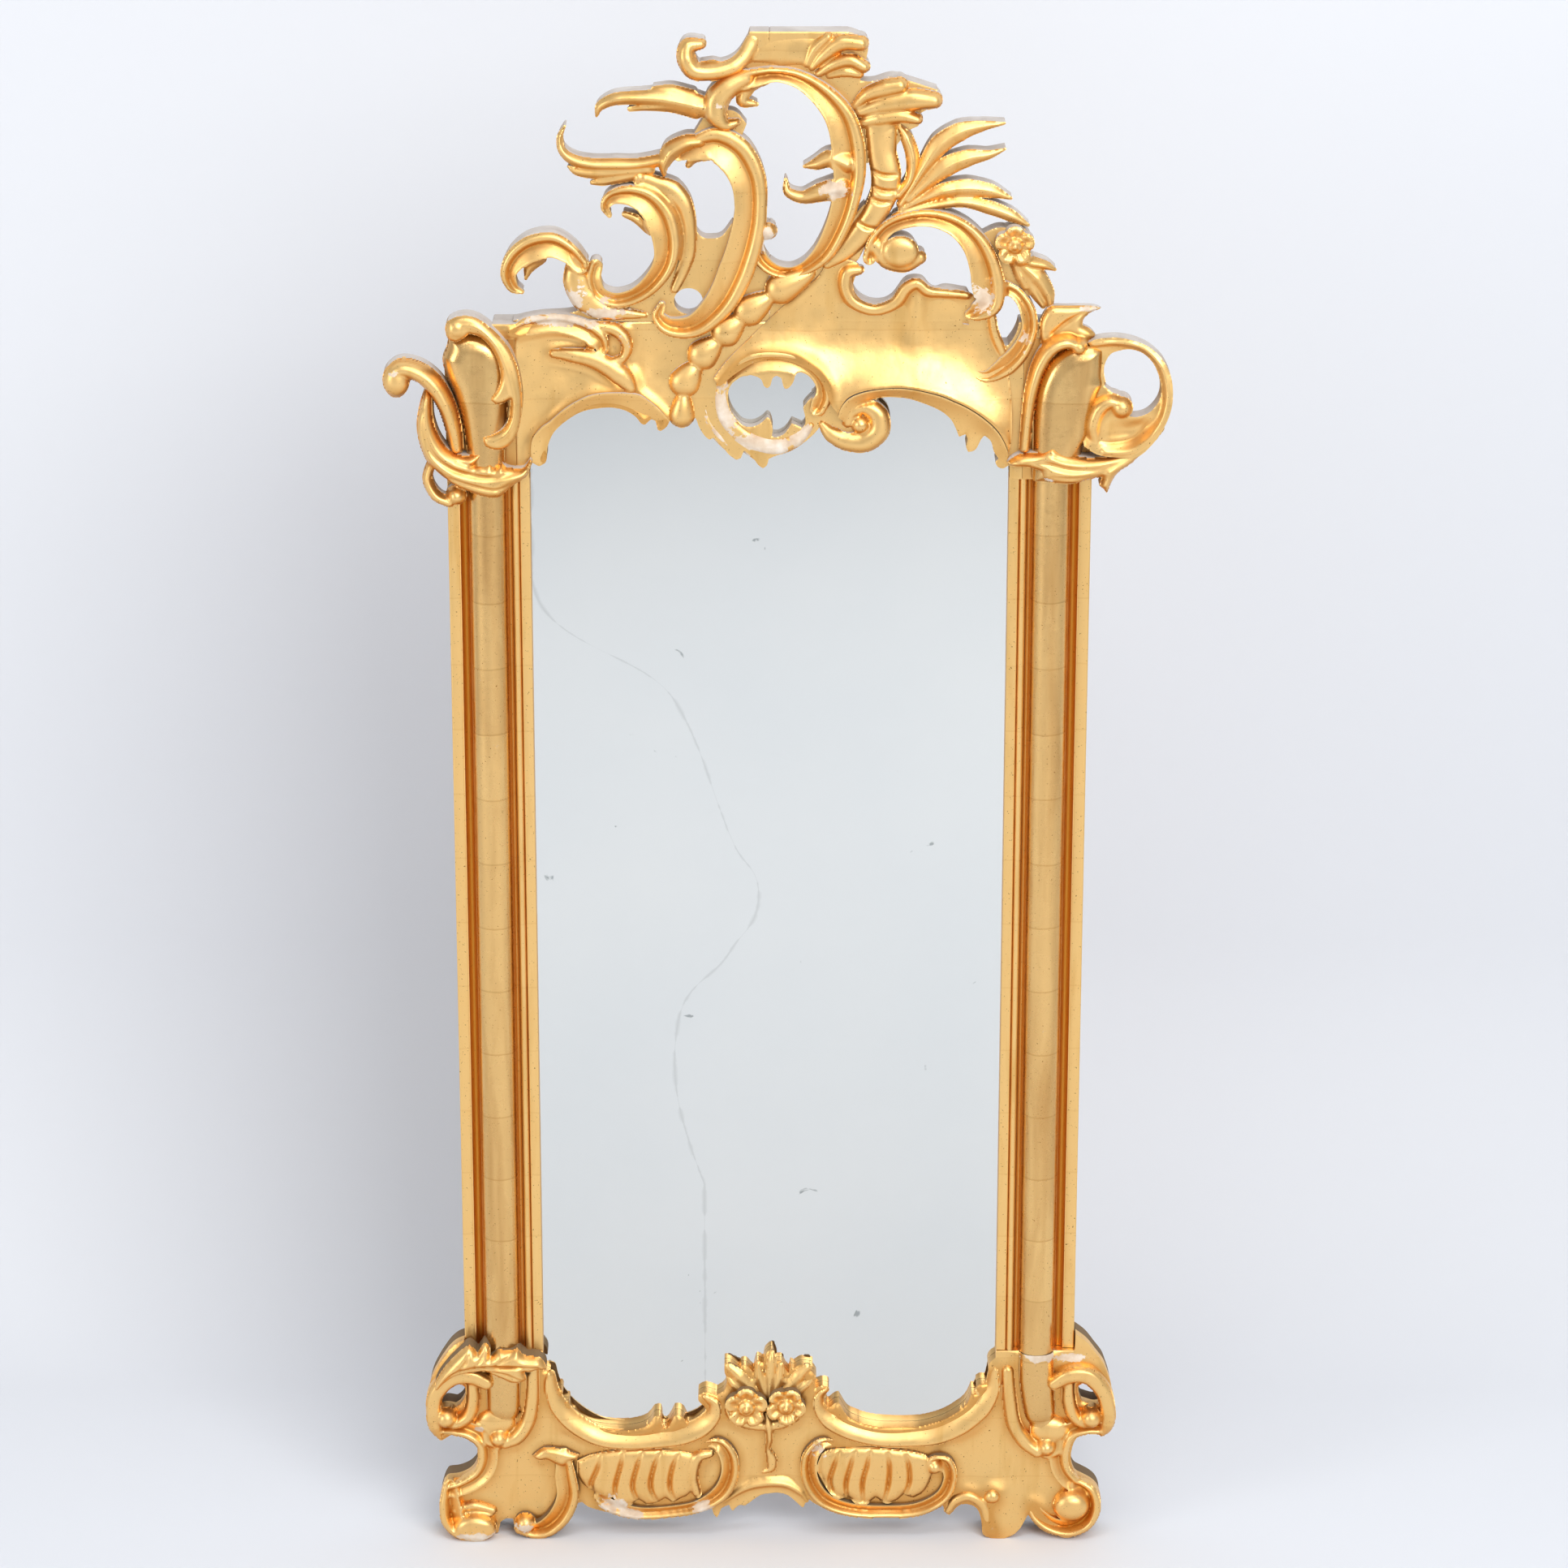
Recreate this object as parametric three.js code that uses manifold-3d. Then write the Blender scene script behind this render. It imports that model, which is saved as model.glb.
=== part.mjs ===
// Giltwood pier mirror of the rococo revival: a moulded frame with half columns, a glazed rebate,
// a pierced and carved crest, carved corner scrolls and a carved base standing on scroll feet.
// Millimetres, +Z up. The wall is the plane y = 0 and the front looks towards -Y until the last step,
// which puts the origin under the middle of the feet.
//
// The carving is drawn as strokes: a gouge-cut limb is a centre line of stations, each written as
// [x, z, half width, height above the seat], with a section that says how its face is cut.

import * as THREE from 'three';
import { mergeVertices } from 'three/addons/utils/BufferGeometryUtils.js';
import Module from 'manifold-3d';

// ---------------------------------------------------------------- driving dimensions

const SIGHT_HALF = 302;        // half the width of glass seen between the uprights
const SLIP_WIDTH = 23;         // flat and bead that cover the edge of the glass
const LIP = 16;                // how far the slip covers the rebate
const INNER_COVE = 7;
const COLUMN_RADIUS = 23.5;
const OUTER_COVE = 13;
const OUTER_FLAT = 14.5;

const SEAM_Z = 272;            // the uprights stand on the base board here
const SPRING_Z = 1478;         // the mouldings stop here, under the corner carving
const STILE_TOP_Z = 1660;
const RAIL_TOP_Z = 1680;       // the crest boards stand on the head rail here
const HEAD_CHAMFER = 14;

const SEAT = 38;               // thickness of stiles, rails and base: the carving sits on this face
const OUTER_FLAT_D = 34;       // depths from the wall of the upright's mouldings
const COLUMN_SEAT_D = 36;
const COVE_D = 26;
const LIP_D = 26;              // front wall of the glass rebate
const SLIP_D = 42;
const CREST_BACK = 10;         // the crest boards stand off the wall by the thickness of the battens

const GLASS_THICKNESS = 4;
const GLASS_BOTTOM_Z = 142;
const GLASS_TOP_Z = 1624;
const GLASS_BLOCK_LENGTH = 60;
const BACKBOARD_THICKNESS = 8;
const BACKBOARD_D = 11;        // back face of the backboards
const BACKBOARD_COUNT = 3;

const TENON_THICKNESS = 12;
const TENON_WIDTH = 44;
const TENON_LENGTH = 40;
const HEAD_TENON_WIDTH = 24;

const BATTEN_WIDTH = 28;
const SCREW_RADIUS = 2.2;
const SCREW_HEAD_RADIUS = 4.2;
const SCREW_HEAD_THICKNESS = 2.4;

const CLEAR = 0.3;             // gap between pieces that fit each other
const SLIVER = 0.12;           // faces thinner than this are merged with their neighbours
const BACKING = 1.5;           // the boards stop this far inside the edges of the carving on them

// ---------------------------------------------------------------- derived places

const REBATE_HALF = SIGHT_HALF + LIP;
const SLIP_OUTER = SIGHT_HALF + SLIP_WIDTH;
const COLUMN_INNER = SLIP_OUTER + INNER_COVE;
const POST_AXIS = COLUMN_INNER + COLUMN_RADIUS;
const COLUMN_OUTER = POST_AXIS + COLUMN_RADIUS;
const FLAT_INNER = COLUMN_OUTER + OUTER_COVE;
const POST_OUTER = FLAT_INNER + OUTER_FLAT;
const GLASS_HALF = SIGHT_HALF + LIP - 6;
const GLASS_FRONT_D = LIP_D - CLEAR;

// The carver's full-size drawing was made for these places; each group of carving moves with its own.
const DRAWN = { postAxis: 355.5, springZ: 1478, railTopZ: 1680, seamZ: 272 };
const LEFT_CORNER = { dx: DRAWN.postAxis - POST_AXIS, dz: SPRING_Z - DRAWN.springZ };
const RIGHT_CORNER = { dx: POST_AXIS - DRAWN.postAxis, dz: SPRING_Z - DRAWN.springZ };
const HEAD = { dx: 0, dz: SPRING_Z - DRAWN.springZ };
const CREST = { dx: 0, dz: RAIL_TOP_Z - DRAWN.railTopZ };
const FOOT = { dx: 0, dz: 0 };
const LEFT_FOOT = { dx: DRAWN.postAxis - POST_AXIS, dz: 0 };
const RIGHT_FOOT = { dx: POST_AXIS - DRAWN.postAxis, dz: 0 };

// ---------------------------------------------------------------- solids

const wasm = await Module();
wasm.setup();

function solid(geometry) {
  geometry.deleteAttribute('normal');
  geometry.deleteAttribute('uv');
  const merged = mergeVertices(geometry, 1e-4);
  const triangles = Uint32Array.from(merged.index.array);
  const vertices = Float32Array.from(merged.attributes.position.array);
  if (signedVolume(vertices, triangles) < 0) {
    for (let i = 0; i < triangles.length; i += 3) {
      [triangles[i], triangles[i + 1]] = [triangles[i + 1], triangles[i]];
    }
  }
  return new wasm.Manifold(new wasm.Mesh({ numProp: 3, vertProperties: vertices, triVerts: triangles }));
}

function signedVolume(vertices, triangles) {
  const [a, b, c] = [new THREE.Vector3(), new THREE.Vector3(), new THREE.Vector3()];
  let volume = 0;
  for (let i = 0; i < triangles.length; i += 3) {
    a.fromArray(vertices, 3 * triangles[i]);
    b.fromArray(vertices, 3 * triangles[i + 1]);
    c.fromArray(vertices, 3 * triangles[i + 2]);
    volume += a.dot(b.cross(c)) / 6;
  }
  return volume;
}

const join = (solids) => solids.reduce((whole, part) => whole.add(part));
const cut = (whole, tools) => tools.reduce((left, tool) => left.subtract(tool), whole);

function block(x0, x1, d0, d1, z0, z1) {
  const geometry = new THREE.BoxGeometry(x1 - x0, d1 - d0, z1 - z0);
  geometry.translate((x0 + x1) / 2, -(d0 + d1) / 2, (z0 + z1) / 2);
  return solid(geometry);
}

// A board sawn to an outline: points are [x, z]; d0 and d1 are its back and front faces.
function board(points, d0, d1, place = FOOT) {
  const shape = new THREE.Shape(points.map(([x, z]) => new THREE.Vector2(x + place.dx, z + place.dz)));
  const geometry = new THREE.ExtrudeGeometry(shape, { depth: d1 - d0, bevelEnabled: false });
  geometry.rotateX(Math.PI / 2);
  geometry.translate(0, -d0, 0);
  return solid(geometry);
}

// A run of moulding: profile points are [x, d], planed along Z.
function moulding(profile, z0, z1) {
  const shape = new THREE.Shape(profile.map(([x, d]) => new THREE.Vector2(x, -d)));
  const geometry = new THREE.ExtrudeGeometry(shape, { depth: z1 - z0, bevelEnabled: false });
  geometry.translate(0, 0, z0);
  return solid(geometry);
}

// Points of an arc in a profile, from one angle to another in degrees.
function arc(cx, cy, rx, ry, from, to, steps) {
  return Array.from({ length: steps + 1 }, (_, i) => {
    const angle = THREE.MathUtils.degToRad(from + (to - from) * i / steps);
    return [cx + rx * Math.cos(angle), cy + ry * Math.sin(angle)];
  });
}

// ---------------------------------------------------------------- carved strokes

// Sections, from one edge over the face to the other: [across, up], both as shares.
const ROUND = [[-1, 0], [-0.8, 0.72], [0, 1], [0.8, 0.72], [1, 0]];
const HOLLOW = [[-1, 0], [-0.86, 1], [0, 0.65], [0.86, 1], [1, 0]];
const RIDGE = [[-1, 0], [-0.85, 0.5], [0, 1], [0.85, 0.5], [1, 0]];
const SQUARE = [[-1, 0], [-1, 1], [1, 1], [1, 0]];

const MAX_TURN = THREE.MathUtils.degToRad(44);
const BACKING_TURN = THREE.MathUtils.degToRad(65);
const MAX_STEP = 90;
const SWELL = 0.6;             // a change of width by this share calls for a station too
const FINE = 10;

// Stations along a stroke: close together where it bends, far apart where it runs straight.
function stations(path, place, maxTurn = MAX_TURN) {
  const line = new THREE.CatmullRomCurve3(
    path.map(([x, z]) => new THREE.Vector3(x + place.dx, z + place.dz, 0)), false, 'catmullrom', 0.5);
  const size = new THREE.CatmullRomCurve3(
    path.map(([, , width, height]) => new THREE.Vector3(width, height, 0)), false, 'catmullrom', 0.3);
  const count = (path.length - 1) * FINE;
  const fine = Array.from({ length: count + 1 }, (_, i) => {
    const t = i / count;
    const at = line.getPoint(t);
    const along = line.getTangent(t);
    const { x: width, y: height } = size.getPoint(t);
    return { x: at.x, z: at.y, tx: along.x, tz: along.y, width, height };
  });
  const kept = [fine[0]];
  let turn = 0;
  let run = 0;
  for (let i = 1; i < count; i += 1) {
    const [before, here] = [fine[i - 1], fine[i]];
    turn += Math.acos(Math.min(1, before.tx * here.tx + before.tz * here.tz));
    run += Math.hypot(here.x - before.x, here.z - before.z);
    const swell = Math.abs(here.width - kept[kept.length - 1].width) > SWELL * here.width;
    if (turn > maxTurn || run > MAX_STEP || swell) {
      kept.push(here);
      turn = 0;
      run = 0;
    }
  }
  kept.push(fine[count]);
  return kept;
}

// Joins rings of points into one closed body, with its two ends capped.
function loft(rings, section) {
  const n = section.length;
  const last = (rings.length - 1) * n;
  const index = [];
  for (let i = 0; i < rings.length - 1; i += 1) {
    for (let j = 0; j < n; j += 1) {
      const [a, b] = [i * n + j, i * n + (j + 1) % n];
      index.push(a, b, a + n, b, b + n, a + n);
    }
  }
  const caps = THREE.ShapeUtils.triangulateShape(section.map(([u, v]) => new THREE.Vector2(u, v)), []);
  for (const [a, b, c] of caps) {
    index.push(a, b, c, last + a, last + c, last + b);
  }
  const geometry = new THREE.BufferGeometry();
  geometry.setAttribute('position', new THREE.Float32BufferAttribute(rings.flat(2), 3));
  geometry.setIndex(index);
  return solid(geometry);
}

function stroke(path, { section = ROUND, grow = 0, place = FOOT, seat = SEAT, maxTurn = MAX_TURN } = {}) {
  const along = stations(path, place, maxTurn);
  const [first, last] = [along[0], along[along.length - 1]];
  first.x -= first.tx * grow;
  first.z -= first.tz * grow;
  last.x += last.tx * grow;
  last.z += last.tz * grow;
  const foot = grow > 0 ? seat - 1 : seat;
  return loft(along.map(({ x, z, tx, tz, width, height }) => section.map(([across, up]) => {
    const side = across * (width + grow);
    const d = up > 0 ? seat + up * height + grow : foot;
    return [x - tz * side, -d, z + tx * side];
  })), section);
}

// A boss: a flat-backed dome, [x, z, radius across, radius along, height, turn in degrees, sides].
function dome([x, z, rx, rz, height, turn = 0, sides = 8], { grow = 0, place = FOOT, seat = SEAT } = {}) {
  const profile = [[0, 0], [1, 0], [0.78, 0.7], [0, 1]];
  const geometry = new THREE.LatheGeometry(profile.map(([r, h]) => new THREE.Vector2(r, h)), sides);
  geometry.scale(rx + grow, height + grow + (grow > 0 ? 1 : 0), rz + grow);
  geometry.rotateX(Math.PI);
  geometry.rotateY(THREE.MathUtils.degToRad(turn));
  geometry.translate(x + place.dx, -(seat - (grow > 0 ? 1 : 0)), z + place.dz);
  return solid(geometry);
}

// A carved motif is a few strokes and bosses; grown, it is the tool that makes room for itself.
function carve({ strokes = [], domes = [], place = FOOT, section = ROUND }, grow = 0) {
  return join([
    ...strokes.map(({ path, section: own = section }) => stroke(path, { section: own, grow, place })),
    ...domes.map((shape) => dome(shape, { grow, place })),
  ]);
}

// Motifs carved out of one piece of wood.
function together(...motifs) {
  return {
    place: motifs[0].place,
    strokes: motifs.flatMap(({ strokes = [], section = ROUND }) => strokes
      .map((one) => ({ section, ...one }))),
    domes: motifs.flatMap(({ domes = [] }) => domes),
  };
}

// The board that backs a motif, a little inside its edges.
function backing({ strokes = [], domes = [], place = FOOT }) {
  const depth = SEAT - CREST_BACK;
  const narrow = (path) => path.map(([x, z, width]) => [x, z, Math.max(width - BACKING, 1), depth]);
  return join([
    ...strokes.map(({ path }) => stroke(narrow(path), { section: SQUARE, place, seat: CREST_BACK,
      maxTurn: BACKING_TURN })),
    ...domes.map(([x, z, rx, rz]) => dome([x, z, rx - BACKING, rz - BACKING, depth],
      { place, seat: CREST_BACK }).intersect(block(-POST_OUTER * 2, POST_OUTER * 2, CREST_BACK, SEAT, 0,
      STILE_TOP_Z * 2))),
  ]);
}

// Keeps the body of a piece when a fitting cut has left crumbs beside it, and clears its slivers.
function body(whole) {
  const bodies = whole.simplify(SLIVER).decompose();
  return bodies.reduce((best, one) => (one.volume() > best.volume() ? one : best));
}

// ---------------------------------------------------------------- the model

const assembly = new THREE.Group();

const GILT = { color: 0xe9be72, roughness: 0.42, metalness: 1 };
const BURNISHED = { color: 0xd9b45f, roughness: 0.25, metalness: 1 };
const WOOD = { color: 0x8a6f4c, roughness: 0.8, metalness: 0 };
const GLASS = { color: 0xdfe4e2, roughness: 0.03, metalness: 1 };
const STEEL = { color: 0x77736c, roughness: 0.5, metalness: 1 };

function add(name, shape, finish) {
  const { vertProperties, triVerts } = shape.getMesh();
  const geometry = new THREE.BufferGeometry();
  geometry.setAttribute('position', new THREE.BufferAttribute(Float32Array.from(vertProperties), 3));
  geometry.setIndex(new THREE.BufferAttribute(Uint32Array.from(triVerts), 1));
  geometry.computeVertexNormals();
  const mesh = new THREE.Mesh(geometry, new THREE.MeshStandardMaterial(finish));
  mesh.name = name;
  assembly.add(mesh);
}

// Carving is scribed round the pieces already in place, with the fitting gap between them.
const fitted = [];
const underFloor = block(-2 * POST_OUTER, 2 * POST_OUTER, 0, 4 * SEAT, -4 * SEAT, 0);

function overlaps(one, other) {
  const [a, b] = [one.boundingBox(), other.boundingBox()];
  return [0, 1, 2].every((i) => a.min[i] < b.max[i] && b.min[i] < a.max[i]);
}

function addCarving(name, motif, finish = GILT) {
  const tool = carve(motif, CLEAR).add(carve(motif));
  const shape = cut(carve(motif), fitted.filter((other) => overlaps(tool, other)));
  fitted.push(tool);
  add(name, body(shape.subtract(underFloor)), finish);
}

// ---------------------------------------------------------------- the uprights

const mirrorX = (profile, side) => profile.map(([x, d]) => [side * x, d]);

function stileProfile() {
  return [
    [REBATE_HALF, 0],
    [POST_OUTER, 0],
    [POST_OUTER, OUTER_FLAT_D - 2],
    [POST_OUTER - 2, OUTER_FLAT_D],
    [FLAT_INNER, OUTER_FLAT_D],
    ...arc(COLUMN_OUTER + OUTER_COVE / 2, OUTER_FLAT_D, OUTER_COVE / 2 - 0.5, OUTER_FLAT_D - COVE_D,
      0, -180, 6),
    [COLUMN_OUTER, COLUMN_SEAT_D],
    [COLUMN_INNER, COLUMN_SEAT_D],
    ...arc(SLIP_OUTER + INNER_COVE / 2 + CLEAR / 2, COLUMN_SEAT_D - 2, INNER_COVE / 2 - 0.5, 5, 0, -180, 5),
    [SLIP_OUTER + CLEAR, LIP_D],
    [REBATE_HALF, LIP_D],
  ];
}

function slipProfile(grow = 0) {
  const bead = SLIP_WIDTH * 0.2;
  return [
    [SIGHT_HALF - grow, LIP_D],
    [SLIP_OUTER + grow, LIP_D],
    [SLIP_OUTER + grow, SLIP_D - bead + grow],
    ...arc(SLIP_OUTER - bead, SLIP_D - bead + grow, bead + grow, bead + 1, 0, 180, 6).slice(1),
    [SLIP_OUTER - 2 * bead - 0.8, SLIP_D - 3],
    [SLIP_OUTER - 2 * bead - 1.6, SLIP_D - 1 + grow],
    [SIGHT_HALF + 1 - grow, SLIP_D - 1 + grow],
    [SIGHT_HALF - grow, SLIP_D - 3 + grow],
  ];
}

function columnProfile(grow = 0) {
  return arc(POST_AXIS, COLUMN_SEAT_D, COLUMN_RADIUS + grow, COLUMN_RADIUS + grow, 0, 180, 12);
}

const tenonMid = SEAT / 2 - 3;

// Foot tenon of an upright, and the mortise that takes it when it is grown.
function footTenon(side, grow = 0) {
  const x = side * POST_AXIS;
  return block(x - TENON_WIDTH / 2 - grow, x + TENON_WIDTH / 2 + grow,
    tenonMid - TENON_THICKNESS / 2 - grow, tenonMid + TENON_THICKNESS / 2 + grow,
    SEAM_Z - TENON_LENGTH - grow, SEAM_Z + 2);
}

// Tenon of the head rail in an upright, and its mortise.
function headTenon(side, grow = 0) {
  const [inner, outer] = [REBATE_HALF - 4, REBATE_HALF + TENON_LENGTH * 0.7 + grow];
  const [x0, x1] = side > 0 ? [inner, outer] : [-outer, -inner];
  const mid = (GLASS_TOP_Z + STILE_TOP_Z) / 2 + 2;
  return block(x0, x1, tenonMid - TENON_THICKNESS / 2 - grow, tenonMid + TENON_THICKNESS / 2 + grow,
    mid - HEAD_TENON_WIDTH / 2 - grow, mid + HEAD_TENON_WIDTH / 2 + grow);
}

for (const [name, side] of [['left', -1], ['right', 1]]) {
  const run = moulding(mirrorX(stileProfile(), side), SEAM_Z + CLEAR, SPRING_Z);
  const [inner, outer] = [REBATE_HALF, POST_OUTER];
  const head = board([[inner, SPRING_Z], [outer, SPRING_Z], [outer, STILE_TOP_Z - 2 * HEAD_CHAMFER],
    [outer - HEAD_CHAMFER, STILE_TOP_Z], [inner, STILE_TOP_Z]].map(([x, z]) => [side * x, z]), 0, SEAT);
  const stile = cut(join([run, head, footTenon(side).subtract(block(-POST_OUTER, POST_OUTER, 0, SEAT,
    SEAM_Z + CLEAR + 1, SEAM_Z + 4))]), [headTenon(side, CLEAR)]);
  add(`stile_${name}`, stile, GILT);
  add(`sight_slip_${name}`, moulding(mirrorX(slipProfile(), side), SEAM_Z + CLEAR, SPRING_Z - CLEAR), GILT);
  add(`column_${name}`, moulding(mirrorX(columnProfile(), side), SEAM_Z + CLEAR, SPRING_Z - CLEAR),
    BURNISHED);
  fitted.push(moulding(mirrorX(slipProfile(CLEAR), side), SEAM_Z, SPRING_Z));
  fitted.push(moulding(mirrorX(columnProfile(CLEAR), side), SEAM_Z, SPRING_Z));
}

// ---------------------------------------------------------------- the glass and what holds it

add('mirror_glass', block(-GLASS_HALF, GLASS_HALF, GLASS_FRONT_D - GLASS_THICKNESS, GLASS_FRONT_D,
  GLASS_BOTTOM_Z, GLASS_TOP_Z), GLASS);

const blockDepth = [BACKBOARD_D + BACKBOARD_THICKNESS + CLEAR, GLASS_FRONT_D];
const blockWidth = REBATE_HALF - GLASS_HALF - 2 * CLEAR;
for (const [name, side] of [['left', -1], ['right', 1]]) {
  const x = side * (GLASS_HALF + CLEAR + blockWidth / 2);
  const z = (GLASS_BOTTOM_Z + GLASS_TOP_Z) / 2;
  add(`glass_block_${name}`, block(x - blockWidth / 2, x + blockWidth / 2, ...blockDepth,
    z - GLASS_BLOCK_LENGTH / 2, z + GLASS_BLOCK_LENGTH / 2), WOOD);
}

const backboardBottom = GLASS_BOTTOM_Z;
const backboardPitch = (GLASS_TOP_Z - backboardBottom) / BACKBOARD_COUNT;
['lower', 'middle', 'upper'].slice(0, BACKBOARD_COUNT).forEach((name, i) => {
  add(`backboard_${name}`, block(CLEAR - REBATE_HALF, REBATE_HALF - CLEAR, BACKBOARD_D,
    BACKBOARD_D + BACKBOARD_THICKNESS, backboardBottom + i * backboardPitch,
    backboardBottom + (i + 1) * backboardPitch - 2 * CLEAR), WOOD);
});

// The rebate that the rails are cut with to take the glass and its boards.
function rebate(z0, z1) {
  return block(-REBATE_HALF, REBATE_HALF, -1, LIP_D, z0 - CLEAR, z1 + CLEAR);
}

// ---------------------------------------------------------------- the head rail

const railHalf = REBATE_HALF - CLEAR;
const HEAD_ARCHES = [
  [-302, 1478.3], [-302, 1503], [-288, 1505], [-282, 1530], [-263, 1556], [-238, 1570], [-200, 1577],
  [-172, 1571], [-156, 1556], [-146, 1556], [-136, 1549], [-124, 1556], [-112, 1552], [-94, 1553],
  [-84, 1540], [-72, 1531], [-56, 1520], [-42, 1508], [-26, 1512], [-8, 1500], [18, 1506], [42, 1523],
  [60, 1543], [78, 1528], [100, 1516], [125, 1515], [145, 1526], [149, 1552], [138, 1574], [134, 1588],
  [165, 1589], [205, 1576], [230, 1560], [240, 1540], [252, 1536], [252, 1522], [264, 1532], [280, 1522],
  [288, 1501], [302, 1503], [302, 1478.3],
];
const OPENING = [
  [-52, 1583], [-44, 1606], [-23, 1614], [-6, 1604], [10, 1613], [22, 1600], [38, 1619], [59, 1602],
  [56, 1583], [45, 1568], [47, 1550], [38, 1542], [20, 1537], [4, 1532], [1, 1552], [-20, 1544],
  [-42, 1554],
];
const SMALL_GAP = [[300, 1716], [308, 1702], [310, 1680], [304, 1660], [296, 1650], [287, 1653],
  [285, 1672], [289, 1694], [294, 1708]];

function headRail() {
  const lower = HEAD_ARCHES.map(([x, z]) => [x, z === 1478.3 ? z : z + 1.5]);
  lower[0][0] = -railHalf;
  lower[lower.length - 1][0] = railHalf;
  const outline = [...lower, [railHalf, DRAWN.railTopZ], [-railHalf, DRAWN.railTopZ]];
  outline.splice(1, 0, [-SIGHT_HALF - 0.5, 1478.3]);
  outline.splice(outline.length - 3, 0, [SIGHT_HALF + 0.5, 1478.3]);
  const blank = board(outline, 0, SEAT, HEAD)
    .add(block(-railHalf, railHalf, 0, SEAT, RAIL_TOP_Z - 40, RAIL_TOP_Z))
    .subtract(block(-railHalf - 1, railHalf + 1, -1, SEAT + 1, RAIL_TOP_Z, RAIL_TOP_Z + 500));
  const slipRoom = [-1, 1].map((side) => {
    const [x0, x1] = side > 0 ? [SIGHT_HALF - 1, REBATE_HALF + 1] : [-REBATE_HALF - 1, 1 - SIGHT_HALF];
    return block(x0, x1, -1, SEAT + 1, SPRING_Z - 60, SPRING_Z + CLEAR);
  });
  const cutBack = cut(blank, [
    rebate(GLASS_BOTTOM_Z, GLASS_TOP_Z),
    board(OPENING, -1, SEAT + 1, HEAD),
    board(SMALL_GAP, -1, SEAT + 1, CREST),
    ...slipRoom,
    ...battens(CLEAR),
  ]);
  return join([cutBack, headTenon(-1), headTenon(1)]);
}

// ---------------------------------------------------------------- crest battens, block and screws

const BATTENS = [['left', -60, 1766], ['right', 66, 1764]];
const battenFoot = RAIL_TOP_Z - 42;
const battenDepth = CREST_BACK - CLEAR;

function battens(grow = 0) {
  return BATTENS.map(([, x, top]) => block(x - BATTEN_WIDTH / 2 - grow, x + BATTEN_WIDTH / 2 + grow,
    -grow, battenDepth + grow, battenFoot - grow, top + CREST.dz + grow));
}

// A countersunk screw driven from the back, with its head let into the batten.
function screw(x, z, grow = 0) {
  const length = battenDepth + 14;
  const profile = [[0, 0], [SCREW_HEAD_RADIUS, 0], [SCREW_RADIUS, SCREW_HEAD_THICKNESS],
    [SCREW_RADIUS, length - 3], [0, length]];
  const geometry = new THREE.LatheGeometry(profile.map(([r, y]) => new THREE.Vector2(r > 0 ? r + grow : 0,
    y + (y === length ? grow : 0))), 8);
  geometry.scale(1, -1, 1);
  geometry.translate(x, -CLEAR, z);
  return solid(geometry);
}

const SCREWS = BATTENS.map(([name, x, top]) => [`batten_screw_${name}`, x, top + CREST.dz - 22]);
const screwHoles = SCREWS.map(([, x, z]) => screw(x, z, CLEAR / 2)
  .add(block(x - 1, x + 1, -1, 1, z - 1, z + 1)));

battens().forEach((batten, i) => add(`crest_batten_${BATTENS[i][0]}`, cut(batten, screwHoles), WOOD));
SCREWS.forEach(([name, x, z]) => add(name, screw(x, z), STEEL));
add('rail_head', headRail(), GILT);

const jointBlock = { half: 24, z0: 2008, z1: 2038 };
add('crest_joint_block', block(-jointBlock.half, jointBlock.half, 1, CREST_BACK, jointBlock.z0 + CREST.dz,
  jointBlock.z1 + CREST.dz), WOOD);

// ---------------------------------------------------------------- crest carving, drawn by its strokes

const bigScroll = { place: CREST, section: HOLLOW, strokes: [
  { path: [[-46, 1937, 5, 14], [-57, 1934, 8, 18], [-66, 1948, 11, 20], [-62, 1968, 13, 20],
    [-45, 1983, 11, 20], [-20, 1990, 11, 20], [10, 1994, 9, 20], [40, 1986, 11, 20], [68, 1965, 15, 20],
    [88, 1938, 19, 20], [97, 1905, 21, 20], [99, 1870, 20, 20], [94, 1835, 17, 20], [84, 1803, 15, 19],
    [68, 1772, 13, 18], [48, 1753, 9, 17], [28, 1745, 7, 16], [8, 1747, 8, 16], [-8, 1759, 9, 16],
    [-16, 1778, 9, 16], [-12, 1794, 8, 16]] },
  { section: RIDGE, path: [[-16, 1955, 3, 8], [-32, 1960, 9, 12], [-26, 1976, 9, 12], [-5, 1987, 6, 10]] },
  { section: RIDGE, path: [[43, 1877, 2, 6], [58, 1881, 8, 14], [76, 1888, 12, 18], [96, 1882, 12, 22]] },
  { section: RIDGE, path: [[20, 1861, 2, 6], [23, 1846, 6, 12], [41, 1839, 8, 14], [62, 1845, 12, 18],
    [86, 1852, 14, 22]] },
], domes: [[-2, 1797, 12, 11, 18]] };

const tallScroll = { place: CREST, section: HOLLOW, strokes: [
  { path: [[-112, 1892, 7, 12], [-92, 1901, 14, 16], [-66, 1906, 22, 18], [-42, 1892, 24, 20],
    [-26, 1862, 22, 20], [-23, 1826, 20, 20], [-28, 1790, 21, 20], [-42, 1745, 22, 20], [-62, 1706, 19, 20],
    [-92, 1678, 15, 18], [-122, 1675, 12, 16], [-138, 1688, 8, 14], [-134, 1702, 5, 12]] },
  { section: ROUND, path: [[-100, 1879, 4, 8], [-92, 1888, 6, 12], [-76, 1892, 6, 14]] },
] };

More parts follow.
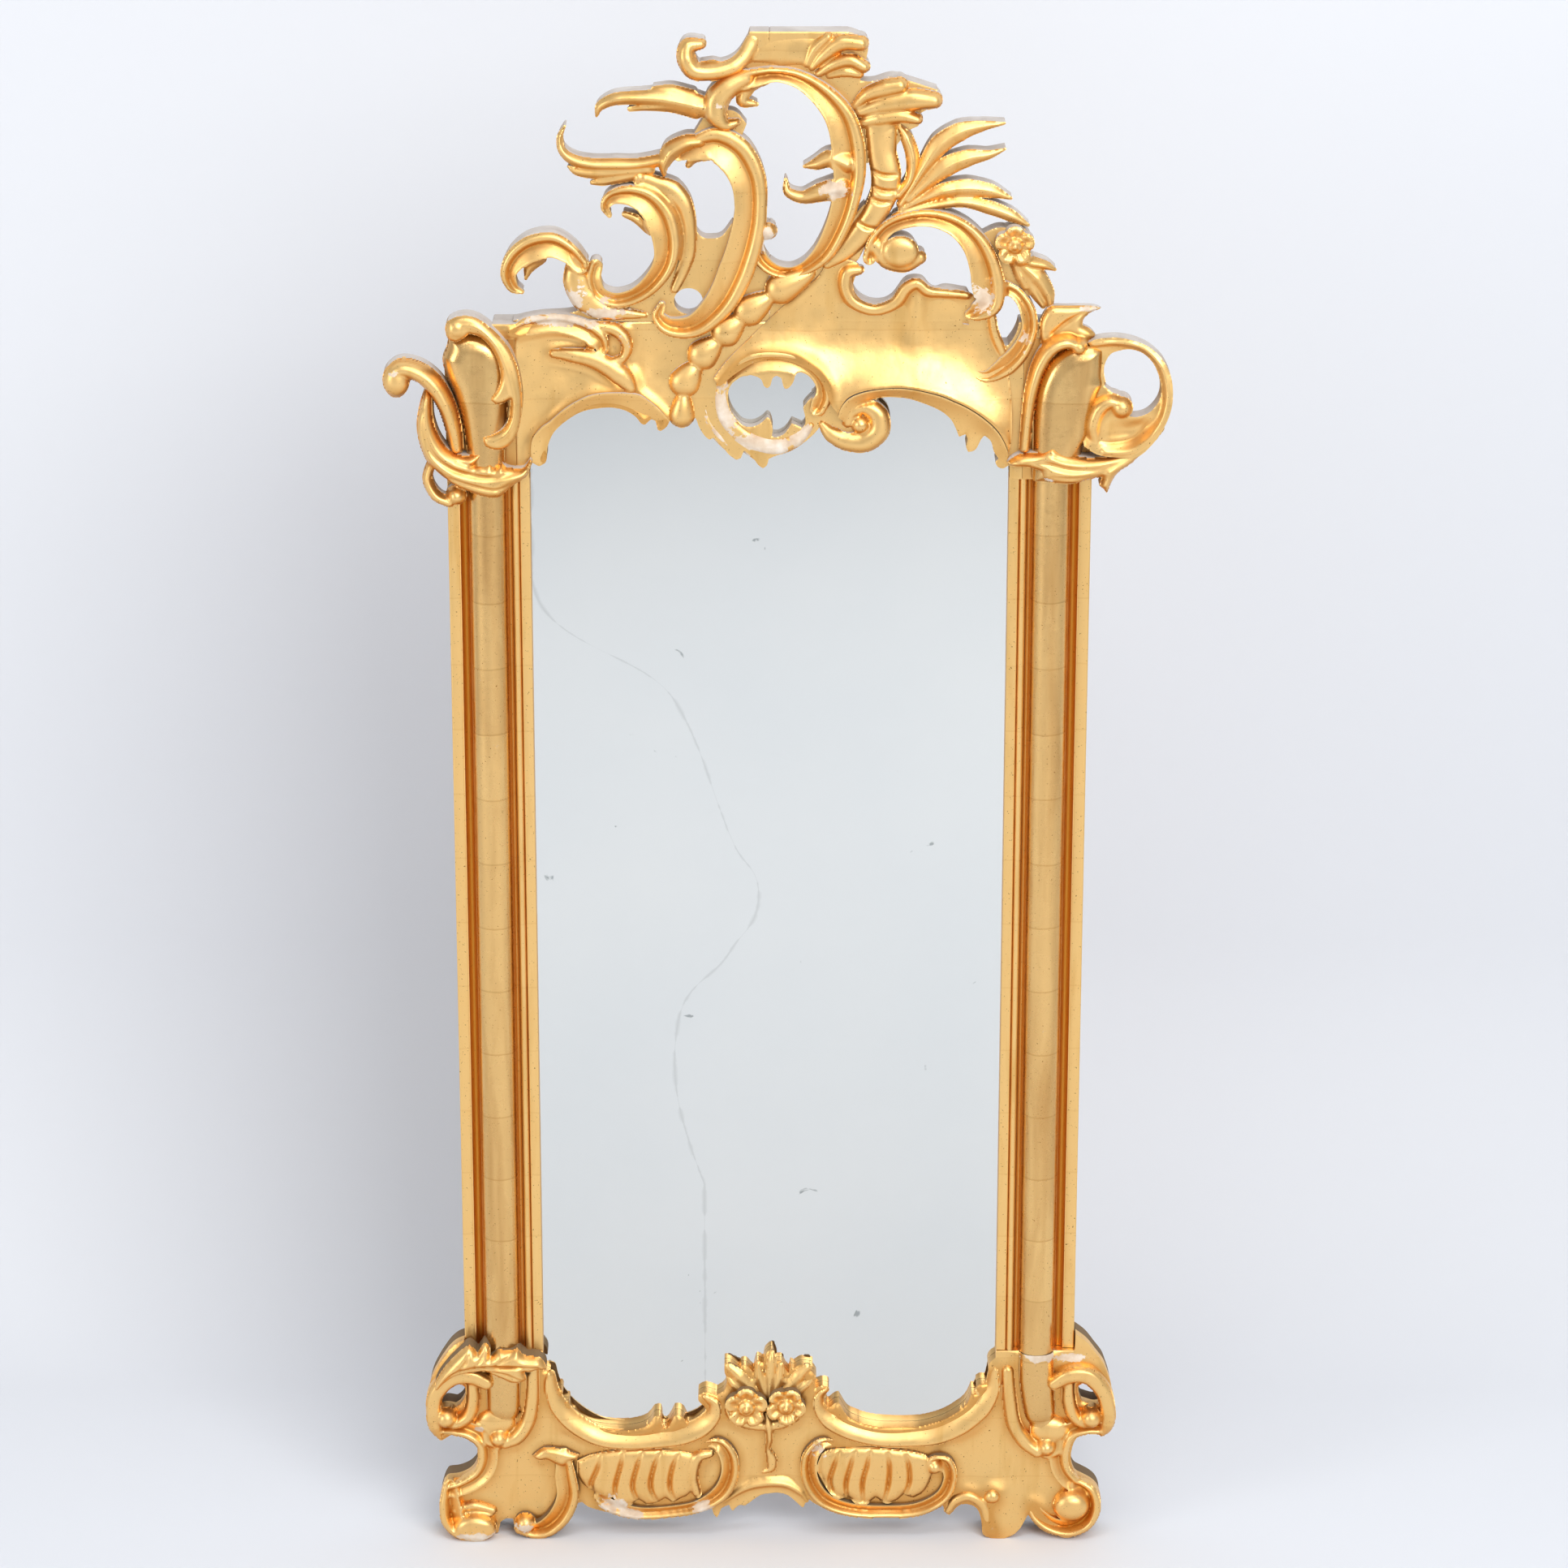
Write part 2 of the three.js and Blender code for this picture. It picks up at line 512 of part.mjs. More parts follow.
const hookedScroll = { place: CREST, section: HOLLOW, strokes: [
  { path: [[-198, 1816, 3, 10], [-203, 1828, 6, 14], [-194, 1840, 9, 16], [-172, 1843, 13, 18],
    [-150, 1834, 17, 20], [-134, 1812, 19, 20], [-127, 1782, 17, 20], [-131, 1755, 14, 20],
    [-147, 1731, 12, 18], [-168, 1715, 10, 16], [-192, 1709, 10, 14], [-212, 1717, 10, 12],
    [-219, 1735, 10, 12], [-216, 1752, 9, 10]] },
  { section: RIDGE, path: [[-179, 1817, 4, 8], [-164, 1811, 6, 10], [-150, 1798, 6, 10]] },
] };

const strap = { place: CREST, section: ROUND, strokes: [
  { path: [[-160, 1864, 9, 10], [-142, 1856, 11, 12], [-120, 1846, 14, 14], [-105, 1828, 11, 14],
    [-99, 1800, 9, 12], [-100, 1770, 9, 10], [-108, 1745, 8, 8], [-118, 1722, 6, 7]] },
], domes: [[-161, 1864, 9, 9, 12]] };

const leafOverStrap = { place: CREST, section: RIDGE, strokes: [
  { path: [[-130, 1867, 2, 16], [-130, 1882, 8, 20], [-121, 1898, 12, 22], [-102, 1908, 11, 22],
    [-86, 1910, 8, 20]] },
] };

const lowScroll = { place: CREST, section: HOLLOW, strokes: [
  { path: [[-308, 1719, 3, 8], [-319, 1726, 7, 14], [-324, 1744, 10, 18], [-314, 1763, 14, 20],
    [-295, 1777, 16, 22], [-270, 1781, 16, 22], [-249, 1771, 13, 22], [-234, 1756, 10, 20]] },
  { section: RIDGE, path: [[-303, 1735, 2, 6], [-298, 1750, 7, 12], [-285, 1763, 9, 16]] },
  { section: ROUND, path: [[-240, 1764, 10, 14], [-240, 1735, 17, 16], [-229, 1710, 17, 16],
    [-206, 1695, 12, 13], [-178, 1691, 8, 10], [-155, 1689, 4, 8]] },
] };

const upperLeaf = { place: CREST, section: RIDGE, strokes: [
  { path: [[-213, 1940, 1.5, 8], [-208, 1953, 6, 12], [-190, 1962, 8, 16], [-160, 1964, 9, 18],
    [-125, 1962, 13, 20], [-92, 1955, 15, 20], [-70, 1950, 12, 16]] },
  { path: [[-172, 1949, 3, 8], [-150, 1952, 5, 12], [-120, 1952, 7, 14], [-90, 1945, 8, 14]] },
  { path: [[-142, 1975, 3, 8], [-120, 1974, 6, 12], [-95, 1966, 8, 14]] },
] };

const sideLeaf = { place: CREST, section: RIDGE, strokes: [
  { path: [[-252, 1928, 1.5, 8], [-258, 1915, 4, 12], [-256, 1899, 5, 15], [-243, 1887, 7, 16],
    [-220, 1881, 8, 17], [-190, 1880, 9, 17], [-162, 1881, 8, 17], [-126, 1888, 8, 18]] },
  { path: [[-248, 1877, 2, 8], [-235, 1871, 6, 11], [-205, 1870, 9, 13], [-150, 1874, 9, 13]] },
  { path: [[-219, 1857, 3, 8], [-205, 1859, 6, 10], [-185, 1863, 7, 11], [-160, 1868, 7, 11]] },
] };

const topShell = { place: CREST, strokes: [
  { path: [[-88, 2034, 5, 16], [-103, 2029, 9, 20], [-106, 2015, 9, 22], [-97, 2002, 9, 22],
    [-80, 1995, 8, 20], [-58, 1996, 7, 18], [-38, 2004, 7, 16], [-24, 2018, 8, 12], [-14, 2036, 9, 8]] },
  { section: RIDGE, path: [[-84, 2006, 3, 8], [-70, 2004, 7, 12], [-54, 2000, 7, 14]] },
  { path: [[-22, 2012, 6, 6], [10, 2022, 22, 7], [45, 2024, 22, 8], [70, 2018, 18, 10]] },
  { path: [[46, 2004, 4, 9], [56, 2024, 7, 14], [72, 2040, 6, 16]] },
  { path: [[52, 2000, 4, 10], [66, 2016, 8, 16], [88, 2032, 11, 20], [112, 2032, 10, 22]] },
  { path: [[60, 1993, 5, 10], [80, 2006, 8, 16], [100, 2011, 9, 20], [116, 2003, 8, 20]] },
  { path: [[74, 1991, 5, 8], [92, 1996, 8, 12], [110, 1993, 6, 12]] },
] };

const waveShell = { place: CREST, strokes: [
  { path: [[104, 1952, 5, 10], [120, 1968, 9, 18], [142, 1976, 12, 22], [160, 1980, 11, 24]] },
  { path: [[112, 1946, 7, 12], [142, 1956, 13, 20], [176, 1962, 15, 24], [202, 1962, 11, 26]] },
  { path: [[116, 1932, 7, 10], [134, 1938, 10, 18], [160, 1942, 10, 20], [182, 1938, 7, 22]] },
] };

const trunk = { place: CREST, strokes: [
  { path: [[138, 1925, 12, 14], [150, 1950, 12, 16], [165, 1968, 8, 18]] },
  { path: [[134, 1940, 18, 12], [138, 1920, 20, 14], [139, 1895, 18, 15], [144, 1868, 19, 17],
    [141, 1842, 17, 17],
    [128, 1815, 15, 16], [110, 1790, 15, 14], [90, 1768, 12, 12], [72, 1754, 7, 10]] },
  { section: RIDGE, path: [[158, 1931, 2, 8], [169, 1914, 8, 14], [177, 1888, 9, 16], [174, 1862, 7, 16],
    [160, 1842, 6, 16]] },
] };

const leafSpray = { place: CREST, section: RIDGE, strokes: [
  { path: [[290, 1931, 1.5, 6], [262, 1928, 7, 10], [235, 1921, 12, 13], [210, 1905, 13, 15],
    [192, 1880, 9, 16], [176, 1853, 6, 16], [162, 1830, 5, 14]] },
  { path: [[291, 1899, 1.5, 6], [270, 1892, 6, 9], [245, 1888, 11, 12], [218, 1877, 13, 14],
    [195, 1858, 9, 15], [172, 1835, 5, 14]] },
  { path: [[299, 1837, 2, 6], [275, 1846, 9, 10], [245, 1850, 12, 12], [215, 1847, 10, 14],
    [188, 1836, 6, 14], [163, 1824, 4, 12]] },
  { path: [[321, 1803, 2, 6], [300, 1815, 8, 10], [272, 1826, 9, 12], [240, 1833, 7, 13],
    [205, 1829, 6, 13], [170, 1821, 5, 13], [155, 1815, 4, 12]] },
] };

const rightScroll = { place: CREST, section: HOLLOW, strokes: [
  { path: [[124, 1762, 8, 12], [132, 1784, 10, 16], [150, 1804, 9, 18], [180, 1814, 10, 20],
    [208, 1813, 11, 20], [234, 1802, 13, 20], [254, 1782, 16, 20], [266, 1757, 19, 20], [272, 1730, 21, 20],
    [272, 1706, 18, 18], [258, 1694, 12, 16], [249, 1690, 6, 12]] },
  { section: ROUND, path: [[186, 1763, 9, 14], [168, 1757, 13, 16], [148, 1762, 14, 16],
    [134, 1776, 11, 14]] },
], domes: [[162, 1772, 21, 19, 18]] };

const flowerPetals = (x, z, spread, radius, height, turn) => [0, 1, 2, 3, 4].map((i) => {
  const degrees = turn + 72 * i;
  const angle = THREE.MathUtils.degToRad(degrees);
  return [x + spread * Math.cos(angle), z + spread * Math.sin(angle), radius, radius, height, degrees, 6];
});

const crestFlower = { place: CREST,
  domes: [...flowerPetals(304, 1780, 14, 11, 24, 18), [304, 1780, 8, 8, 30]] };

const droopingLeaves = { place: CREST, section: RIDGE, strokes: [
  { path: [[304, 1764, 5, 14], [325, 1757, 9, 18], [343, 1753, 6, 14], [355, 1747, 2, 8]] },
  { path: [[308, 1758, 8, 14], [332, 1738, 12, 18], [346, 1718, 9, 14], [350, 1698, 3, 8]] },
  { path: [[304, 1758, 7, 12], [313, 1738, 8, 14], [318, 1724, 4, 10]] },
  { path: [[318, 1745, 8, 12], [330, 1720, 8, 12], [341, 1701, 4, 8]] },
] };

const smallRightScroll = { place: CREST, section: HOLLOW, strokes: [
  { path: [[274, 1728, 12, 10], [300, 1722, 8, 12], [313, 1711, 8, 14], [322, 1694, 10, 16],
    [324, 1672, 10, 16], [314, 1646, 12, 16], [296, 1626, 13, 16], [274, 1612, 8, 14],
    [259, 1614, 5, 12], [254, 1623, 3, 8]] },
] };

// Six graded beads, each with its tail lying on the next one.
const BEADS = [[-111, 1562, 17], [-106, 1604, 19], [-83, 1638, 17], [-54, 1667, 16], [-24, 1695, 17],
  [14, 1722, 18], [62, 1747, 8]];
const beadString = { place: HEAD, section: ROUND, strokes: BEADS.slice(0, -1).map(([x, z, r], i) => {
  const [nx, nz] = BEADS[i + 1];
  const length = Math.hypot(nx - x, nz - z);
  const at = (share) => [x + (nx - x) * share / length, z + (nz - z) * share / length];
  return { path: [[...at(-r), 4, 5], [...at(-r * 0.7), r * 0.72, 14], [...at(0), r, 20],
    [...at(length * 0.45), r * 0.6, 14], [...at(length * 0.8), 5, 7]] };
}) };

const cartouche = { place: HEAD, strokes: [
  { path: [[112, 1749, 4, 10], [96, 1742, 7, 14], [94, 1722, 7, 16], [106, 1703, 7, 16], [132, 1695, 7, 16],
    [156, 1705, 7, 16], [170, 1727, 7, 18], [186, 1732, 6, 18], [200, 1720, 6, 16], [222, 1718, 5, 14],
    [246, 1714, 4, 10]] },
  { path: [[184, 1726, 12, 14], [185, 1690, 14, 10], [184, 1655, 16, 6], [182, 1625, 12, 3]] },
  { path: [[222, 1712, 10, 12], [216, 1680, 12, 9], [206, 1650, 14, 5], [198, 1625, 10, 3]] },
  { path: [[276, 1690, 5, 12], [284, 1665, 6, 12], [274, 1648, 9, 8], [206, 1640, 14, 5]] },
  { path: [[132, 1692, 10, 12], [140, 1665, 14, 7], [150, 1638, 16, 4], [160, 1615, 12, 3]] },
  { path: [[92, 1742, 8, 12], [70, 1700, 24, 6], [80, 1655, 30, 5], [125, 1618, 16, 4],
    [180, 1612, 10, 4], [240, 1592, 12, 5], [276, 1560, 12, 5], [298, 1520, 6, 5]] },
] };

const openingRing = { place: HEAD, strokes: [
  { path: [[-58, 1602, 6, 10], [-44, 1617, 8, 13], [-20, 1628, 12, 15], [8, 1631, 12, 15],
    [35, 1626, 12, 15], [56, 1609, 11, 16], [64, 1588, 11, 17], [60, 1571, 9, 14]] },
  { path: [[-60, 1606, 6, 9], [-61, 1580, 9, 10], [-54, 1556, 11, 11], [-36, 1536, 11, 11],
    [-12, 1523, 11, 11], [12, 1520, 11, 11], [36, 1530, 9, 10], [52, 1547, 5, 9]] },
  { section: RIDGE, path: [[-80, 1580, 6, 7], [-78, 1554, 8, 9], [-62, 1532, 8, 9], [-44, 1512, 6, 8]] },
  { section: RIDGE, path: [[-44, 1530, 9, 8], [-24, 1514, 7, 8], [-9, 1498, 3, 6]] },
] };

const centreVolute = { place: HEAD, strokes: [
  { path: [[66, 1549, 4, 8], [77, 1537, 9, 13], [96, 1527, 11, 15], [120, 1526, 12, 17],
    [138, 1541, 12, 18], [137, 1562, 11, 17], [120, 1574, 9, 15], [102, 1566, 8, 13], [98, 1550, 6, 12]] },
], domes: [[114, 1549, 14, 13, 17]] };

const leftArchBorder = { place: HEAD, section: ROUND, strokes: [
  { path: [[-290, 1503, 7, 9], [-288, 1525, 8, 10], [-272, 1549, 9, 11], [-245, 1568, 9, 11],
    [-205, 1581, 9, 11], [-172, 1577, 9, 11], [-150, 1564, 8, 10], [-133, 1550, 5, 8]] },
  { section: RIDGE, path: [[-172, 1571, 6, 8], [-160, 1556, 4, 7]] },
] };

const rightArchBorder = { place: HEAD, section: ROUND, strokes: [
  { path: [[294, 1500, 5, 8], [287, 1525, 8, 10], [268, 1549, 10, 11], [240, 1568, 10, 11],
    [200, 1583, 8, 10], [160, 1591, 6, 9], [125, 1587, 6, 8], [100, 1576, 5, 7]] },
  { section: RIDGE, path: [[262, 1552, 8, 8], [254, 1535, 7, 8], [247, 1517, 3, 6]] },
] };

const leftShoulder = { place: HEAD, strokes: [
  { path: [[-322, 1668, 6, 13], [-300, 1680, 9, 18], [-265, 1684, 9, 18], [-235, 1676, 10, 18],
    [-215, 1661, 9, 16], [-208, 1649, 6, 13]] },
  { path: [[-224, 1677, 7, 14], [-192, 1671, 9, 16], [-178, 1654, 8, 16], [-182, 1636, 6, 13],
    [-196, 1628, 8, 14]] },
  { path: [[-270, 1639, 6, 10], [-245, 1636, 7, 15], [-215, 1630, 9, 17], [-188, 1612, 12, 17],
    [-176, 1595, 8, 13], [-184, 1584, 4, 8]] },
  { path: [[-222, 1664, 6, 10], [-224, 1650, 5, 8], [-222, 1638, 5, 8]] },
] };

// ---------------------------------------------------------------- crest boards

const TOP_GROUND = [[-54, 1986], [-50, 1994], [-37, 2014], [-29, 2030], [-24, 2046], [96, 2046],
  [118, 2038], [121, 2026], [119, 2012], [121, 2002], [112, 1992], [112, 1984], [128, 1984],
  [150, 1990], [168, 1986], [206, 1974], [210, 1958], [186, 1944], [184, 1928], [170, 1920],
  [150, 1896], [120, 1880], [96, 1935],
  [58, 1972], [4, 1990], [-20, 1988]];
const LOWER_GROUND = [[-330, 1680], [-290, 1688], [-246, 1692], [-214, 1706], [-180, 1714], [-150, 1728],
  [-134, 1750], [-112, 1800], [-108, 1760], [-112, 1730], [-116, 1716], [-104, 1727], [-86, 1716],
  [-60, 1730], [-30, 1770], [-10, 1752], [30, 1743], [64, 1770], [90, 1800], [118, 1830], [120, 1790],
  [116, 1760], [88, 1744], [90, 1722], [103, 1704], [128, 1696], [154, 1705], [168, 1727], [190, 1731],
  [204, 1720], [246, 1716], [262, 1690], [274, 1680]];
const BRIDGE_GROUND = [[-100, 1906], [-88, 1926], [-76, 1946], [-44, 1946], [-28, 1930], [-40, 1900]];
const FLOWER_GROUND = [[254, 1786], [286, 1800], [318, 1790], [324, 1752], [332, 1716], [316, 1710],
  [302, 1718], [284, 1714], [266, 1750]];
const HEAD_GAP_OVAL = { x: -101, z: 1706, rx: 18, rz: 16.5 };

const bigScrollWithLeaf = together(bigScroll, upperLeaf);
const leavesLeft = together(leafOverStrap, sideLeaf);
const hookedWithStrap = together(hookedScroll, strap);
const trunkWithShell = together(trunk, waveShell);
const flowerWithLeaves = together(crestFlower, droopingLeaves);
const scrollsRight = together(rightScroll, smallRightScroll);
const crestMotifs = [bigScrollWithLeaf, tallScroll, hookedWithStrap, lowScroll, leavesLeft, topShell,
  trunkWithShell, leafSpray, scrollsRight, flowerWithLeaves];

function crestBoard(side) {
  const far = 2 * POST_OUTER;
  const half = side > 0 ? [CLEAR / 2, far] : [-far, -CLEAR / 2];
  const keep = block(...half, CREST_BACK, SEAT, RAIL_TOP_Z + CLEAR, RAIL_TOP_Z * 2);
  const grounds = [TOP_GROUND, BRIDGE_GROUND, LOWER_GROUND, FLOWER_GROUND];
  const blank = join([...crestMotifs.map(backing),
    ...grounds.map((ground) => board(ground, CREST_BACK, SEAT, CREST))]);
  const { x, z, rx, rz } = HEAD_GAP_OVAL;
  return body(cut(blank, [board(arc(x, z, rx, rz, 0, 337.5, 15), 0, SEAT + 1, CREST),
    board(SMALL_GAP, 0, SEAT + 1, CREST), ...screwHoles]).intersect(keep));
}

add('crest_board_left', crestBoard(-1), GILT);
add('crest_board_right', crestBoard(1), GILT);

addCarving('bead_string', beadString);
addCarving('crest_scroll_big', bigScrollWithLeaf);
addCarving('crest_scroll_tall', tallScroll);
addCarving('crest_leaves_left', leavesLeft);
addCarving('crest_scroll_hooked', hookedWithStrap);
addCarving('crest_top_shell', topShell);
addCarving('crest_flower', flowerWithLeaves);
addCarving('crest_trunk_shell', trunkWithShell);
addCarving('crest_leaf_spray', leafSpray);
addCarving('crest_scroll_right', scrollsRight);
addCarving('crest_scroll_low', lowScroll);
addCarving('shoulder_left', leftShoulder);
addCarving('opening_ring', openingRing);
addCarving('arch_border_left', leftArchBorder);
addCarving('arch_border_right', together(rightArchBorder, centreVolute));

// ---------------------------------------------------------------- corner carving

const leftCornerScroll = { place: LEFT_CORNER, section: HOLLOW, strokes: [
  { path: [[-387, 1682, 11, 36], [-366, 1684, 12, 38], [-345, 1668, 12, 38], [-330, 1638, 12, 38],
    [-323, 1602, 12, 38], [-323, 1567, 12, 36], [-333, 1542, 11, 33], [-350, 1535, 8, 28]] },
  { section: RIDGE, path: [[-348, 1591, 3, 20], [-338, 1592, 7, 26], [-324, 1590, 8, 30]] },
], domes: [[-390, 1678, 13, 13, 38]] };

const leftVase = { place: LEFT_CORNER, strokes: [
  { path: [[-390, 1656, 12, 24], [-378, 1634, 22, 32], [-366, 1600, 24, 37], [-363, 1565, 19, 34],
    [-357, 1530, 18, 28], [-355.5, 1500, 21, 24], [-355.5, 1479, 23, 22]] },
] };

const leftHandle = { place: LEFT_CORNER, strokes: [
  { path: [[-466, 1600, 12, 36], [-471, 1614, 13, 40], [-459, 1626, 13, 42], [-438, 1621, 13, 42],
    [-419, 1605, 13, 42], [-404, 1578, 12, 41], [-396, 1550, 11, 38], [-392, 1522, 9, 32]] },
] };

const leftWrap = { place: LEFT_CORNER, strokes: [
  { path: [[-438, 1596, 4, 24], [-437, 1560, 6, 30], [-434, 1530, 8, 34], [-420, 1508, 11, 38],
    [-398, 1491, 13, 41], [-366, 1480, 14, 42], [-335, 1483, 12, 36], [-309, 1494, 7, 24],
    [-300, 1503, 2, 14]] },
  { path: [[-410, 1512, 6, 28], [-385, 1505, 8, 32], [-365, 1508, 7, 30], [-359, 1518, 3, 24]] },
  { path: [[-424, 1502, 6, 20], [-430, 1480, 6, 22], [-420, 1459, 7, 24], [-403, 1449, 7, 24]] },
], domes: [[-394, 1459, 12, 12, 26]] };

const rightBar = { place: RIGHT_CORNER, section: HOLLOW, strokes: [
  { path: [[386, 1655, 6, 30], [370, 1659, 9, 34], [352, 1651, 9, 36], [338, 1630, 9, 36],
    [329, 1600, 8, 36], [324, 1565, 7, 35], [321, 1525, 6, 32]] },
  { section: RIDGE, path: [[346, 1664, 8, 16], [362, 1686, 12, 16], [385, 1695, 8, 14], [412, 1700, 2, 8]] },
  { section: RIDGE, path: [[362, 1674, 8, 14], [392, 1671, 7, 14], [404, 1664, 4, 10]] },
], domes: [[386, 1654, 8, 8, 33]] };

const rightVase = { place: RIGHT_CORNER, strokes: [
  { path: [[394, 1642, 14, 24], [380, 1622, 20, 32], [368, 1590, 21, 37], [360, 1555, 19, 34],
    [356, 1525, 18, 28], [356, 1512, 18, 26]] },
] };

const rightRing = { place: RIGHT_CORNER, section: HOLLOW, strokes: [
  { path: [[396, 1651, 5, 26], [422, 1658, 7, 30], [454, 1659, 8, 34], [481, 1642, 9, 37],
    [497, 1612, 9, 39], [494, 1580, 11, 40], [476, 1554, 14, 40], [450, 1540, 17, 39], [424, 1537, 13, 34],
    [404, 1541, 8, 28]] },
  { section: ROUND, path: [[440, 1580, 9, 38], [424, 1585, 8, 38], [410, 1572, 8, 37], [405, 1552, 7, 34],
    [412, 1536, 6, 30]] },
], domes: [[440, 1579, 11, 11, 42]] };

const rightWrap = { place: RIGHT_CORNER, strokes: [
  { path: [[490, 1545, 3, 22], [470, 1524, 8, 32], [440, 1507, 12, 38], [405, 1497, 14, 41],
    [370, 1498, 14, 41], [335, 1507, 9, 32], [305, 1504, 3, 18]] },
  { path: [[440, 1497, 5, 24], [405, 1488, 7, 28], [365, 1484, 6, 28], [344, 1487, 4, 20]] },
  { section: RIDGE, path: [[428, 1494, 7, 18], [425, 1478, 5, 14], [424, 1465, 2, 8]] },
] };

addCarving('corner_handle_left', leftHandle);
addCarving('corner_wrap_left', leftWrap);
addCarving('corner_scroll_left', leftCornerScroll);
addCarving('corner_vase_left', leftVase, BURNISHED);
addCarving('corner_wrap_right', rightWrap);
addCarving('corner_ring_right', rightRing);
addCarving('corner_bar_right', rightBar);
addCarving('corner_vase_right', rightVase, BURNISHED);
addCarving('cartouche_shell', cartouche);

// ---------------------------------------------------------------- base board

// Sawn outline, clockwise from the left upright's foot: outer scrolls, C cut-outs, feet, lower edge,
// then back along the two arches and the bouquet's ground.
const BASE_LEFT = [[-406, 272], [-406, 285], [-424, 275], [-442, 249], [-454, 217], [-457, 184], [-454, 163],
  [-440, 140], [-424, 149], [-406, 147], [-393, 133], [-391, 112], [-398, 96], [-412, 86], [-433, 80],
  [-441, 60], [-443, 34], [-438, 14], [-424, 0], [-378, 0], [-366, 10], [-361, 21], [-347, 21],
  [-341, 8], [-330, 0], [-303, 0], [-280, 14], [-264, 33], [-257, 46]];
const BASE_EDGE = [[-240, 40], [-206, 31], [-170, 26], [-138, 29], [-100, 37], [-86, 47], [-73, 30],
  [-62, 43], [-49, 38], [-38, 45], [-20, 54], [2, 63], [16, 63], [30, 54], [46, 43], [52, 53], [72, 41],
  [92, 33], [130, 30], [170, 30], [206, 35], [232, 46], [243, 33], [256, 47], [270, 46], [281, 38],
  [287, 14]];
const BASE_RIGHT = [[294, 0], [322, 0], [336, 12], [348, 31], [364, 12], [382, 0], [420, 0], [436, 14],
  [444, 36], [443, 58], [434, 76], [412, 88], [405, 108], [406, 128], [414, 143], [431, 151],
  [448, 147], [459, 160], [461, 184], [457, 222], [446, 250], [424, 281], [406, 296], [406, 272]];
const BASE_ARCHES = [[302, 272], [302, 258], [294, 252], [295, 222], [280, 222], [270, 210], [262, 191],
  [236, 170], [200, 160], [164, 158.5], [126, 163], [106, 174], [96, 192], [82, 188], [72, 196], [70, 210],
  [77, 214], [64, 216], [60, 238], [54, 249], [44, 249], [32, 240], [24, 238], [18, 250], [9, 252], [3, 270],
  [-4, 264], [-8, 250], [-16, 254], [-20, 238], [-33, 248], [-42, 240], [-52, 249], [-57, 240], [-60, 214],
  [-78, 208], [-93, 204], [-92, 197], [-85, 183], [-98, 165], [-112, 164], [-121, 176], [-129, 170],
  [-142, 158], [-150, 174], [-162, 162], [-184, 154], [-216, 155], [-250, 168], [-266, 181], [-270, 194],
  [-281, 195], [-278, 212], [-297, 211], [-294, 238], [-302, 244], [-302, 272]];
const BOUQUET_GAPS = [[[-46, 184], [-34, 168], [-12, 162], [-12, 172], [-26, 172], [-38, 182]],
  [[8, 164], [26, 172], [38, 184], [30, 182], [18, 174], [8, 174]]];
const BASE_EYES = [[[-438, 212], [-421, 223], [-408, 216], [-413, 194], [-430, 191], [-443, 190]],
  [[414, 219], [427, 224], [440, 217], [444, 203], [436, 193], [418, 200]],
  [[-344, 182], [-339, 188], [-334, 182], [-339, 176]]];

function baseBoard() {
  const moved = (points, place) => points.map(([x, z]) => [x + place.dx, z]);
  const outline = [...moved(BASE_LEFT, LEFT_FOOT), ...BASE_EDGE, ...moved(BASE_RIGHT, RIGHT_FOOT),
    ...BASE_ARCHES];
  const blank = board(outline, 0, SEAT);
  return body(cut(blank, [
    rebate(GLASS_BOTTOM_Z, GLASS_TOP_Z),
    ...BOUQUET_GAPS.map((gap) => board(gap, -1, SEAT + 1)),
    ...BASE_EYES.map((eye, i) => board(eye, -1, SEAT + 1, i === 1 ? RIGHT_FOOT : LEFT_FOOT)),
    block(-POST_OUTER - CLEAR, POST_OUTER + CLEAR, -1, SEAT + 1, SEAM_Z, SEAM_Z + 100),
    footTenon(-1, CLEAR),
    footTenon(1, CLEAR),
  ]));
}

add('base_board', baseBoard(), GILT);

// ---------------------------------------------------------------- base carving

const leftArchMoulding = { strokes: [
  { path: [[-292, 236, 6, 10], [-290, 215, 8, 13], [-282, 192, 11, 15], [-262, 168, 13, 16],
    [-230, 148, 13, 16], [-195, 142, 13, 16], [-155, 144, 13, 16], [-120, 149, 14, 16], [-93, 160, 13, 16],
    [-77, 177, 11, 16], [-75, 193, 10, 15], [-85, 201, 8, 12]] },
  { section: RIDGE, path: [[-270, 176, 7, 8], [-274, 186, 5, 8], [-276, 193, 2, 7]] },
  { section: RIDGE, path: [[-146, 152, 8, 8], [-150, 164, 6, 8], [-150, 174, 2, 7]] },
  { section: RIDGE, path: [[-116, 156, 9, 8], [-121, 166, 6, 8], [-122, 175, 3, 7]] },
] };

const rightArchMoulding = { strokes: [
  { path: [[76, 214, 4, 10], [67, 205, 7, 12], [67, 190, 8, 14], [81, 172, 12, 16], [108, 157, 13, 16],
    [145, 147, 13, 16], [185, 146, 13, 16], [222, 150, 14, 16], [254, 165, 15, 16], [282, 190, 15, 15],
    [297, 217, 11, 14], [299, 244, 6, 12]] },
  { section: RIDGE, path: [[88, 172, 9, 8], [90, 182, 6, 8], [92, 191, 3, 7]] },
  { section: RIDGE, path: [[276, 192, 9, 8], [279, 206, 7, 8], [280, 218, 3, 7]] },
] };

const centreDish = { strokes: [
  { path: [[-56, 184, 5, 10], [-47, 174, 8, 14], [-28, 166, 9, 15], [-7, 163, 8, 15], [14, 166, 9, 15],
    [33, 175, 8, 14], [43, 186, 5, 10]] },
] };

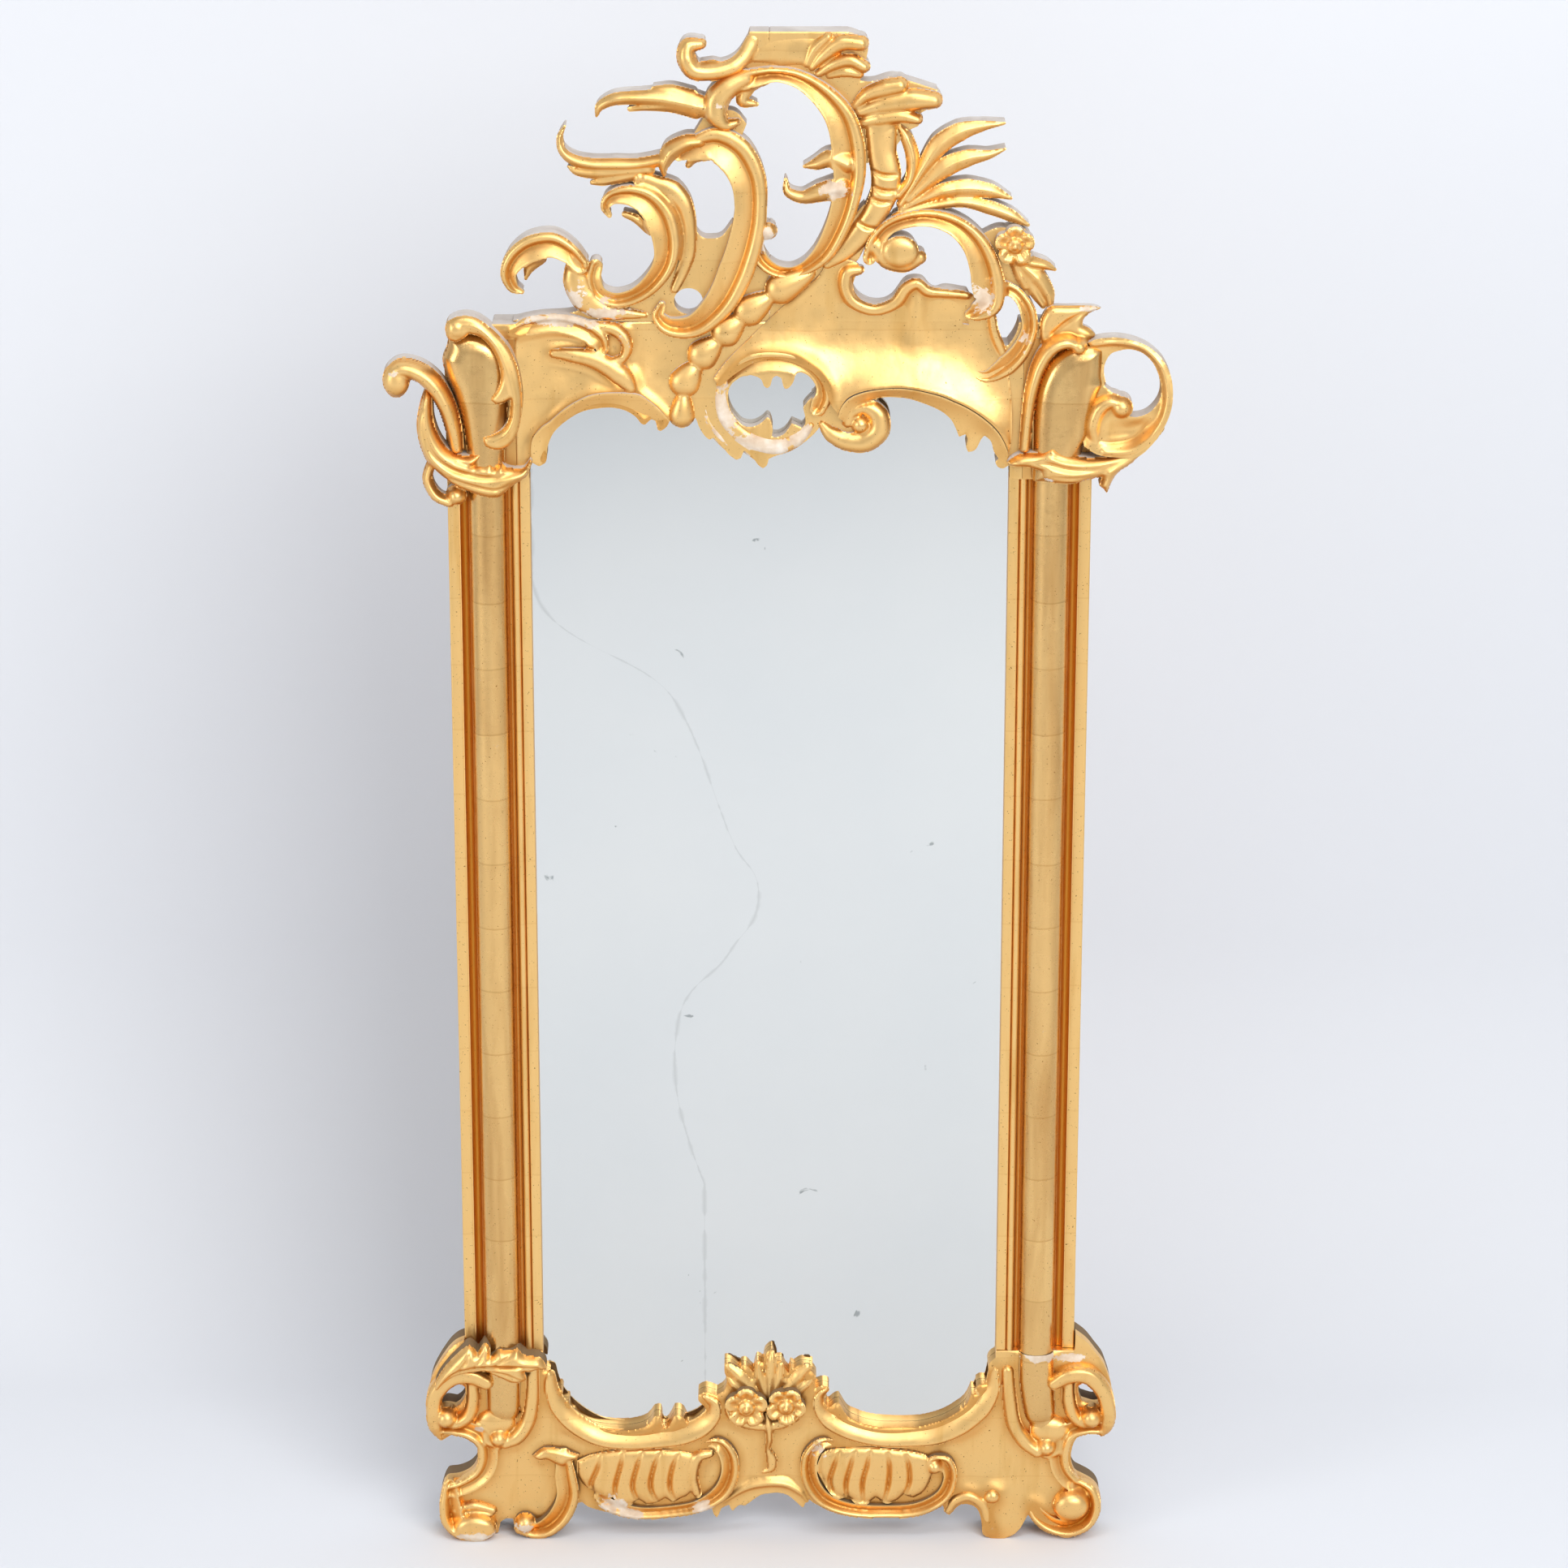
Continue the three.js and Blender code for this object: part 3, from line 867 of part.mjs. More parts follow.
const flowerStem = { strokes: [
  { path: [[-4, 182, 5, 14], [-1, 165, 6, 20], [0, 145, 5, 18], [-2, 128, 4, 10], [3, 112, 8, 9],
    [2, 98, 6, 8], [-8, 92, 3, 6]] },
] };

const leftBouquetFlower = { domes: [...flowerPetals(-32, 193, 17, 12, 22, 90), [-32, 193, 8, 8, 26]] };
const rightBouquetFlower = { domes: [...flowerPetals(22, 195, 17, 12, 22, 60), [22, 195, 8, 8, 26]] };

const bouquetLeaves = { section: RIDGE, strokes: [
  { path: [[0, 205, 8, 10], [1, 235, 8, 12], [3, 258, 7, 10], [4, 269, 3, 6]] },
  { path: [[-6, 208, 6, 9], [-12, 232, 7, 10], [-15, 252, 3, 6]] },
  { path: [[7, 208, 6, 9], [13, 232, 7, 10], [15, 250, 4, 6]] },
  { path: [[-22, 212, 8, 9], [-40, 234, 10, 11], [-54, 247, 6, 7]] },
  { path: [[-28, 206, 7, 8], [-48, 222, 7, 9], [-55, 232, 3, 6]] },
  { path: [[24, 212, 8, 9], [38, 234, 9, 11], [50, 246, 6, 7]] },
  { path: [[30, 208, 8, 8], [50, 222, 7, 9], [58, 234, 3, 6]] },
  { path: [[-36, 226, 6, 6], [38, 226, 6, 6]] },
] };

// A fluted shell: flutes fan down from under the arch moulding to the scalloped lower edge.
const shellFlutes = (flutes) => flutes.map(([x0, z0, x1, z1, width, height]) => {
  const [mx, mz] = [(x0 * 0.55 + x1 * 0.45) - (x0 - x1) * 0.12, (z0 + z1) / 2];
  return { section: RIDGE, path: [[x0, z0, width * 0.85, height * 0.5], [mx, mz, width * 0.95, height],
    [x1, z1, width, height * 1.1]] };
});

const leftShell = { strokes: [
  ...shellFlutes([[-232, 124, -244, 66, 18, 10], [-205, 124, -213, 62, 19, 12],
    [-172, 126, -181, 54, 20, 12], [-140, 126, -149, 50, 20, 13], [-112, 124, -116, 56, 20, 12]]),
  { section: HOLLOW, path: [[-86, 135, 3, 8], [-66, 137, 9, 16], [-52, 118, 12, 18], [-53, 90, 12, 18],
    [-68, 62, 11, 16], [-98, 42, 8, 14], [-136, 34, 7, 12], [-175, 32, 8, 12], [-208, 40, 9, 12],
    [-228, 56, 8, 11], [-222, 74, 4, 8]] },
  { path: [[-102, 66, 7, 12], [-106, 95, 8, 14], [-96, 120, 8, 14], [-78, 122, 5, 12]] },
] };

const rightShell = { strokes: [
  ...shellFlutes([[88, 128, 78, 68, 16, 11], [112, 128, 106, 60, 19, 12],
    [140, 126, 140, 54, 20, 13], [168, 124, 174, 56, 20, 12], [198, 122, 207, 68, 20, 10]]),
  { section: HOLLOW, path: [[86, 138, 3, 8], [68, 138, 8, 16], [53, 118, 10, 18], [54, 86, 10, 18],
    [72, 56, 10, 18], [108, 39, 9, 16], [155, 35, 8, 14], [200, 39, 9, 15], [232, 58, 9, 16],
    [244, 88, 8, 17], [238, 112, 9, 18], [220, 114, 8, 16], [216, 100, 5, 12]] },
  { path: [[222, 108, 8, 16], [228, 94, 4, 12], [234, 92, 4, 12]] },
] };

const leftFootCarving = { place: LEFT_FOOT, strokes: [
  { path: [[-378, 229, 8, 24], [-398, 241, 9, 26], [-425, 239, 10, 26], [-445, 215, 9, 26],
    [-451, 185, 8, 25], [-450, 162, 7, 20], [-441, 143, 3, 12]] },
  { path: [[-402, 232, 6, 18], [-401, 205, 7, 20], [-405, 182, 7, 22], [-418, 170, 6, 22],
    [-432, 172, 7, 22]] },
  { path: [[-448, 158, 4, 14], [-428, 158, 6, 14], [-404, 156, 8, 16], [-386, 138, 8, 15],
    [-383, 112, 7, 14], [-394, 92, 7, 14], [-414, 80, 6, 14], [-436, 74, 5, 12]] },
  { path: [[-436, 76, 4, 12], [-440, 52, 4, 16], [-437, 26, 6, 20], [-424, 12, 8, 24],
    [-402, 10, 10, 26]] },
  { path: [[-316, 246, 6, 14], [-317, 205, 7, 16], [-322, 172, 7, 18], [-336, 148, 8, 20],
    [-354, 140, 8, 22]] },
  { path: [[-378, 156, 6, 12], [-378, 142, 7, 14], [-362, 138, 8, 16]] },
  { path: [[-420, 40, 5, 12], [-396, 44, 6, 14], [-374, 38, 5, 12]] },
], domes: [[-432, 179, 13, 13, 30], [-362, 148, 12, 12, 26], [-366, 168, 24, 19, 16],
  [-396, 17, 27, 22, 30]] };

const leftFootScroll = { place: LEFT_FOOT, strokes: [
  { path: [[-270, 122, 6, 12], [-268, 90, 9, 15], [-266, 60, 9, 17], [-276, 32, 9, 18], [-296, 13, 9, 19],
    [-318, 9, 8, 20], [-334, 17, 8, 20]] },
  { section: RIDGE, path: [[-318, 118, 3, 8], [-302, 128, 9, 13], [-282, 128, 9, 13], [-262, 124, 6, 10],
    [-253, 120, 2, 7]] },
  { section: RIDGE, path: [[-306, 118, 8, 8], [-306, 80, 12, 10], [-298, 40, 13, 10], [-300, 16, 10, 10]] },
], domes: [[-329, 21, 13, 13, 24]] };

const leftFootWrap = { place: LEFT_FOOT, strokes: [
  { path: [[-448, 224, 4, 18], [-432, 246, 10, 26], [-405, 261, 14, 34], [-368, 264, 14, 37],
    [-334, 262, 12, 32], [-303, 259, 6, 20]] },
  { section: RIDGE, path: [[-412, 264, 8, 24], [-402, 278, 6, 20], [-398, 288, 3, 12]] },
  { section: RIDGE, path: [[-386, 268, 8, 26], [-378, 284, 6, 22], [-375, 295, 3, 14]] },
  { section: RIDGE, path: [[-360, 266, 8, 28], [-345, 278, 6, 24], [-334, 284, 3, 16]] },
  { section: RIDGE, path: [[-372, 256, 8, 26], [-345, 246, 8, 26], [-326, 239, 4, 18]] },
] };

const rightFootCarving = { place: RIGHT_FOOT, strokes: [
  { path: [[382, 228, 7, 22], [400, 243, 9, 26], [425, 243, 10, 26], [446, 220, 10, 26], [455, 188, 9, 25],
    [455, 164, 7, 20], [447, 149, 3, 12]] },
  { path: [[403, 236, 6, 18], [404, 205, 7, 20], [410, 182, 7, 22], [422, 171, 6, 22], [434, 174, 7, 22]] },
  { path: [[451, 157, 6, 14], [424, 160, 6, 14], [404, 152, 7, 15], [395, 128, 7, 14], [397, 102, 7, 14],
    [410, 85, 6, 14], [428, 78, 5, 13]] },
  { path: [[416, 84, 6, 14], [434, 70, 7, 18], [440, 46, 8, 22], [430, 22, 9, 24], [406, 12, 9, 24],
    [382, 17, 8, 22], [362, 32, 7, 18], [352, 48, 5, 12]] },
  { path: [[318, 244, 7, 14], [321, 205, 7, 16], [326, 168, 8, 18], [340, 142, 8, 20], [360, 128, 8, 22]] },
  { path: [[388, 140, 6, 12], [384, 128, 7, 14], [370, 124, 8, 16]] },
], domes: [[430, 179, 13, 13, 30], [371, 135, 12, 12, 26], [376, 156, 24, 19, 16], [410, 46, 25, 23, 30]] };

const rightFootScroll = { place: RIGHT_FOOT, strokes: [
  { path: [[241, 37, 5, 12], [250, 54, 7, 15], [270, 60, 7, 16], [287, 44, 7, 16], [294, 20, 6, 16],
    [300, 9, 8, 16]] },
  { path: [[302, 64, 8, 14], [318, 44, 19, 22], [314, 20, 18, 24], [312, 8, 14, 22]] },
  { section: RIDGE, path: [[262, 110, 8, 8], [282, 84, 12, 10], [296, 66, 8, 12]] },
], domes: [[302, 60, 13, 12, 20]] };

const leftColumnFoot = { place: LEFT_FOOT, strokes: [
  { path: [[-355.5, 271.5, 22, 22], [-355.5, 230, 22, 22], [-355.5, 186, 20, 20]] }] };
const rightColumnFoot = { place: RIGHT_FOOT, strokes: [
  { path: [[355.5, 271.5, 22, 22], [358, 230, 22, 22], [364, 176, 19, 20]] }] };

addCarving('base_scroll_left', leftFootCarving);
addCarving('base_wrap_left', leftFootWrap);
addCarving('base_foot_scroll_left', leftFootScroll);
addCarving('base_column_foot_left', leftColumnFoot, BURNISHED);
addCarving('base_scroll_right', rightFootCarving);
addCarving('base_foot_scroll_right', rightFootScroll);
addCarving('base_column_foot_right', rightColumnFoot, BURNISHED);
addCarving('bouquet_stem', together(flowerStem, centreDish));
addCarving('bouquet_flower_left', leftBouquetFlower);
addCarving('bouquet_flower_right', rightBouquetFlower);
addCarving('bouquet_leaves', bouquetLeaves);
addCarving('arch_moulding_left', leftArchMoulding);
addCarving('arch_moulding_right', rightArchMoulding);
addCarving('base_shell_left', leftShell);
addCarving('base_shell_right', rightShell);

// ---------------------------------------------------------------- origin under the middle of the box

const box = new THREE.Box3().setFromObject(assembly);
const middle = box.getCenter(new THREE.Vector3());
assembly.position.set(-middle.x, -middle.y, -box.min.z);
assembly.updateMatrixWorld(true);

export default assembly;
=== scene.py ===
import math
import bmesh
import bpy
import numpy as np
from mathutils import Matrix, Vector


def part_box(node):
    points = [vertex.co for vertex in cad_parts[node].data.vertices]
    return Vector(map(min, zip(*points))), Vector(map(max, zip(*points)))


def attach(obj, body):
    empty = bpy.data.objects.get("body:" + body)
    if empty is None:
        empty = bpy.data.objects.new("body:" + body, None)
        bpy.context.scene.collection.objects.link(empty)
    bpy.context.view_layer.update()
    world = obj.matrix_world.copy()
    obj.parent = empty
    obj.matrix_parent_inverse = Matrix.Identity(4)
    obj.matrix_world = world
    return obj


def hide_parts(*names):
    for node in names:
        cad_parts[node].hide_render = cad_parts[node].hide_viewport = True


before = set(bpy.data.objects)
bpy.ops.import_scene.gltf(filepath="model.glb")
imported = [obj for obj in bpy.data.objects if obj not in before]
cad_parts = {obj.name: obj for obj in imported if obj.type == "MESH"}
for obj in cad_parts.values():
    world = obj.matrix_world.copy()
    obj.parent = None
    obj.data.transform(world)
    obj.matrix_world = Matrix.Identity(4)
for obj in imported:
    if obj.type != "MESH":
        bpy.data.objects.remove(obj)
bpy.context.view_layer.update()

# ------------------------------------------------------------------ the view
# A long lens well above the top of the frame, looking down: the floor fills the glass and the top
# faces of the carving show.

GLASS_BACK_FROM_WALL = 21.7                     # mm
CAMERA_OUT, CAMERA_UP, CAMERA_TILT = 6448, 3276.6, 71     # mm, mm, degrees up from straight down
LENS, SENSOR, SHIFT = 121.1, 36, 0.0093         # mm, mm, share of the frame
glass_low, glass_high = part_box("mirror_glass")
MIDDLE = (glass_low.x + glass_high.x) / 2
WALL = glass_high.y + GLASS_BACK_FROM_WALL / 1000


def metres(x, depth, z):
    """Drawing millimetres (across, out from the wall, up) to metres in the row frame."""
    return np.stack([MIDDLE + np.asarray(x, float) / 1000, WALL - np.asarray(depth, float) / 1000,
                     np.asarray(z, float) / 1000], axis=-1)


camera = bpy.data.objects.new("camera", bpy.data.cameras.new("camera"))
camera.data.sensor_width = SENSOR
camera.data.lens = LENS
camera.data.shift_x = SHIFT
camera.data.clip_end = 60
camera.location = metres(0, CAMERA_OUT, CAMERA_UP)
camera.rotation_euler = (math.radians(CAMERA_TILT), 0, 0)
bpy.context.scene.collection.objects.link(camera)
bpy.context.scene.camera = camera
bpy.context.scene.view_settings.view_transform = "Standard"

# ------------------------------------------------------------------ stiles, slips and half columns
# Moulded uprights in softwood: gesso, red bole and matte water gilding in the coves, and burnished
# half columns glued on the seat between them. The slips cover the edge of the glass.

SEAM_Z, SPRING_Z, STILE_TOP_Z = 272.3, 1478, 1660
SIGHT, SLIP_OUT, COLUMN_IN, AXIS, COLUMN_OUT, FLAT_IN, POST_OUT = 302, 325, 332, 355.5, 379, 392, 406.5
REBATE, SEAT, COLUMN_SEAT, COLUMN_RADIUS = 318, 38, 36, 23.5


def linear(hex_colour):
    """An sRGB hex colour as linear RGBA."""
    values = [int(hex_colour[i:i + 2], 16) / 255 for i in (1, 3, 5)]
    return [v / 12.92 if v <= 0.04045 else ((v + 0.055) / 1.055) ** 2.4 for v in values] + [1]


def node(material, kind, settings=None, **links):
    """Adds a shader node; an input takes a value, or a link when it is given an output socket."""
    new = material.node_tree.nodes.new(kind)
    for key, value in (settings or {}).items():
        setattr(new, key, value)
    for key, value in links.items():
        numbered = key[0] == "i" and key[1:].isdigit()
        socket = new.inputs[int(key[1:]) if numbered else key.replace("_", " ")]
        if isinstance(value, bpy.types.NodeSocket):
            material.node_tree.links.new(value, socket)
        else:
            socket.default_value = value
    return new


def sums(material, operation, *values):
    """One step of arithmetic on values or sockets."""
    links = {f"i{place}": value for place, value in enumerate(values)}
    return node(material, "ShaderNodeMath", {"operation": operation}, **links).outputs[0]


def spread(material, value, low, high, to_low=0.0, to_high=1.0):
    """Carries low to high over to to_low to to_high, and holds the ends beyond them."""
    return node(material, "ShaderNodeMapRange", Value=value, From_Min=low, From_Max=high, To_Min=to_low,
                To_Max=to_high).outputs["Result"]


def noise(material, where, per_metre, detail, **more):
    """Noise of so many waves to the metre."""
    return node(material, "ShaderNodeTexNoise", Vector=where, Scale=per_metre, Detail=detail,
                **more).outputs["Fac"]


def axis_of(material, vector, axis):
    """One coordinate of a vector."""
    return node(material, "ShaderNodeSeparateXYZ", Vector=vector).outputs[axis]


def surface(name, **settings):
    """A new material and its Principled shader, with plain values set on the shader's own sockets."""
    material = bpy.data.materials.new(name)
    material.use_nodes = True
    shader = material.node_tree.nodes["Principled BSDF"]
    for key, value in settings.items():
        shader.inputs[key.replace("_", " ")].default_value = value
    return material, shader


def ramp(material, source, *stops):
    """A colour ramp over a 0 to 1 value: stops are (place, hex colour)."""
    new = node(material, "ShaderNodeValToRGB", Fac=source)
    band = new.color_ramp
    while len(band.elements) < len(stops):
        band.elements.new(0.5)
    for element, (place, colour) in zip(band.elements, stops):
        element.position = place
        element.color = linear(colour)
    return new.outputs["Color"]


def mix(material, share, first, second):
    """Blends two colours; each is a socket or a hex colour."""
    new = node(material, "ShaderNodeMix", {"data_type": "RGBA"})
    link = material.node_tree.links.new
    for socket, value in ((new.inputs[0], share), (new.inputs[6], first), (new.inputs[7], second)):
        if isinstance(value, bpy.types.NodeSocket):
            link(value, socket)
        elif isinstance(value, str):
            socket.default_value = linear(value)
        else:
            socket.default_value = value
    return new.outputs[2]


def blotches(material, where, per_metre, low, high, detail=4, distortion=0.0):
    """Soft-edged 0 to 1 patches of noise: low and high are where they begin and are full."""
    return spread(material, noise(material, where, per_metre, detail, Distortion=distortion), low, high)


LEAF = 0.088                                    # m, the side of one leaf of gold


def gilding(name, leaf, shade, rub, roughness, polish, laps, rubbed):
    """Leaf gold on bole: leaf is its colour, shade the colour of the painted shade in hollows and on undersides
    and also of the laps, rub where it is thin.

    laps is how strongly the leaves tell from one another, rubbed how much of the face is thin."""
    material, shader = surface(name, Metallic=1.0, Roughness=roughness)
    link = material.node_tree.links.new
    place = node(material, "ShaderNodeTexCoord").outputs["Object"]
    # An attribute of painted shade: fuller in recesses of the carving and on grounds beside the limbs.
    painted_shade = node(material, "ShaderNodeAttribute", {"attribute_name": "painted_shade"}).outputs["Fac"]
    worn = node(material, "ShaderNodeAttribute", {"attribute_name": "worn"}).outputs["Fac"]
    # The leaves go up the frame in slightly uneven bands, each with its own tone and a lap.
    uneven = sums(material, "MULTIPLY_ADD", noise(material, place, 20, 2), 0.006,
                  axis_of(material, place, "Z"))
    leaves = sums(material, "MULTIPLY", uneven, 1 / LEAF)
    each = node(material, "ShaderNodeTexWhiteNoise", {"noise_dimensions": "1D"},
                W=sums(material, "FLOOR", leaves)).outputs["Value"]
    lap = spread(material, sums(material, "FRACT", leaves), 0.018, 0.03, 1.0, 0.0)
    streaked = node(material, "ShaderNodeMapping", Vector=place, Scale=(38, 38, 5)).outputs["Vector"]
    thin = spread(material, noise(material, streaked, 1.0, 5, Distortion=0.4), 0.66 - 0.22 * rubbed, 0.78)
    toned = mix(material, thin, leaf, rub)
    toned = mix(material, sums(material, "MULTIPLY", each, laps), toned, rub)
    toned = mix(material, sums(material, "MULTIPLY", lap, laps), toned, shade)
    # Painted shade: faces that turn down, and the recesses, are painted towards the shade colour.
    facing = axis_of(material, node(material, "ShaderNodeNewGeometry").outputs["Normal"], "Z")
    under = spread(material, facing, -0.10, -0.80, 0.0, 0.85)
    deep = mix(material, sums(material, "MAXIMUM", painted_shade, under), toned, shade)
    dirty = mix(material, blotches(material, place, 420, 0.69, 0.74, 2), deep, "#8A5A20")
    # Where the leaf and bole are gone the pale gesso shows, with an edge broken by noise.
    flaked = spread(material, noise(material, place, 85, 7, Roughness=0.7), 0.3, 0.7, -0.1, 1.0)
    bare = spread(material, sums(material, "ADD", worn, flaked), 0.98, 1.06)
    gesso = ramp(material, blotches(material, place, 60, 0.3, 0.7), (0.0, "#CDB296"), (0.5, "#DCC8B0"),
                 (1.0, "#E9DDCE"))
    link(mix(material, bare, dirty, gesso), shader.inputs["Base Color"])
    link(sums(material, "SUBTRACT", 1.0, bare), shader.inputs["Metallic"])
    rough = spread(material, blotches(material, place, 35, 0.3, 0.7), 0.0, 1.0, roughness - polish,
                   roughness + polish)
    link(sums(material, "MAXIMUM", rough, sums(material, "MULTIPLY", bare, 0.75)), shader.inputs["Roughness"])
    fine = node(material, "ShaderNodeBump", Height=noise(material, place, 900, 3), Strength=0.10,
                Distance=0.0006)
    bump = node(material, "ShaderNodeBump", Height=noise(material, place, 70, 2), Strength=0.25,
                Distance=0.0012, Normal=fine.outputs["Normal"])
    link(bump.outputs["Normal"], shader.inputs["Normal"])
    return material


# Matte water gilding: softly brushed leaf, with orange painted shade in the hollows standing in for the leaf
# reflecting itself.
MATTE = gilding("matte_water_gilding", "#F9CD85", "#CF8A34", "#E9B76A", 0.40, 0.06, 0.12, 0.5)

# Burnished leaf, darkened and rubbed: greener and smoother, with the laps of the leaves telling.
BURNISHED = gilding("burnished_gilding_rubbed", "#F1C682", "#B9833E", "#CE9E60", 0.27, 0.07, 0.32, 1.0)

# Carved sides that were never gilded: size and old dust over the wood.
BARE, bare_shader = surface("ungilded_carved_sides", Roughness=0.85)
bare_place = node(BARE, "ShaderNodeTexCoord").outputs["Object"]
bare_wood = ramp(BARE, blotches(BARE, bare_place, 45, 0.25, 0.75), (0.0, "#8E6A35"), (0.5, "#AD8446"),
                 (1.0, "#C29B60"))
dust = spread(BARE, axis_of(BARE, node(BARE, "ShaderNodeNewGeometry").outputs["Normal"], "Z"), 0.1, 0.75)
dusty = ramp(BARE, blotches(BARE, bare_place, 30, 0.3, 0.7), (0.0, "#B9AFA6"), (1.0, "#CFC8C1"))
# Down at the glass, below half a metre, the sides are painted dark instead, as shade.
high = spread(BARE, axis_of(BARE, bare_place, "Z"), 0.5, 1.5)
wood_shaded_low = mix(BARE, high, "#6E5330", bare_wood)
dust_shaded_low = mix(BARE, high, "#7D6648", dusty)
BARE.node_tree.links.new(mix(BARE, dust, wood_shaded_low, dust_shaded_low), bare_shader.inputs["Base Color"])

# Sawn pine gone brown with age: the backs of everything, with a long straight grain.
PINE, pine_shader = surface("aged_pine_boards", Roughness=0.8)
pine_place = node(PINE, "ShaderNodeTexCoord").outputs["Object"]
pine_stretch = node(PINE, "ShaderNodeMapping", Vector=pine_place, Scale=(60, 60, 3)).outputs["Vector"]
pine_grain = noise(PINE, pine_stretch, 1.0, 6, Distortion=0.6)
PINE.node_tree.links.new(ramp(PINE, pine_grain, (0.3, "#6E4F30"), (0.5, "#8C6A44"), (0.7, "#A5825A")),
                         pine_shader.inputs["Base Color"])


def make_piece(name, points, faces, materials, slots=None, nodes=(), smooth=50,
               attributes=None):
    """One closed piece of the mirror, from points in metres, riding on the root."""
    mesh = bpy.data.meshes.new(name)
    mesh.from_pydata(points, [], faces)
    for material in materials:
        mesh.materials.append(material)
    if slots is not None:
        mesh.polygons.foreach_set("material_index", np.asarray(slots, np.int32))
    mesh.polygons.foreach_set("use_smooth", np.ones(len(mesh.polygons), bool))
    for key, values in (attributes or {}).items():
        mesh.attributes.new(key, "FLOAT", "POINT").data.foreach_set("value", np.asarray(values, np.float32))
    piece = bpy.data.objects.new(name, mesh)
    bpy.context.scene.collection.objects.link(piece)
    if smooth:
        mesh.set_sharp_from_angle(angle=math.radians(smooth))
    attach(piece, "root")
    if nodes:
        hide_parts(*nodes)
    return piece


def arc(cx, cy, rx, ry, start, end, steps):
    """Points of an arc in a moulding's section, in degrees."""
    angles = np.radians(np.linspace(start, end, steps + 1))
    return [(cx + rx * math.cos(a), cy + ry * math.sin(a)) for a in angles]


def moulding(name, section, levels, material, node_name, sway=0.0, hollow_below=0.0):
    """Planes a section, [x, depth] going round, along the levels of z."""
    section = np.asarray(section, float)
    n, rings = len(section), len(levels)
    points, hollows = [], []
    # Painted shade on the parts of the section deeper than hollow_below, fuller the deeper they lie.
    deep = np.clip((hollow_below - section[:, 1]) / 8, 0, 1) if hollow_below else np.zeros(n)
    for z in levels:
        shift = sway * math.sin(z * 0.013) + sway * 0.6 * math.sin(z * 0.041 + 1)
        points.append(metres(section[:, 0], section[:, 1] + shift * (section[:, 1] > 20), np.full(n, z)))
        hollows.append(deep)
    faces = [[i * n + j, i * n + (j + 1) % n, (i + 1) * n + (j + 1) % n, (i + 1) * n + j]
             for i in range(rings - 1) for j in range(n)]
    faces.append(list(range(n))[::-1])
    faces.append([(rings - 1) * n + j for j in range(n)])
    area = sum(section[i - 1, 0] * section[i, 1] - section[i, 0] * section[i - 1, 1] for i in range(n))
    if area > 0:
        faces = [face[::-1] for face in faces]
    points = np.concatenate(points)
    worn = np.zeros(len(points))
    at_wall = [section[j, 1] < 0.5 and section[(j + 1) % n, 1] < 0.5 for j in range(n)]
    slots = np.array(at_wall * (rings - 1) + [False, False], int)
    return make_piece(name, points, faces, [material, PINE], slots, nodes=[node_name], smooth=35,
                      attributes={"painted_shade": np.concatenate(hollows), "worn": worn})


levels = np.linspace(SEAM_Z, SPRING_Z, 70)
for side, word in ((-1, "left"), (1, "right")):
    across = [(REBATE, 0), (POST_OUT, 0), (POST_OUT, 31), *arc(POST_OUT - 2, 32, 2, 2, 0, 90, 4),
              (FLAT_IN + 1.5, 34), (FLAT_IN + 0.4, 33.4), *arc(COLUMN_OUT + 6.5, 34, 5.6, 8.5, 0, -180, 14),
              (COLUMN_OUT + 0.4, 35.6), (COLUMN_OUT, COLUMN_SEAT), (COLUMN_IN, COLUMN_SEAT),
              *arc(SLIP_OUT + 3.6, 34.5, 3.0, 5.4, 0, -180, 10), (SLIP_OUT + 0.3, 26), (REBATE, 26)]
    across = [(side * x, d) for x, d in across]
    moulding(f"stile_{word}_moulded", across, levels, MATTE, f"stile_{word}", 0.15, 33.5)
    bead = 4.6
    slip = [(SIGHT, 26), (SLIP_OUT, 26), (SLIP_OUT, 37.4), *arc(SLIP_OUT - bead, 37.4, bead, bead + 1, 0, 180, 14),
            (SLIP_OUT - 2 * bead - 0.8, 38.6), (SLIP_OUT - 2 * bead - 1.2, 40.4), (SLIP_OUT - 2 * bead - 2, 41),
            (SIGHT + 1.6, 41), (SIGHT + 0.5, 40.6), (SIGHT, 39.6)]
    moulding(f"sight_slip_{word}_moulded", [(side * x, d) for x, d in slip], levels, MATTE,
             f"sight_slip_{word}", 0.12, 39.5)
    column = arc(AXIS, COLUMN_SEAT, COLUMN_RADIUS, COLUMN_RADIUS, 0, 180, 40)
    moulding(f"half_column_{word}", [(side * x, d) for x, d in column], levels, BURNISHED,
             f"column_{word}", 0.2)

# ------------------------------------------------------------------ the glass
# Old silvered plate, 4 mm thick: the silvering has gone faintly grey, with a few smudges.

SILVER, silver_shader = surface("old_silvered_glass", Metallic=1.0, Roughness=0.05)
silver_place = node(SILVER, "ShaderNodeTexCoord").outputs["Object"]
silver_link = SILVER.node_tree.links.new
silver_tone = mix(SILVER, blotches(SILVER, silver_place, 3, 0.35, 0.7), "#E3E4E1", "#DFE1DF")
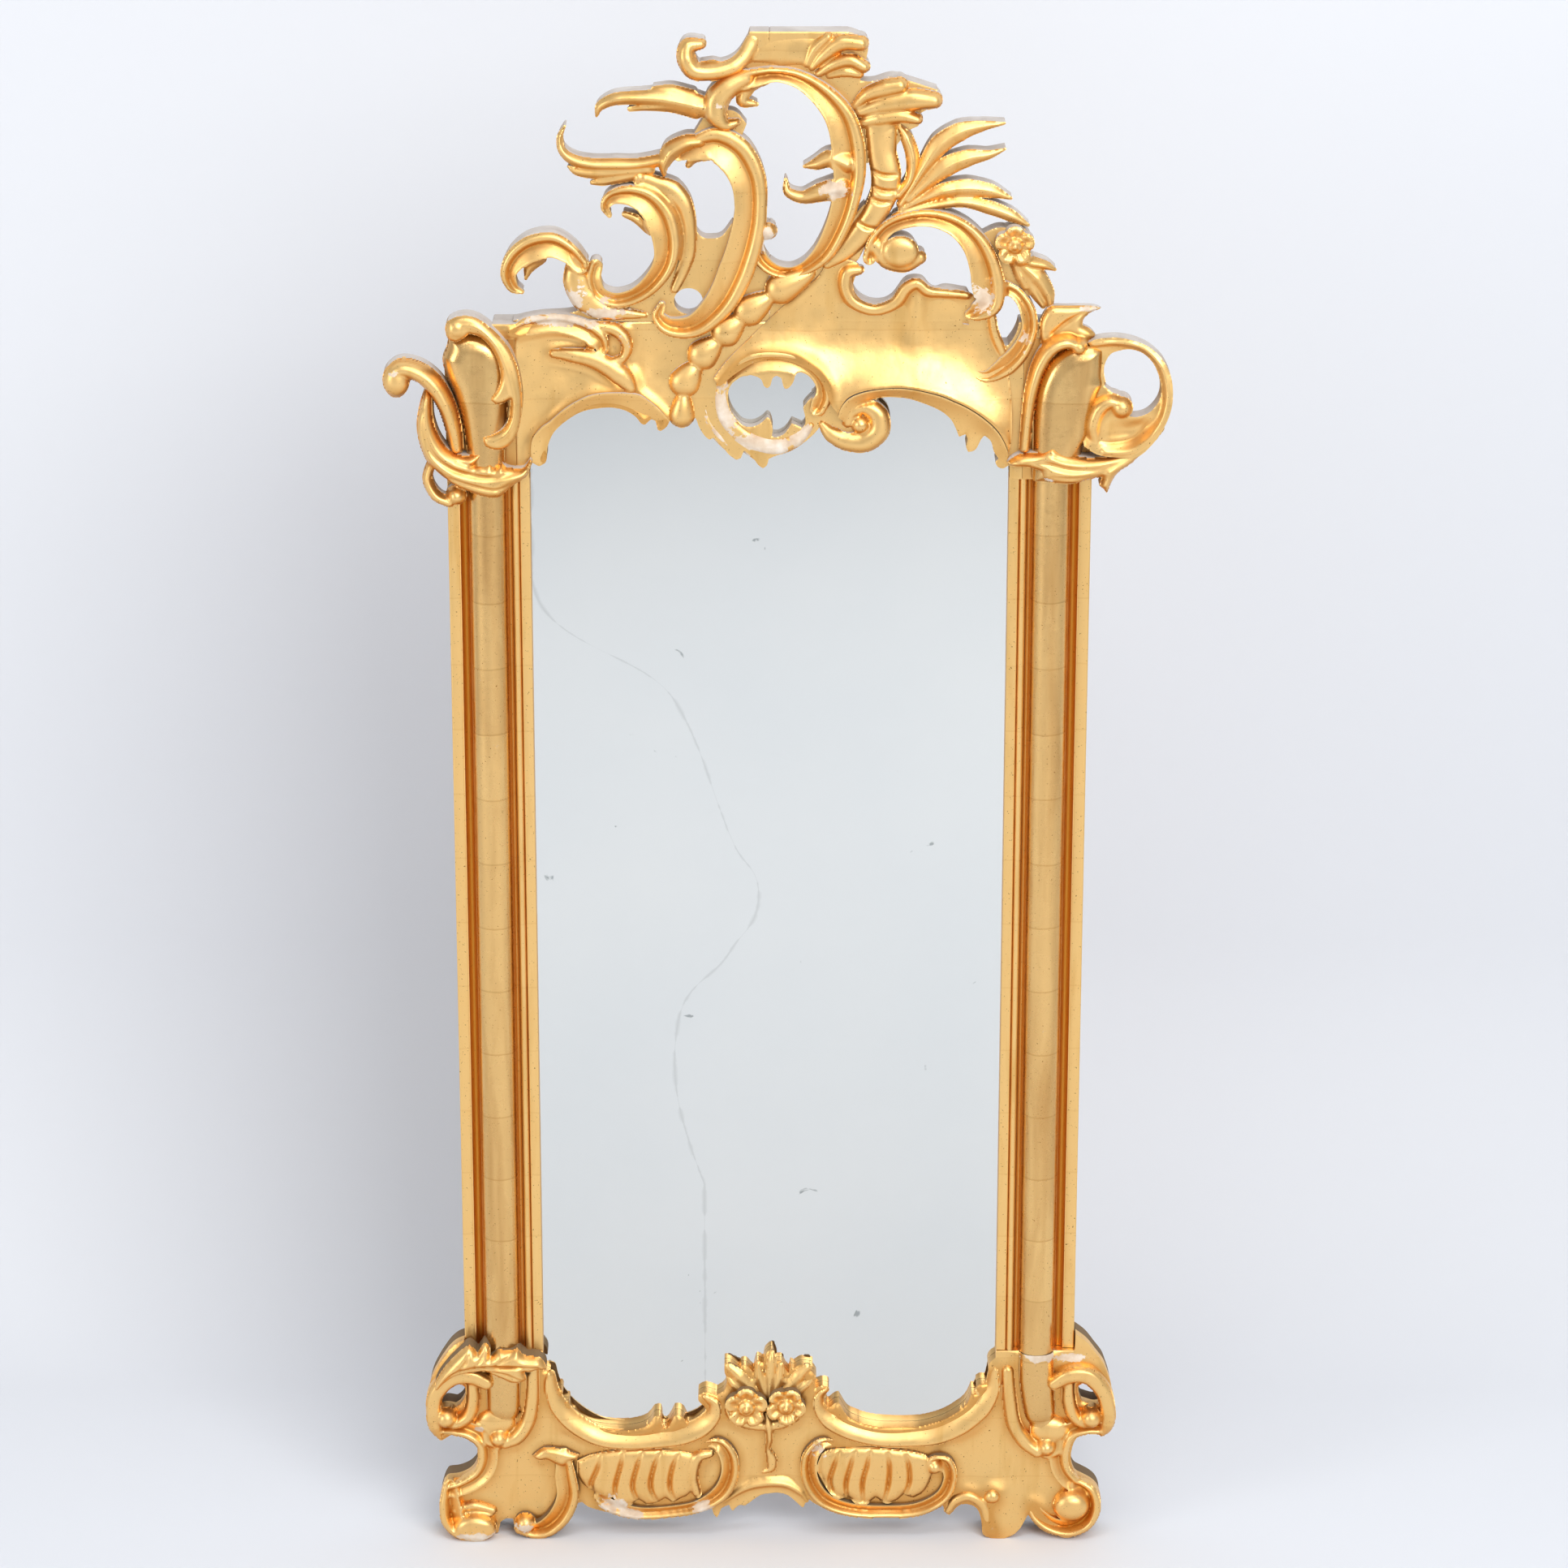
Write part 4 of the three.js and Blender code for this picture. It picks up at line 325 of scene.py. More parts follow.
# Where the silvering has lifted: a faint grey line that wanders down the plate, and a few spots.
LINE = ((0.506, -0.086), (0.585, -0.115), (0.733, -0.120), (0.835, -0.051), (0.914, -0.014),
        (0.981, -0.045), (1.179, -0.122), (1.362, -0.301))     # m: height, across
LINE_LEFT, LINE_REACH = -0.35, 0.4
(line_low, _), *_, (line_high, _) = LINE
down = spread(SILVER, axis_of(SILVER, silver_place, "Z"), line_low, line_high)
wander = node(SILVER, "ShaderNodeFloatCurve", Value=down)
track = wander.mapping.curves[0]
for height, across in LINE:
    at = ((height - line_low) / (line_high - line_low), (across - LINE_LEFT) / LINE_REACH)
    if height in (line_low, line_high):
        track.points[0 if height == line_low else 1].location = at
    else:
        track.points.new(*at)
wander.mapping.update()
line_at = sums(SILVER, "MULTIPLY_ADD", wander.outputs[0], LINE_REACH, MIDDLE + LINE_LEFT)
away = sums(SILVER, "ABSOLUTE", sums(SILVER, "SUBTRACT", axis_of(SILVER, silver_place, "X"), line_at))
line_width = spread(SILVER, noise(SILVER, silver_place, 40, 6), 0.42, 0.62, 0.0004, 0.0045)
line = spread(SILVER, away, 0.0, line_width, 0.34, 0.0)
silver_spots = blotches(SILVER, silver_place, 26, 0.735, 0.76, 6, 1.2)
silver_aged = mix(SILVER, line, silver_tone, "#A7A9A6")
silver_link(mix(SILVER, silver_spots, silver_aged, "#A9ADAB"), silver_shader.inputs["Base Color"])
silver_rough = spread(SILVER, blotches(SILVER, silver_place, 9, 0.3, 0.75), 0.0, 1.0, 0.045, 0.08)
silver_link(silver_rough, silver_shader.inputs["Roughness"])
glass_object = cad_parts["mirror_glass"]
glass_object.data.materials.clear()
glass_object.data.materials.append(SILVER)

# ------------------------------------------------------------------ the wood behind
# Unfinished pine: backboards, glass blocks, battens and the joint block of the crest, and steel screws.

STEEL, steel_shader = surface("dull_steel_screws", Metallic=1.0, Roughness=0.5)
steel_shader.inputs["Base Color"].default_value = linear("#77736C")
for name in ("backboard_lower", "backboard_middle", "backboard_upper", "glass_block_left",
             "glass_block_right", "crest_batten_left", "crest_batten_right", "crest_joint_block"):
    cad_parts[name].data.materials.clear()
    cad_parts[name].data.materials.append(PINE)
for name in ("batten_screw_left", "batten_screw_right"):
    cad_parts[name].data.materials.clear()
    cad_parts[name].data.materials.append(STEEL)

# ------------------------------------------------------------------ the head rail
# Pine rail with two arches and a leaf-edged opening; its front is modelled as shallow dishes in gesso.

STEP = 1.4               # mm between the points of a carved face
SMOOTH_CORNER = math.radians(48)


def curve(points, spacing, closed=False):
    """A smooth line through stations of any width; returns evenly spaced stations."""
    p = np.asarray(points, float)
    if closed:
        p = np.concatenate([p[-1:], p, p[:2]])
    else:
        p = np.concatenate([2 * p[:1] - p[1:2], p, 2 * p[-1:] - p[-2:-1]])
    out = []
    for i in range(1, len(p) - 2):
        steps = max(2, int(np.linalg.norm(p[i + 1, :2] - p[i, :2]) / spacing))
        t = (np.arange(steps) / steps)[:, None]
        a, b, c, d = p[i - 1], p[i], p[i + 1], p[i + 2]
        line = 0.5 * ((2 * b) + (c - a) * t + (2 * a - 5 * b + 4 * c - d) * t ** 2
                      + (3 * b - a - 3 * c + d) * t ** 3)
        line[:, 2:] = b[2:] + (c[2:] - b[2:]) * t
        out.append(line)
    if not closed:
        out.append(p[-2:-1])
    return np.concatenate(out)


def smooth_outline(points, spacing=3.0):
    """A closed outline: smooth where it bends gently, with its sharp tips and notches kept."""
    p = np.asarray(points, float)
    n = len(p)
    before, after = p - np.roll(p, 1, 0), np.roll(p, -1, 0) - p
    turn = np.abs((np.arctan2(after[:, 1], after[:, 0]) - np.arctan2(before[:, 1], before[:, 0]) + math.pi)
                  % (2 * math.pi) - math.pi)
    corners = [i for i in range(n) if turn[i] > SMOOTH_CORNER]
    if not corners:
        return curve(p, spacing, closed=True)
    out = []
    for a, b in zip(corners, corners[1:] + [corners[0] + n]):
        run = p[[i % n for i in range(a, b + 1)]]
        out.append(curve(run, spacing)[:-1])
    return np.concatenate(out)


class Carving:
    """A carved face as two fields on a grid: millimetres inside the edge, and millimetres of relief."""

    def __init__(self, x0, x1, z0, z1):
        self.x = np.arange(x0 - 3 * STEP, x1 + 3 * STEP, STEP)
        self.z = np.arange(z0 - 3 * STEP, z1 + 3 * STEP, STEP)
        shape = (len(self.x), len(self.z))
        self.inside = np.full(shape, -4.0 * STEP)
        self.relief = np.zeros(shape)
        self.worn = np.zeros(shape)
        self.shade = np.zeros(shape)

    def window(self, x0, x1, z0, z1):
        """The rows and columns of the grid inside a rectangle."""
        i0, i1 = np.searchsorted(self.x, (x0, x1))
        j0, j1 = np.searchsorted(self.z, (z0, z1))
        return slice(i0, i1), slice(j0, j1)

    def within(self, outline):
        """Distance inside a closed outline over the whole grid, negative outside."""
        loop = np.asarray(outline, float)
        px, pz = self.x[:, None], self.z[None, :]
        nearest = np.full(self.inside.shape, 1e9)
        odd = np.zeros(self.inside.shape, bool)
        for (ax, az), (bx, bz) in zip(loop, np.roll(loop, -1, 0)):
            dx, dz = bx - ax, bz - az
            length = dx * dx + dz * dz
            if length < 1e-12:
                continue
            t = np.clip(((px - ax) * dx + (pz - az) * dz) / length, 0, 1)
            nearest = np.minimum(nearest, (px - ax - t * dx) ** 2 + (pz - az - t * dz) ** 2)
            if az != bz:
                hit = (az > pz) != (bz > pz)
                odd ^= hit & (px < dx * (pz - az) / dz + ax)
        distance = np.sqrt(nearest)
        return np.where(odd, distance, -distance)

    def ground(self, outline, points, smooth=True):
        """A sawn and modelled ground: its relief swells smoothly through points of (x, z, relief)."""
        loop = smooth_outline(outline) if smooth else outline
        inside = self.within(loop)
        known = np.asarray(points, float)

        def bend(r2):
            return np.where(r2 > 1e-9, r2 * np.log(np.maximum(r2, 1e-9)), 0)

        n = len(known)
        gap = known[:, None, :2] - known[None, :, :2]
        system = np.zeros((n + 3, n + 3))
        system[:n, :n] = bend((gap ** 2).sum(2)) + np.eye(n) * 30
        system[:n, n:] = np.column_stack([np.ones(n), known[:, :2]])
        system[n:, :n] = system[:n, n:].T
        weights = np.linalg.solve(system, np.concatenate([known[:, 2], np.zeros(3)]))
        relief = weights[n] + weights[n + 1] * self.x[:, None] + weights[n + 2] * self.z[None, :]
        for (kx, kz, _), w in zip(known, weights):
            relief = relief + w * bend((self.x[:, None] - kx) ** 2 + (self.z[None, :] - kz) ** 2)
        relief = np.clip(relief, known[:, 2].min() - 1, known[:, 2].max() + 1)
        self.relief = np.where(inside > -3 * STEP, relief, self.relief)
        self.inside = np.maximum(self.inside, inside)
        return self

    def pillow(self, outline, height, round_over, low):
        """A rounded form that fills an outline, as full as its height where it is wide enough."""
        inside = self.within(smooth_outline(outline))
        rise = np.clip(inside / round_over, 0, 1)
        relief = height * (low + (1 - low) * np.sqrt(np.maximum(0, 1 - (1 - rise) ** 2)))
        self.relief = np.where(inside > -2 * STEP, np.maximum(self.relief, relief), self.relief)
        self.inside = np.maximum(self.inside, inside)
        return self

    def hole(self, outline):
        """Sawn through inside an outline."""
        self.inside = np.minimum(self.inside, -self.within(smooth_outline(outline)))
        return self

    def above(self, z):
        """Sawn off level at its foot."""
        self.inside = np.minimum(self.inside, self.z[None, :] - z)
        return self

    def below(self, z, half_width=None):
        """Sawn off level at its top, all the way or only within half a width of the middle."""
        limit = z - self.z[None, :]
        if half_width:
            limit = np.where(np.abs(self.x[:, None]) < half_width, limit, 9)
        self.inside = np.minimum(self.inside, limit)
        return self

    def stroke(self, kind, path, blend=False):
        """A gouge-cut limb along stations of (x, z, half width, relief)."""
        line = curve(path, min(STEP, 1.5))
        cx, cz, width, height = line.T
        tx, tz = np.gradient(cx), np.gradient(cz)
        size = np.hypot(tx, tz) + 1e-9
        tx, tz = tx / size, tz / size
        reach = width.max() + 3 * STEP
        rows, columns = self.window(cx.min() - reach, cx.max() + reach, cz.min() - reach, cz.max() + reach)
        x, z = self.x[rows], self.z[columns]
        nearest = np.full((len(x), len(z)), 1e9)
        which = np.zeros((len(x), len(z)), int)
        for i in range(len(cx)):
            r = width[i] + 3 * STEP
            a, b = np.searchsorted(x, (cx[i] - r, cx[i] + r))
            c, d = np.searchsorted(z, (cz[i] - r, cz[i] + r))
            gap = (x[a:b, None] - cx[i]) ** 2 + (z[None, c:d] - cz[i]) ** 2
            closer = gap < nearest[a:b, c:d]
            nearest[a:b, c:d][closer] = gap[closer]
            which[a:b, c:d][closer] = i
        dx, dz = x[:, None] - cx[which], z[None, :] - cz[which]
        forward = dx * tx[which] + dz * tz[which]
        across = dz * tx[which] - dx * tz[which]
        past = ((which == 0) & (forward < 0)) | ((which == len(cx) - 1) & (forward > 0))
        reach_across = np.where(past, np.sign(across + 1e-9) * np.hypot(forward, across), across)
        t = np.clip(reach_across / width[which], -1.6, 1.6)
        inside = np.where(nearest < 1e8, width[which] * (1 - np.abs(t)), -4 * STEP)
        relief = np.where(inside > -2 * STEP, height[which] * profile(kind, np.clip(t, -1, 1)), 0)
        part = self.relief[rows, columns]
        if blend:
            fade = np.clip(self.inside[rows, columns] / 5, 0, 1)
            self.relief[rows, columns] = part + np.where(inside > 0, relief * fade, 0)
        else:
            self.relief[rows, columns] = np.maximum(part, relief)
            self.inside[rows, columns] = np.maximum(self.inside[rows, columns], inside)
        return self

    def strokes(self, listed):
        """Cuts each listed limb, in order."""
        for kind, path in listed:
            self.stroke(kind, path)
        return self

    def dome(self, x, z, rx, rz, height, power=2.0, low=0.25):
        """A boss or ball on the ground."""
        r = np.hypot((self.x[:, None] - x) / rx, (self.z[None, :] - z) / rz)
        inside = (1 - r) * min(rx, rz)
        relief = height * (low + (1 - low) * np.sqrt(np.maximum(0, 1 - np.minimum(r, 1) ** power)))
        self.relief = np.where(inside > -2 * STEP, np.maximum(self.relief, relief), self.relief)
        self.inside = np.maximum(self.inside, inside)
        return self

    def drop(self, x, z, radius, length, lean, height):
        """A teardrop bead: a full head drawn out to a narrow tail along its lean, in radians."""
        dx, dz = self.x[:, None] - x, self.z[None, :] - z
        u, v = dx * math.cos(lean) + dz * math.sin(lean), dz * math.cos(lean) - dx * math.sin(lean)
        drawn = np.clip(u / length, 0, 1)
        r = np.hypot(u * np.where(u > 0, radius / length, 1), v / (1 - 0.30 * drawn))
        relief = height * (0.25 + 0.75 * np.sqrt(np.maximum(0, 1 - (np.minimum(r, radius) / radius) ** 2)))
        self.relief = np.where(r < radius + 2 * STEP, np.maximum(self.relief, relief), self.relief)
        self.inside = np.maximum(self.inside, radius - r)
        return self

    def swell(self, limbs, rise, reach, tone=0.5):
        """Raises the ground softly to meet the limbs standing on it, and paints shade on the ground near them."""
        cover = np.zeros(self.inside.shape)
        for limb in limbs:
            i = np.clip(np.round((self.x - limb.x[0]) / STEP).astype(int), 0, len(limb.x) - 1)
            j = np.clip(np.round((self.z - limb.z[0]) / STEP).astype(int), 0, len(limb.z) - 1)
            here = np.outer((self.x > limb.x[0]) & (self.x < limb.x[-1]),
                            (self.z > limb.z[0]) & (self.z < limb.z[-1]))
            cover = np.maximum(cover, here & (limb.inside[np.ix_(i, j)] > 0))
        near = blur(cover, np.ones_like(cover), reach)
        self.relief = self.relief + 4 * rise * near * (1 - near) * np.clip(self.inside / 6, 0, 1)
        self.shade = np.maximum(self.shade, tone * np.clip(2 * near, 0, 1))
        return self

    def flower(self, x, z, radius, height, turn, petals=5):
        """Cupped petals with rolled edges, a ring and a boss."""
        dx, dz = self.x[:, None] - x, self.z[None, :] - z
        r = np.hypot(dx, dz)
        angle = (np.arctan2(dz, dx) - math.radians(turn)) * petals / (2 * math.pi)
        phase = np.abs(angle - np.round(angle)) * 2
        rim = radius * (1 - 0.20 * phase ** 2.2)
        inside = rim - r
        q = np.clip(r / rim, 0, 1)
        cup = 0.50 + 0.50 * q ** 1.5 - 0.5 * np.clip(q - 0.86, 0, 1) / 0.14 * 0.5
        split = 1 - 0.38 * np.clip((phase - 0.72) / 0.28, 0, 1) ** 1.5 * np.clip(q * 1.6 - 0.4, 0, 1)
        middle = 0.30 * (phase < 2) * np.exp(-((phase / 0.22) ** 2)) * np.exp(-(((q - 0.6) / 0.25) ** 2))
        relief = height * (cup * split - 0.35 * middle)
        ring = height * (0.80 + 0.10 * np.cos((r - radius * 0.30) / (radius * 0.06)))
        relief = np.where(np.abs(r - radius * 0.30) < radius * 0.07, np.maximum(relief, ring), relief)
        boss = height * (0.65 + 0.5 * np.sqrt(np.maximum(0, 1 - (r / (radius * 0.24)) ** 2)))
        relief = np.where(r < radius * 0.24, boss, relief)
        self.relief = np.where(inside > -2 * STEP, np.maximum(self.relief, relief), self.relief)
        self.inside = np.maximum(self.inside, inside)
        return self

    def wear(self, x, z, rx, rz, amount=1.0):
        """Leaf and bole rubbed away over an oval."""
        r = np.hypot((self.x[:, None] - x) / rx, (self.z[None, :] - z) / rz)
        self.worn = np.maximum(self.worn, amount * np.clip(1.35 - r, 0, 1))
        return self


def profile(kind, t):
    """How a limb's face is cut, over t from one edge (-1) to the other (1), as a share of its relief.

    A cee is a roll beside a broad cove, an eec its mirror image, and an ovolo swells to one edge."""
    a = np.abs(t)
    if kind == "round":
        return 0.28 + 0.72 * np.sqrt(np.maximum(0, 1 - a ** 2.3))
    if kind == "flat":
        return np.ones_like(t)
    if kind == "strap":
        return 0.88 + 0.12 * (1 - a ** 2) - 0.30 * np.clip((a - 0.74) / 0.26, 0, 1) ** 2
    if kind in ("cee", "eec"):
        q = t if kind == "cee" else -t
        roll = 0.46 + 0.54 * np.sqrt(np.maximum(0, 1 - np.abs((q - 0.60) / 0.43) ** 2.4))
        cove = 0.42 + 0.46 * np.clip((0.17 - q) / 1.17, 0, 1) ** 1.3
        return np.where(q > 0.17, roll, cove)
    if kind == "ovolo":
        q = np.clip((1 - t) / 2, 0, 1)
        rise = 0.14 + 0.86 * np.sin(math.pi / 2 * q / 0.86) ** 0.9
        return np.where(q < 0.86, rise, 1 - 0.35 * ((q - 0.86) / 0.14) ** 2)
    if kind == "ridge":
        keel = 1 - 0.50 * a ** 1.15
        return keel - 0.12 * np.clip((a - 0.85) / 0.15, 0, 1)
    if kind == "soft":
        return 0.5 + 0.5 * np.cos(math.pi * a)
    raise ValueError(kind)


def blur(values, weights, millimetres):
    """Weighted smoothing over the grid."""
    radius = max(1, int(round(millimetres / STEP)))
    kernel = np.exp(-0.5 * (np.arange(-2 * radius, 2 * radius + 1) / radius) ** 2)
    kernel /= kernel.sum()
    sums = []
    for field in (values * weights, weights):
        for axis in (0, 1):
            field = np.apply_along_axis(lambda line: np.convolve(line, kernel, "same"), axis, field)
        sums.append(field)
    return sums[0] / np.maximum(sums[1], 1e-6)


CELL_CASES = {1: [[0, 4, 7]], 2: [[1, 5, 4]], 3: [[0, 1, 5, 7]], 4: [[2, 6, 5]], 5: [[0, 4, 7], [2, 6, 5]],
              6: [[1, 2, 6, 4]], 7: [[0, 1, 2, 6, 7]], 8: [[3, 7, 6]], 9: [[0, 4, 6, 3]],
              10: [[1, 5, 4], [3, 7, 6]], 11: [[0, 1, 5, 6, 3]], 12: [[2, 3, 7, 5]], 13: [[0, 4, 5, 2, 3]],
              14: [[1, 2, 3, 7, 4]], 15: [[0, 1, 2, 3]]}
CELL_EDGES = {1: [(4, 7)], 2: [(5, 4)], 3: [(5, 7)], 4: [(6, 5)], 5: [(4, 7), (6, 5)], 6: [(6, 4)],
              7: [(6, 7)], 8: [(7, 6)], 9: [(4, 6)], 10: [(5, 4), (7, 6)], 11: [(5, 6)], 12: [(7, 5)],
              13: [(4, 5)], 14: [(7, 4)]}


standing = []                                   # the carvings cut so far, for the grounds to swell to
MOST_RELIEF = 41.9                              # mm over the seat, under the depth of the frame
GLASS_LINE, FIT = 26, 0.2                       # mm: where the front plates and the boards behind part


def carve(name, carving, nodes=(), seat=SEAT, back=SEAT, material=None, slot="matte_gilding", arris=1.6,
          soften=0.7, walls=None):
    """Cuts a carving out of its grid: a modelled front, walls at its edge and a flat back."""
    standing.append(carving)
    inside, relief = carving.inside, carving.relief
    wood = (inside > 0).astype(float)
    near = np.clip(inside / arris, 0, 1)
    if soften:
        relief = blur(relief, (inside > -2 * STEP) + 1e-3, soften) if STEP < 2 else relief
    broad = blur(relief, wood, 5.0)
    # Painted shade: the face is painted towards the shade colour where it lies below its blurred surroundings, and
    # where the carving's own shade field is set.
    painted_shade = np.clip((broad - relief) / 5.0, 0, 1) * np.clip(inside / 3, 0, 1)
    painted_shade = np.maximum(painted_shade, carving.shade)
    relief = np.maximum(relief - np.minimum(arris * 0.8, relief * 0.5) * (1 - near) ** 2, 0.15)
    relief = np.minimum(relief, MOST_RELIEF)
    nx, nz = inside.shape
    solid = inside > 0
    number = np.full(inside.shape, -1)
    number[solid] = np.arange(solid.sum())
    gx, gz = np.meshgrid(carving.x, carving.z, indexing="ij")
    columns = [gx[solid], gz[solid], relief[solid], painted_shade[solid], carving.worn[solid]]
    count = int(solid.sum())
    edge_number = []
    for axis in (0, 1):
        first = (slice(0, nx - 1), slice(None)) if axis == 0 else (slice(None), slice(0, nz - 1))
        second = (slice(1, nx), slice(None)) if axis == 0 else (slice(None), slice(1, nz))
        a, b = inside[first], inside[second]
        crossing = (a > 0) != (b > 0)
        t = np.clip(a[crossing] / (a[crossing] - b[crossing]), 0.02, 0.98)
        numbers = np.full(a.shape, -1)
        numbers[crossing] = count + np.arange(crossing.sum())
        count += int(crossing.sum())
        edge_number.append(numbers)
        for k, field in enumerate((gx, gz, relief, painted_shade, carving.worn)):
            fa, fb = field[first][crossing], field[second][crossing]
            if k >= 2:
                wood_side = np.where(a[crossing] > 0, fa, fb)
                columns[k] = np.concatenate([columns[k], wood_side])
            else:
                columns[k] = np.concatenate([columns[k], fa + (fb - fa) * t])
    corner = [number[:-1, :-1], number[1:, :-1], number[1:, 1:], number[:-1, 1:]]
    sides = [edge_number[0][:, :-1], edge_number[1][1:, :], edge_number[0][:, 1:], edge_number[1][:-1, :]]
    places = [*corner, *sides]
    case = sum((1 << k) * (corner[k] >= 0) for k in range(4))
    faces, rim = [], []
    for value, polygons in CELL_CASES.items():
        cells = case == value
        if not cells.any():
            continue
        for polygon in polygons:
            faces.extend(np.stack([places[k][cells] for k in polygon], 1).tolist())
        for a, b in CELL_EDGES.get(value, []):
            rim.extend(zip(places[a][cells].tolist(), places[b][cells].tolist()))
    fronts = len(faces)
    x, z, h, hollows, worn = columns
    rim_points = sorted({p for pair in rim for p in pair})
    twin = {p: count + i for i, p in enumerate(rim_points)}
    faces.extend([b, a, twin[a], twin[b]] for a, b in rim)
    points = np.concatenate([metres(x, seat + h, z),
                             metres(x[rim_points], np.full(len(rim_points), back), z[rim_points])])
    attributes = {"painted_shade": np.concatenate([hollows, np.zeros(len(rim_points))]),
                  "worn": np.concatenate([worn, np.zeros(len(rim_points))])}
    slots = np.zeros(len(faces), int)
    slots[fronts:] = 1
    piece = make_piece(name, points, faces, [material or MATTE, walls or BARE, PINE], slots, nodes, 0,
                       attributes)
    body = bmesh.new()
    body.from_mesh(piece.data)
    open_edges = [edge for edge in body.edges if len(edge.link_faces) == 1]
    filled = bmesh.ops.triangle_fill(body, use_beauty=False, use_dissolve=False, edges=open_edges)
    for face in filled["geom"]:
        if isinstance(face, bmesh.types.BMFace):
            face.material_index = 2
            face.smooth = False
    body.to_mesh(piece.data)
    body.free()
    piece.data.set_sharp_from_angle(angle=math.radians(48))
    return piece


def limb(node_name, carving, **more):
    """A carved limb in the place of the node of that name."""
    return carve(f"{node_name}_carved", carving, [node_name], **more)


# The front plate of the rail, and the thicker bar above the glass that joins it to the stiles.
HEAD_EDGE = [(-302.3, 1478.3), (-302.3, 1500), (-294, 1502), (-287, 1500), (-282, 1499), (-280, 1504),
             (-279, 1519), (-272, 1537), (-260, 1551), (-241, 1564), (-223, 1570), (-198, 1572), (-180, 1568),
             (-168, 1560), (-161, 1551), (-156, 1549), (-152, 1553), (-148, 1557), (-143, 1555), (-140, 1542),
             (-136, 1541), (-129, 1546), (-125, 1554), (-110, 1556), (-98, 1562), (-92, 1556), (-88, 1545),
             (-81, 1534), (-75, 1529), (-70, 1532), (-60, 1521), (-51, 1510), (-42, 1503), (-36, 1505),
             (-32, 1515), (-21, 1506), (-14, 1496), (-8, 1492), (-3, 1496), (-1, 1504), (8, 1508), (20, 1512),
             (33, 1518), (46, 1527), (56, 1536), (64, 1546), (72, 1536), (82, 1524), (98, 1518), (118, 1515),
             (138, 1521), (148, 1532), (149, 1548), (142, 1566), (134, 1578), (136, 1584), (142, 1586),
             (160, 1586), (179, 1583), (210, 1570), (226, 1558), (233, 1546), (238, 1534), (246, 1537),
             (249, 1530), (247, 1520), (250, 1513), (259, 1516), (266, 1530), (270, 1535), (278, 1528),
             (282, 1514), (288, 1505), (284, 1500), (287, 1494), (294, 1492), (302.3, 1497),
             (302.3, 1478.3)]
OPENING = [(-52, 1583), (-49, 1598), (-36, 1611), (-23, 1612), (-11, 1607), (-7, 1598), (-3, 1595), (1, 1598),
           (4, 1608), (9, 1611), (15, 1608), (17, 1599), (19, 1594), (24, 1595), (30, 1603), (33, 1615),
           (39, 1617), (50, 1611), (58, 1599), (58, 1588), (50, 1580), (43, 1571), (43, 1566), (45, 1558),
           (45, 1549), (41, 1544), (35, 1547), (28, 1550), (24, 1543), (18, 1536), (9, 1532), (3, 1533),
           (4, 1543), (1, 1555), (-3, 1558), (-10, 1551), (-20, 1546), (-32, 1547), (-41, 1555),
           (-49, 1568)]
SMALL_GAP = [(299, 1720), (308, 1710), (311, 1694), (311, 1676), (306, 1662), (298, 1650), (290, 1650),
             (284, 1660), (284, 1674), (288, 1696), (294, 1712)]

head = Carving(-347, 347, 1478, 1681)
head.ground([(-345.6, 1679.7), (-345.6, 1660.4), (-317.7, 1660.4), (-317.7, 1478.3), *HEAD_EDGE, (317.7, 1478.3),
             (317.7, 1660.4), (345.6, 1660.4), (345.6, 1679.7)],
            [(-313, 1490, 12), (-312, 1560, 14), (-311, 1620, 13), (-308, 1660, 11), (-292, 1550, 8),
             (-288, 1600, 6), (-285, 1650, 4), (-262, 1572, 8), (-223, 1594, 9), (-185, 1598, 8),
             (-145, 1585, 7), (-245, 1625, 1), (-215, 1645, 0.5), (-150, 1640, 1), (-125, 1600, 5),
             (-120, 1640, 1.5), (-180, 1675, 4), (-250, 1672, 3), (-110, 1680, 2), (-60, 1680, 4),
             (-90, 1550, 8), (-90, 1610, 6), (0, 1660, 3), (60, 1560, 5), (120, 1550, 5), (120, 1650, 1),
             (240, 1650, 1), (300, 1560, 6), (312, 1600, 8), (312, 1500, 9), (200, 1590, 5)], smooth=True)
head.hole(OPENING).hole(SMALL_GAP)
bar = Carving(-347, 347, 1624, 1681)
bar.ground([(-345.6, 1679.7), (-345.6, 1660.4), (-317.7, 1660.4), (-317.7, 1624.4), (317.7, 1624.4),
            (317.7, 1660.4), (345.6, 1660.4), (345.6, 1679.7)],
           [(-300, 1640, 0.2), (300, 1640, 0.2), (0, 1670, 0.2)], smooth=False)
bar.hole(SMALL_GAP)
carve("head_rail_back", bar, seat=GLASS_LINE - FIT, back=0, material=PINE, slot="bare_wood", arris=0.1, soften=0)

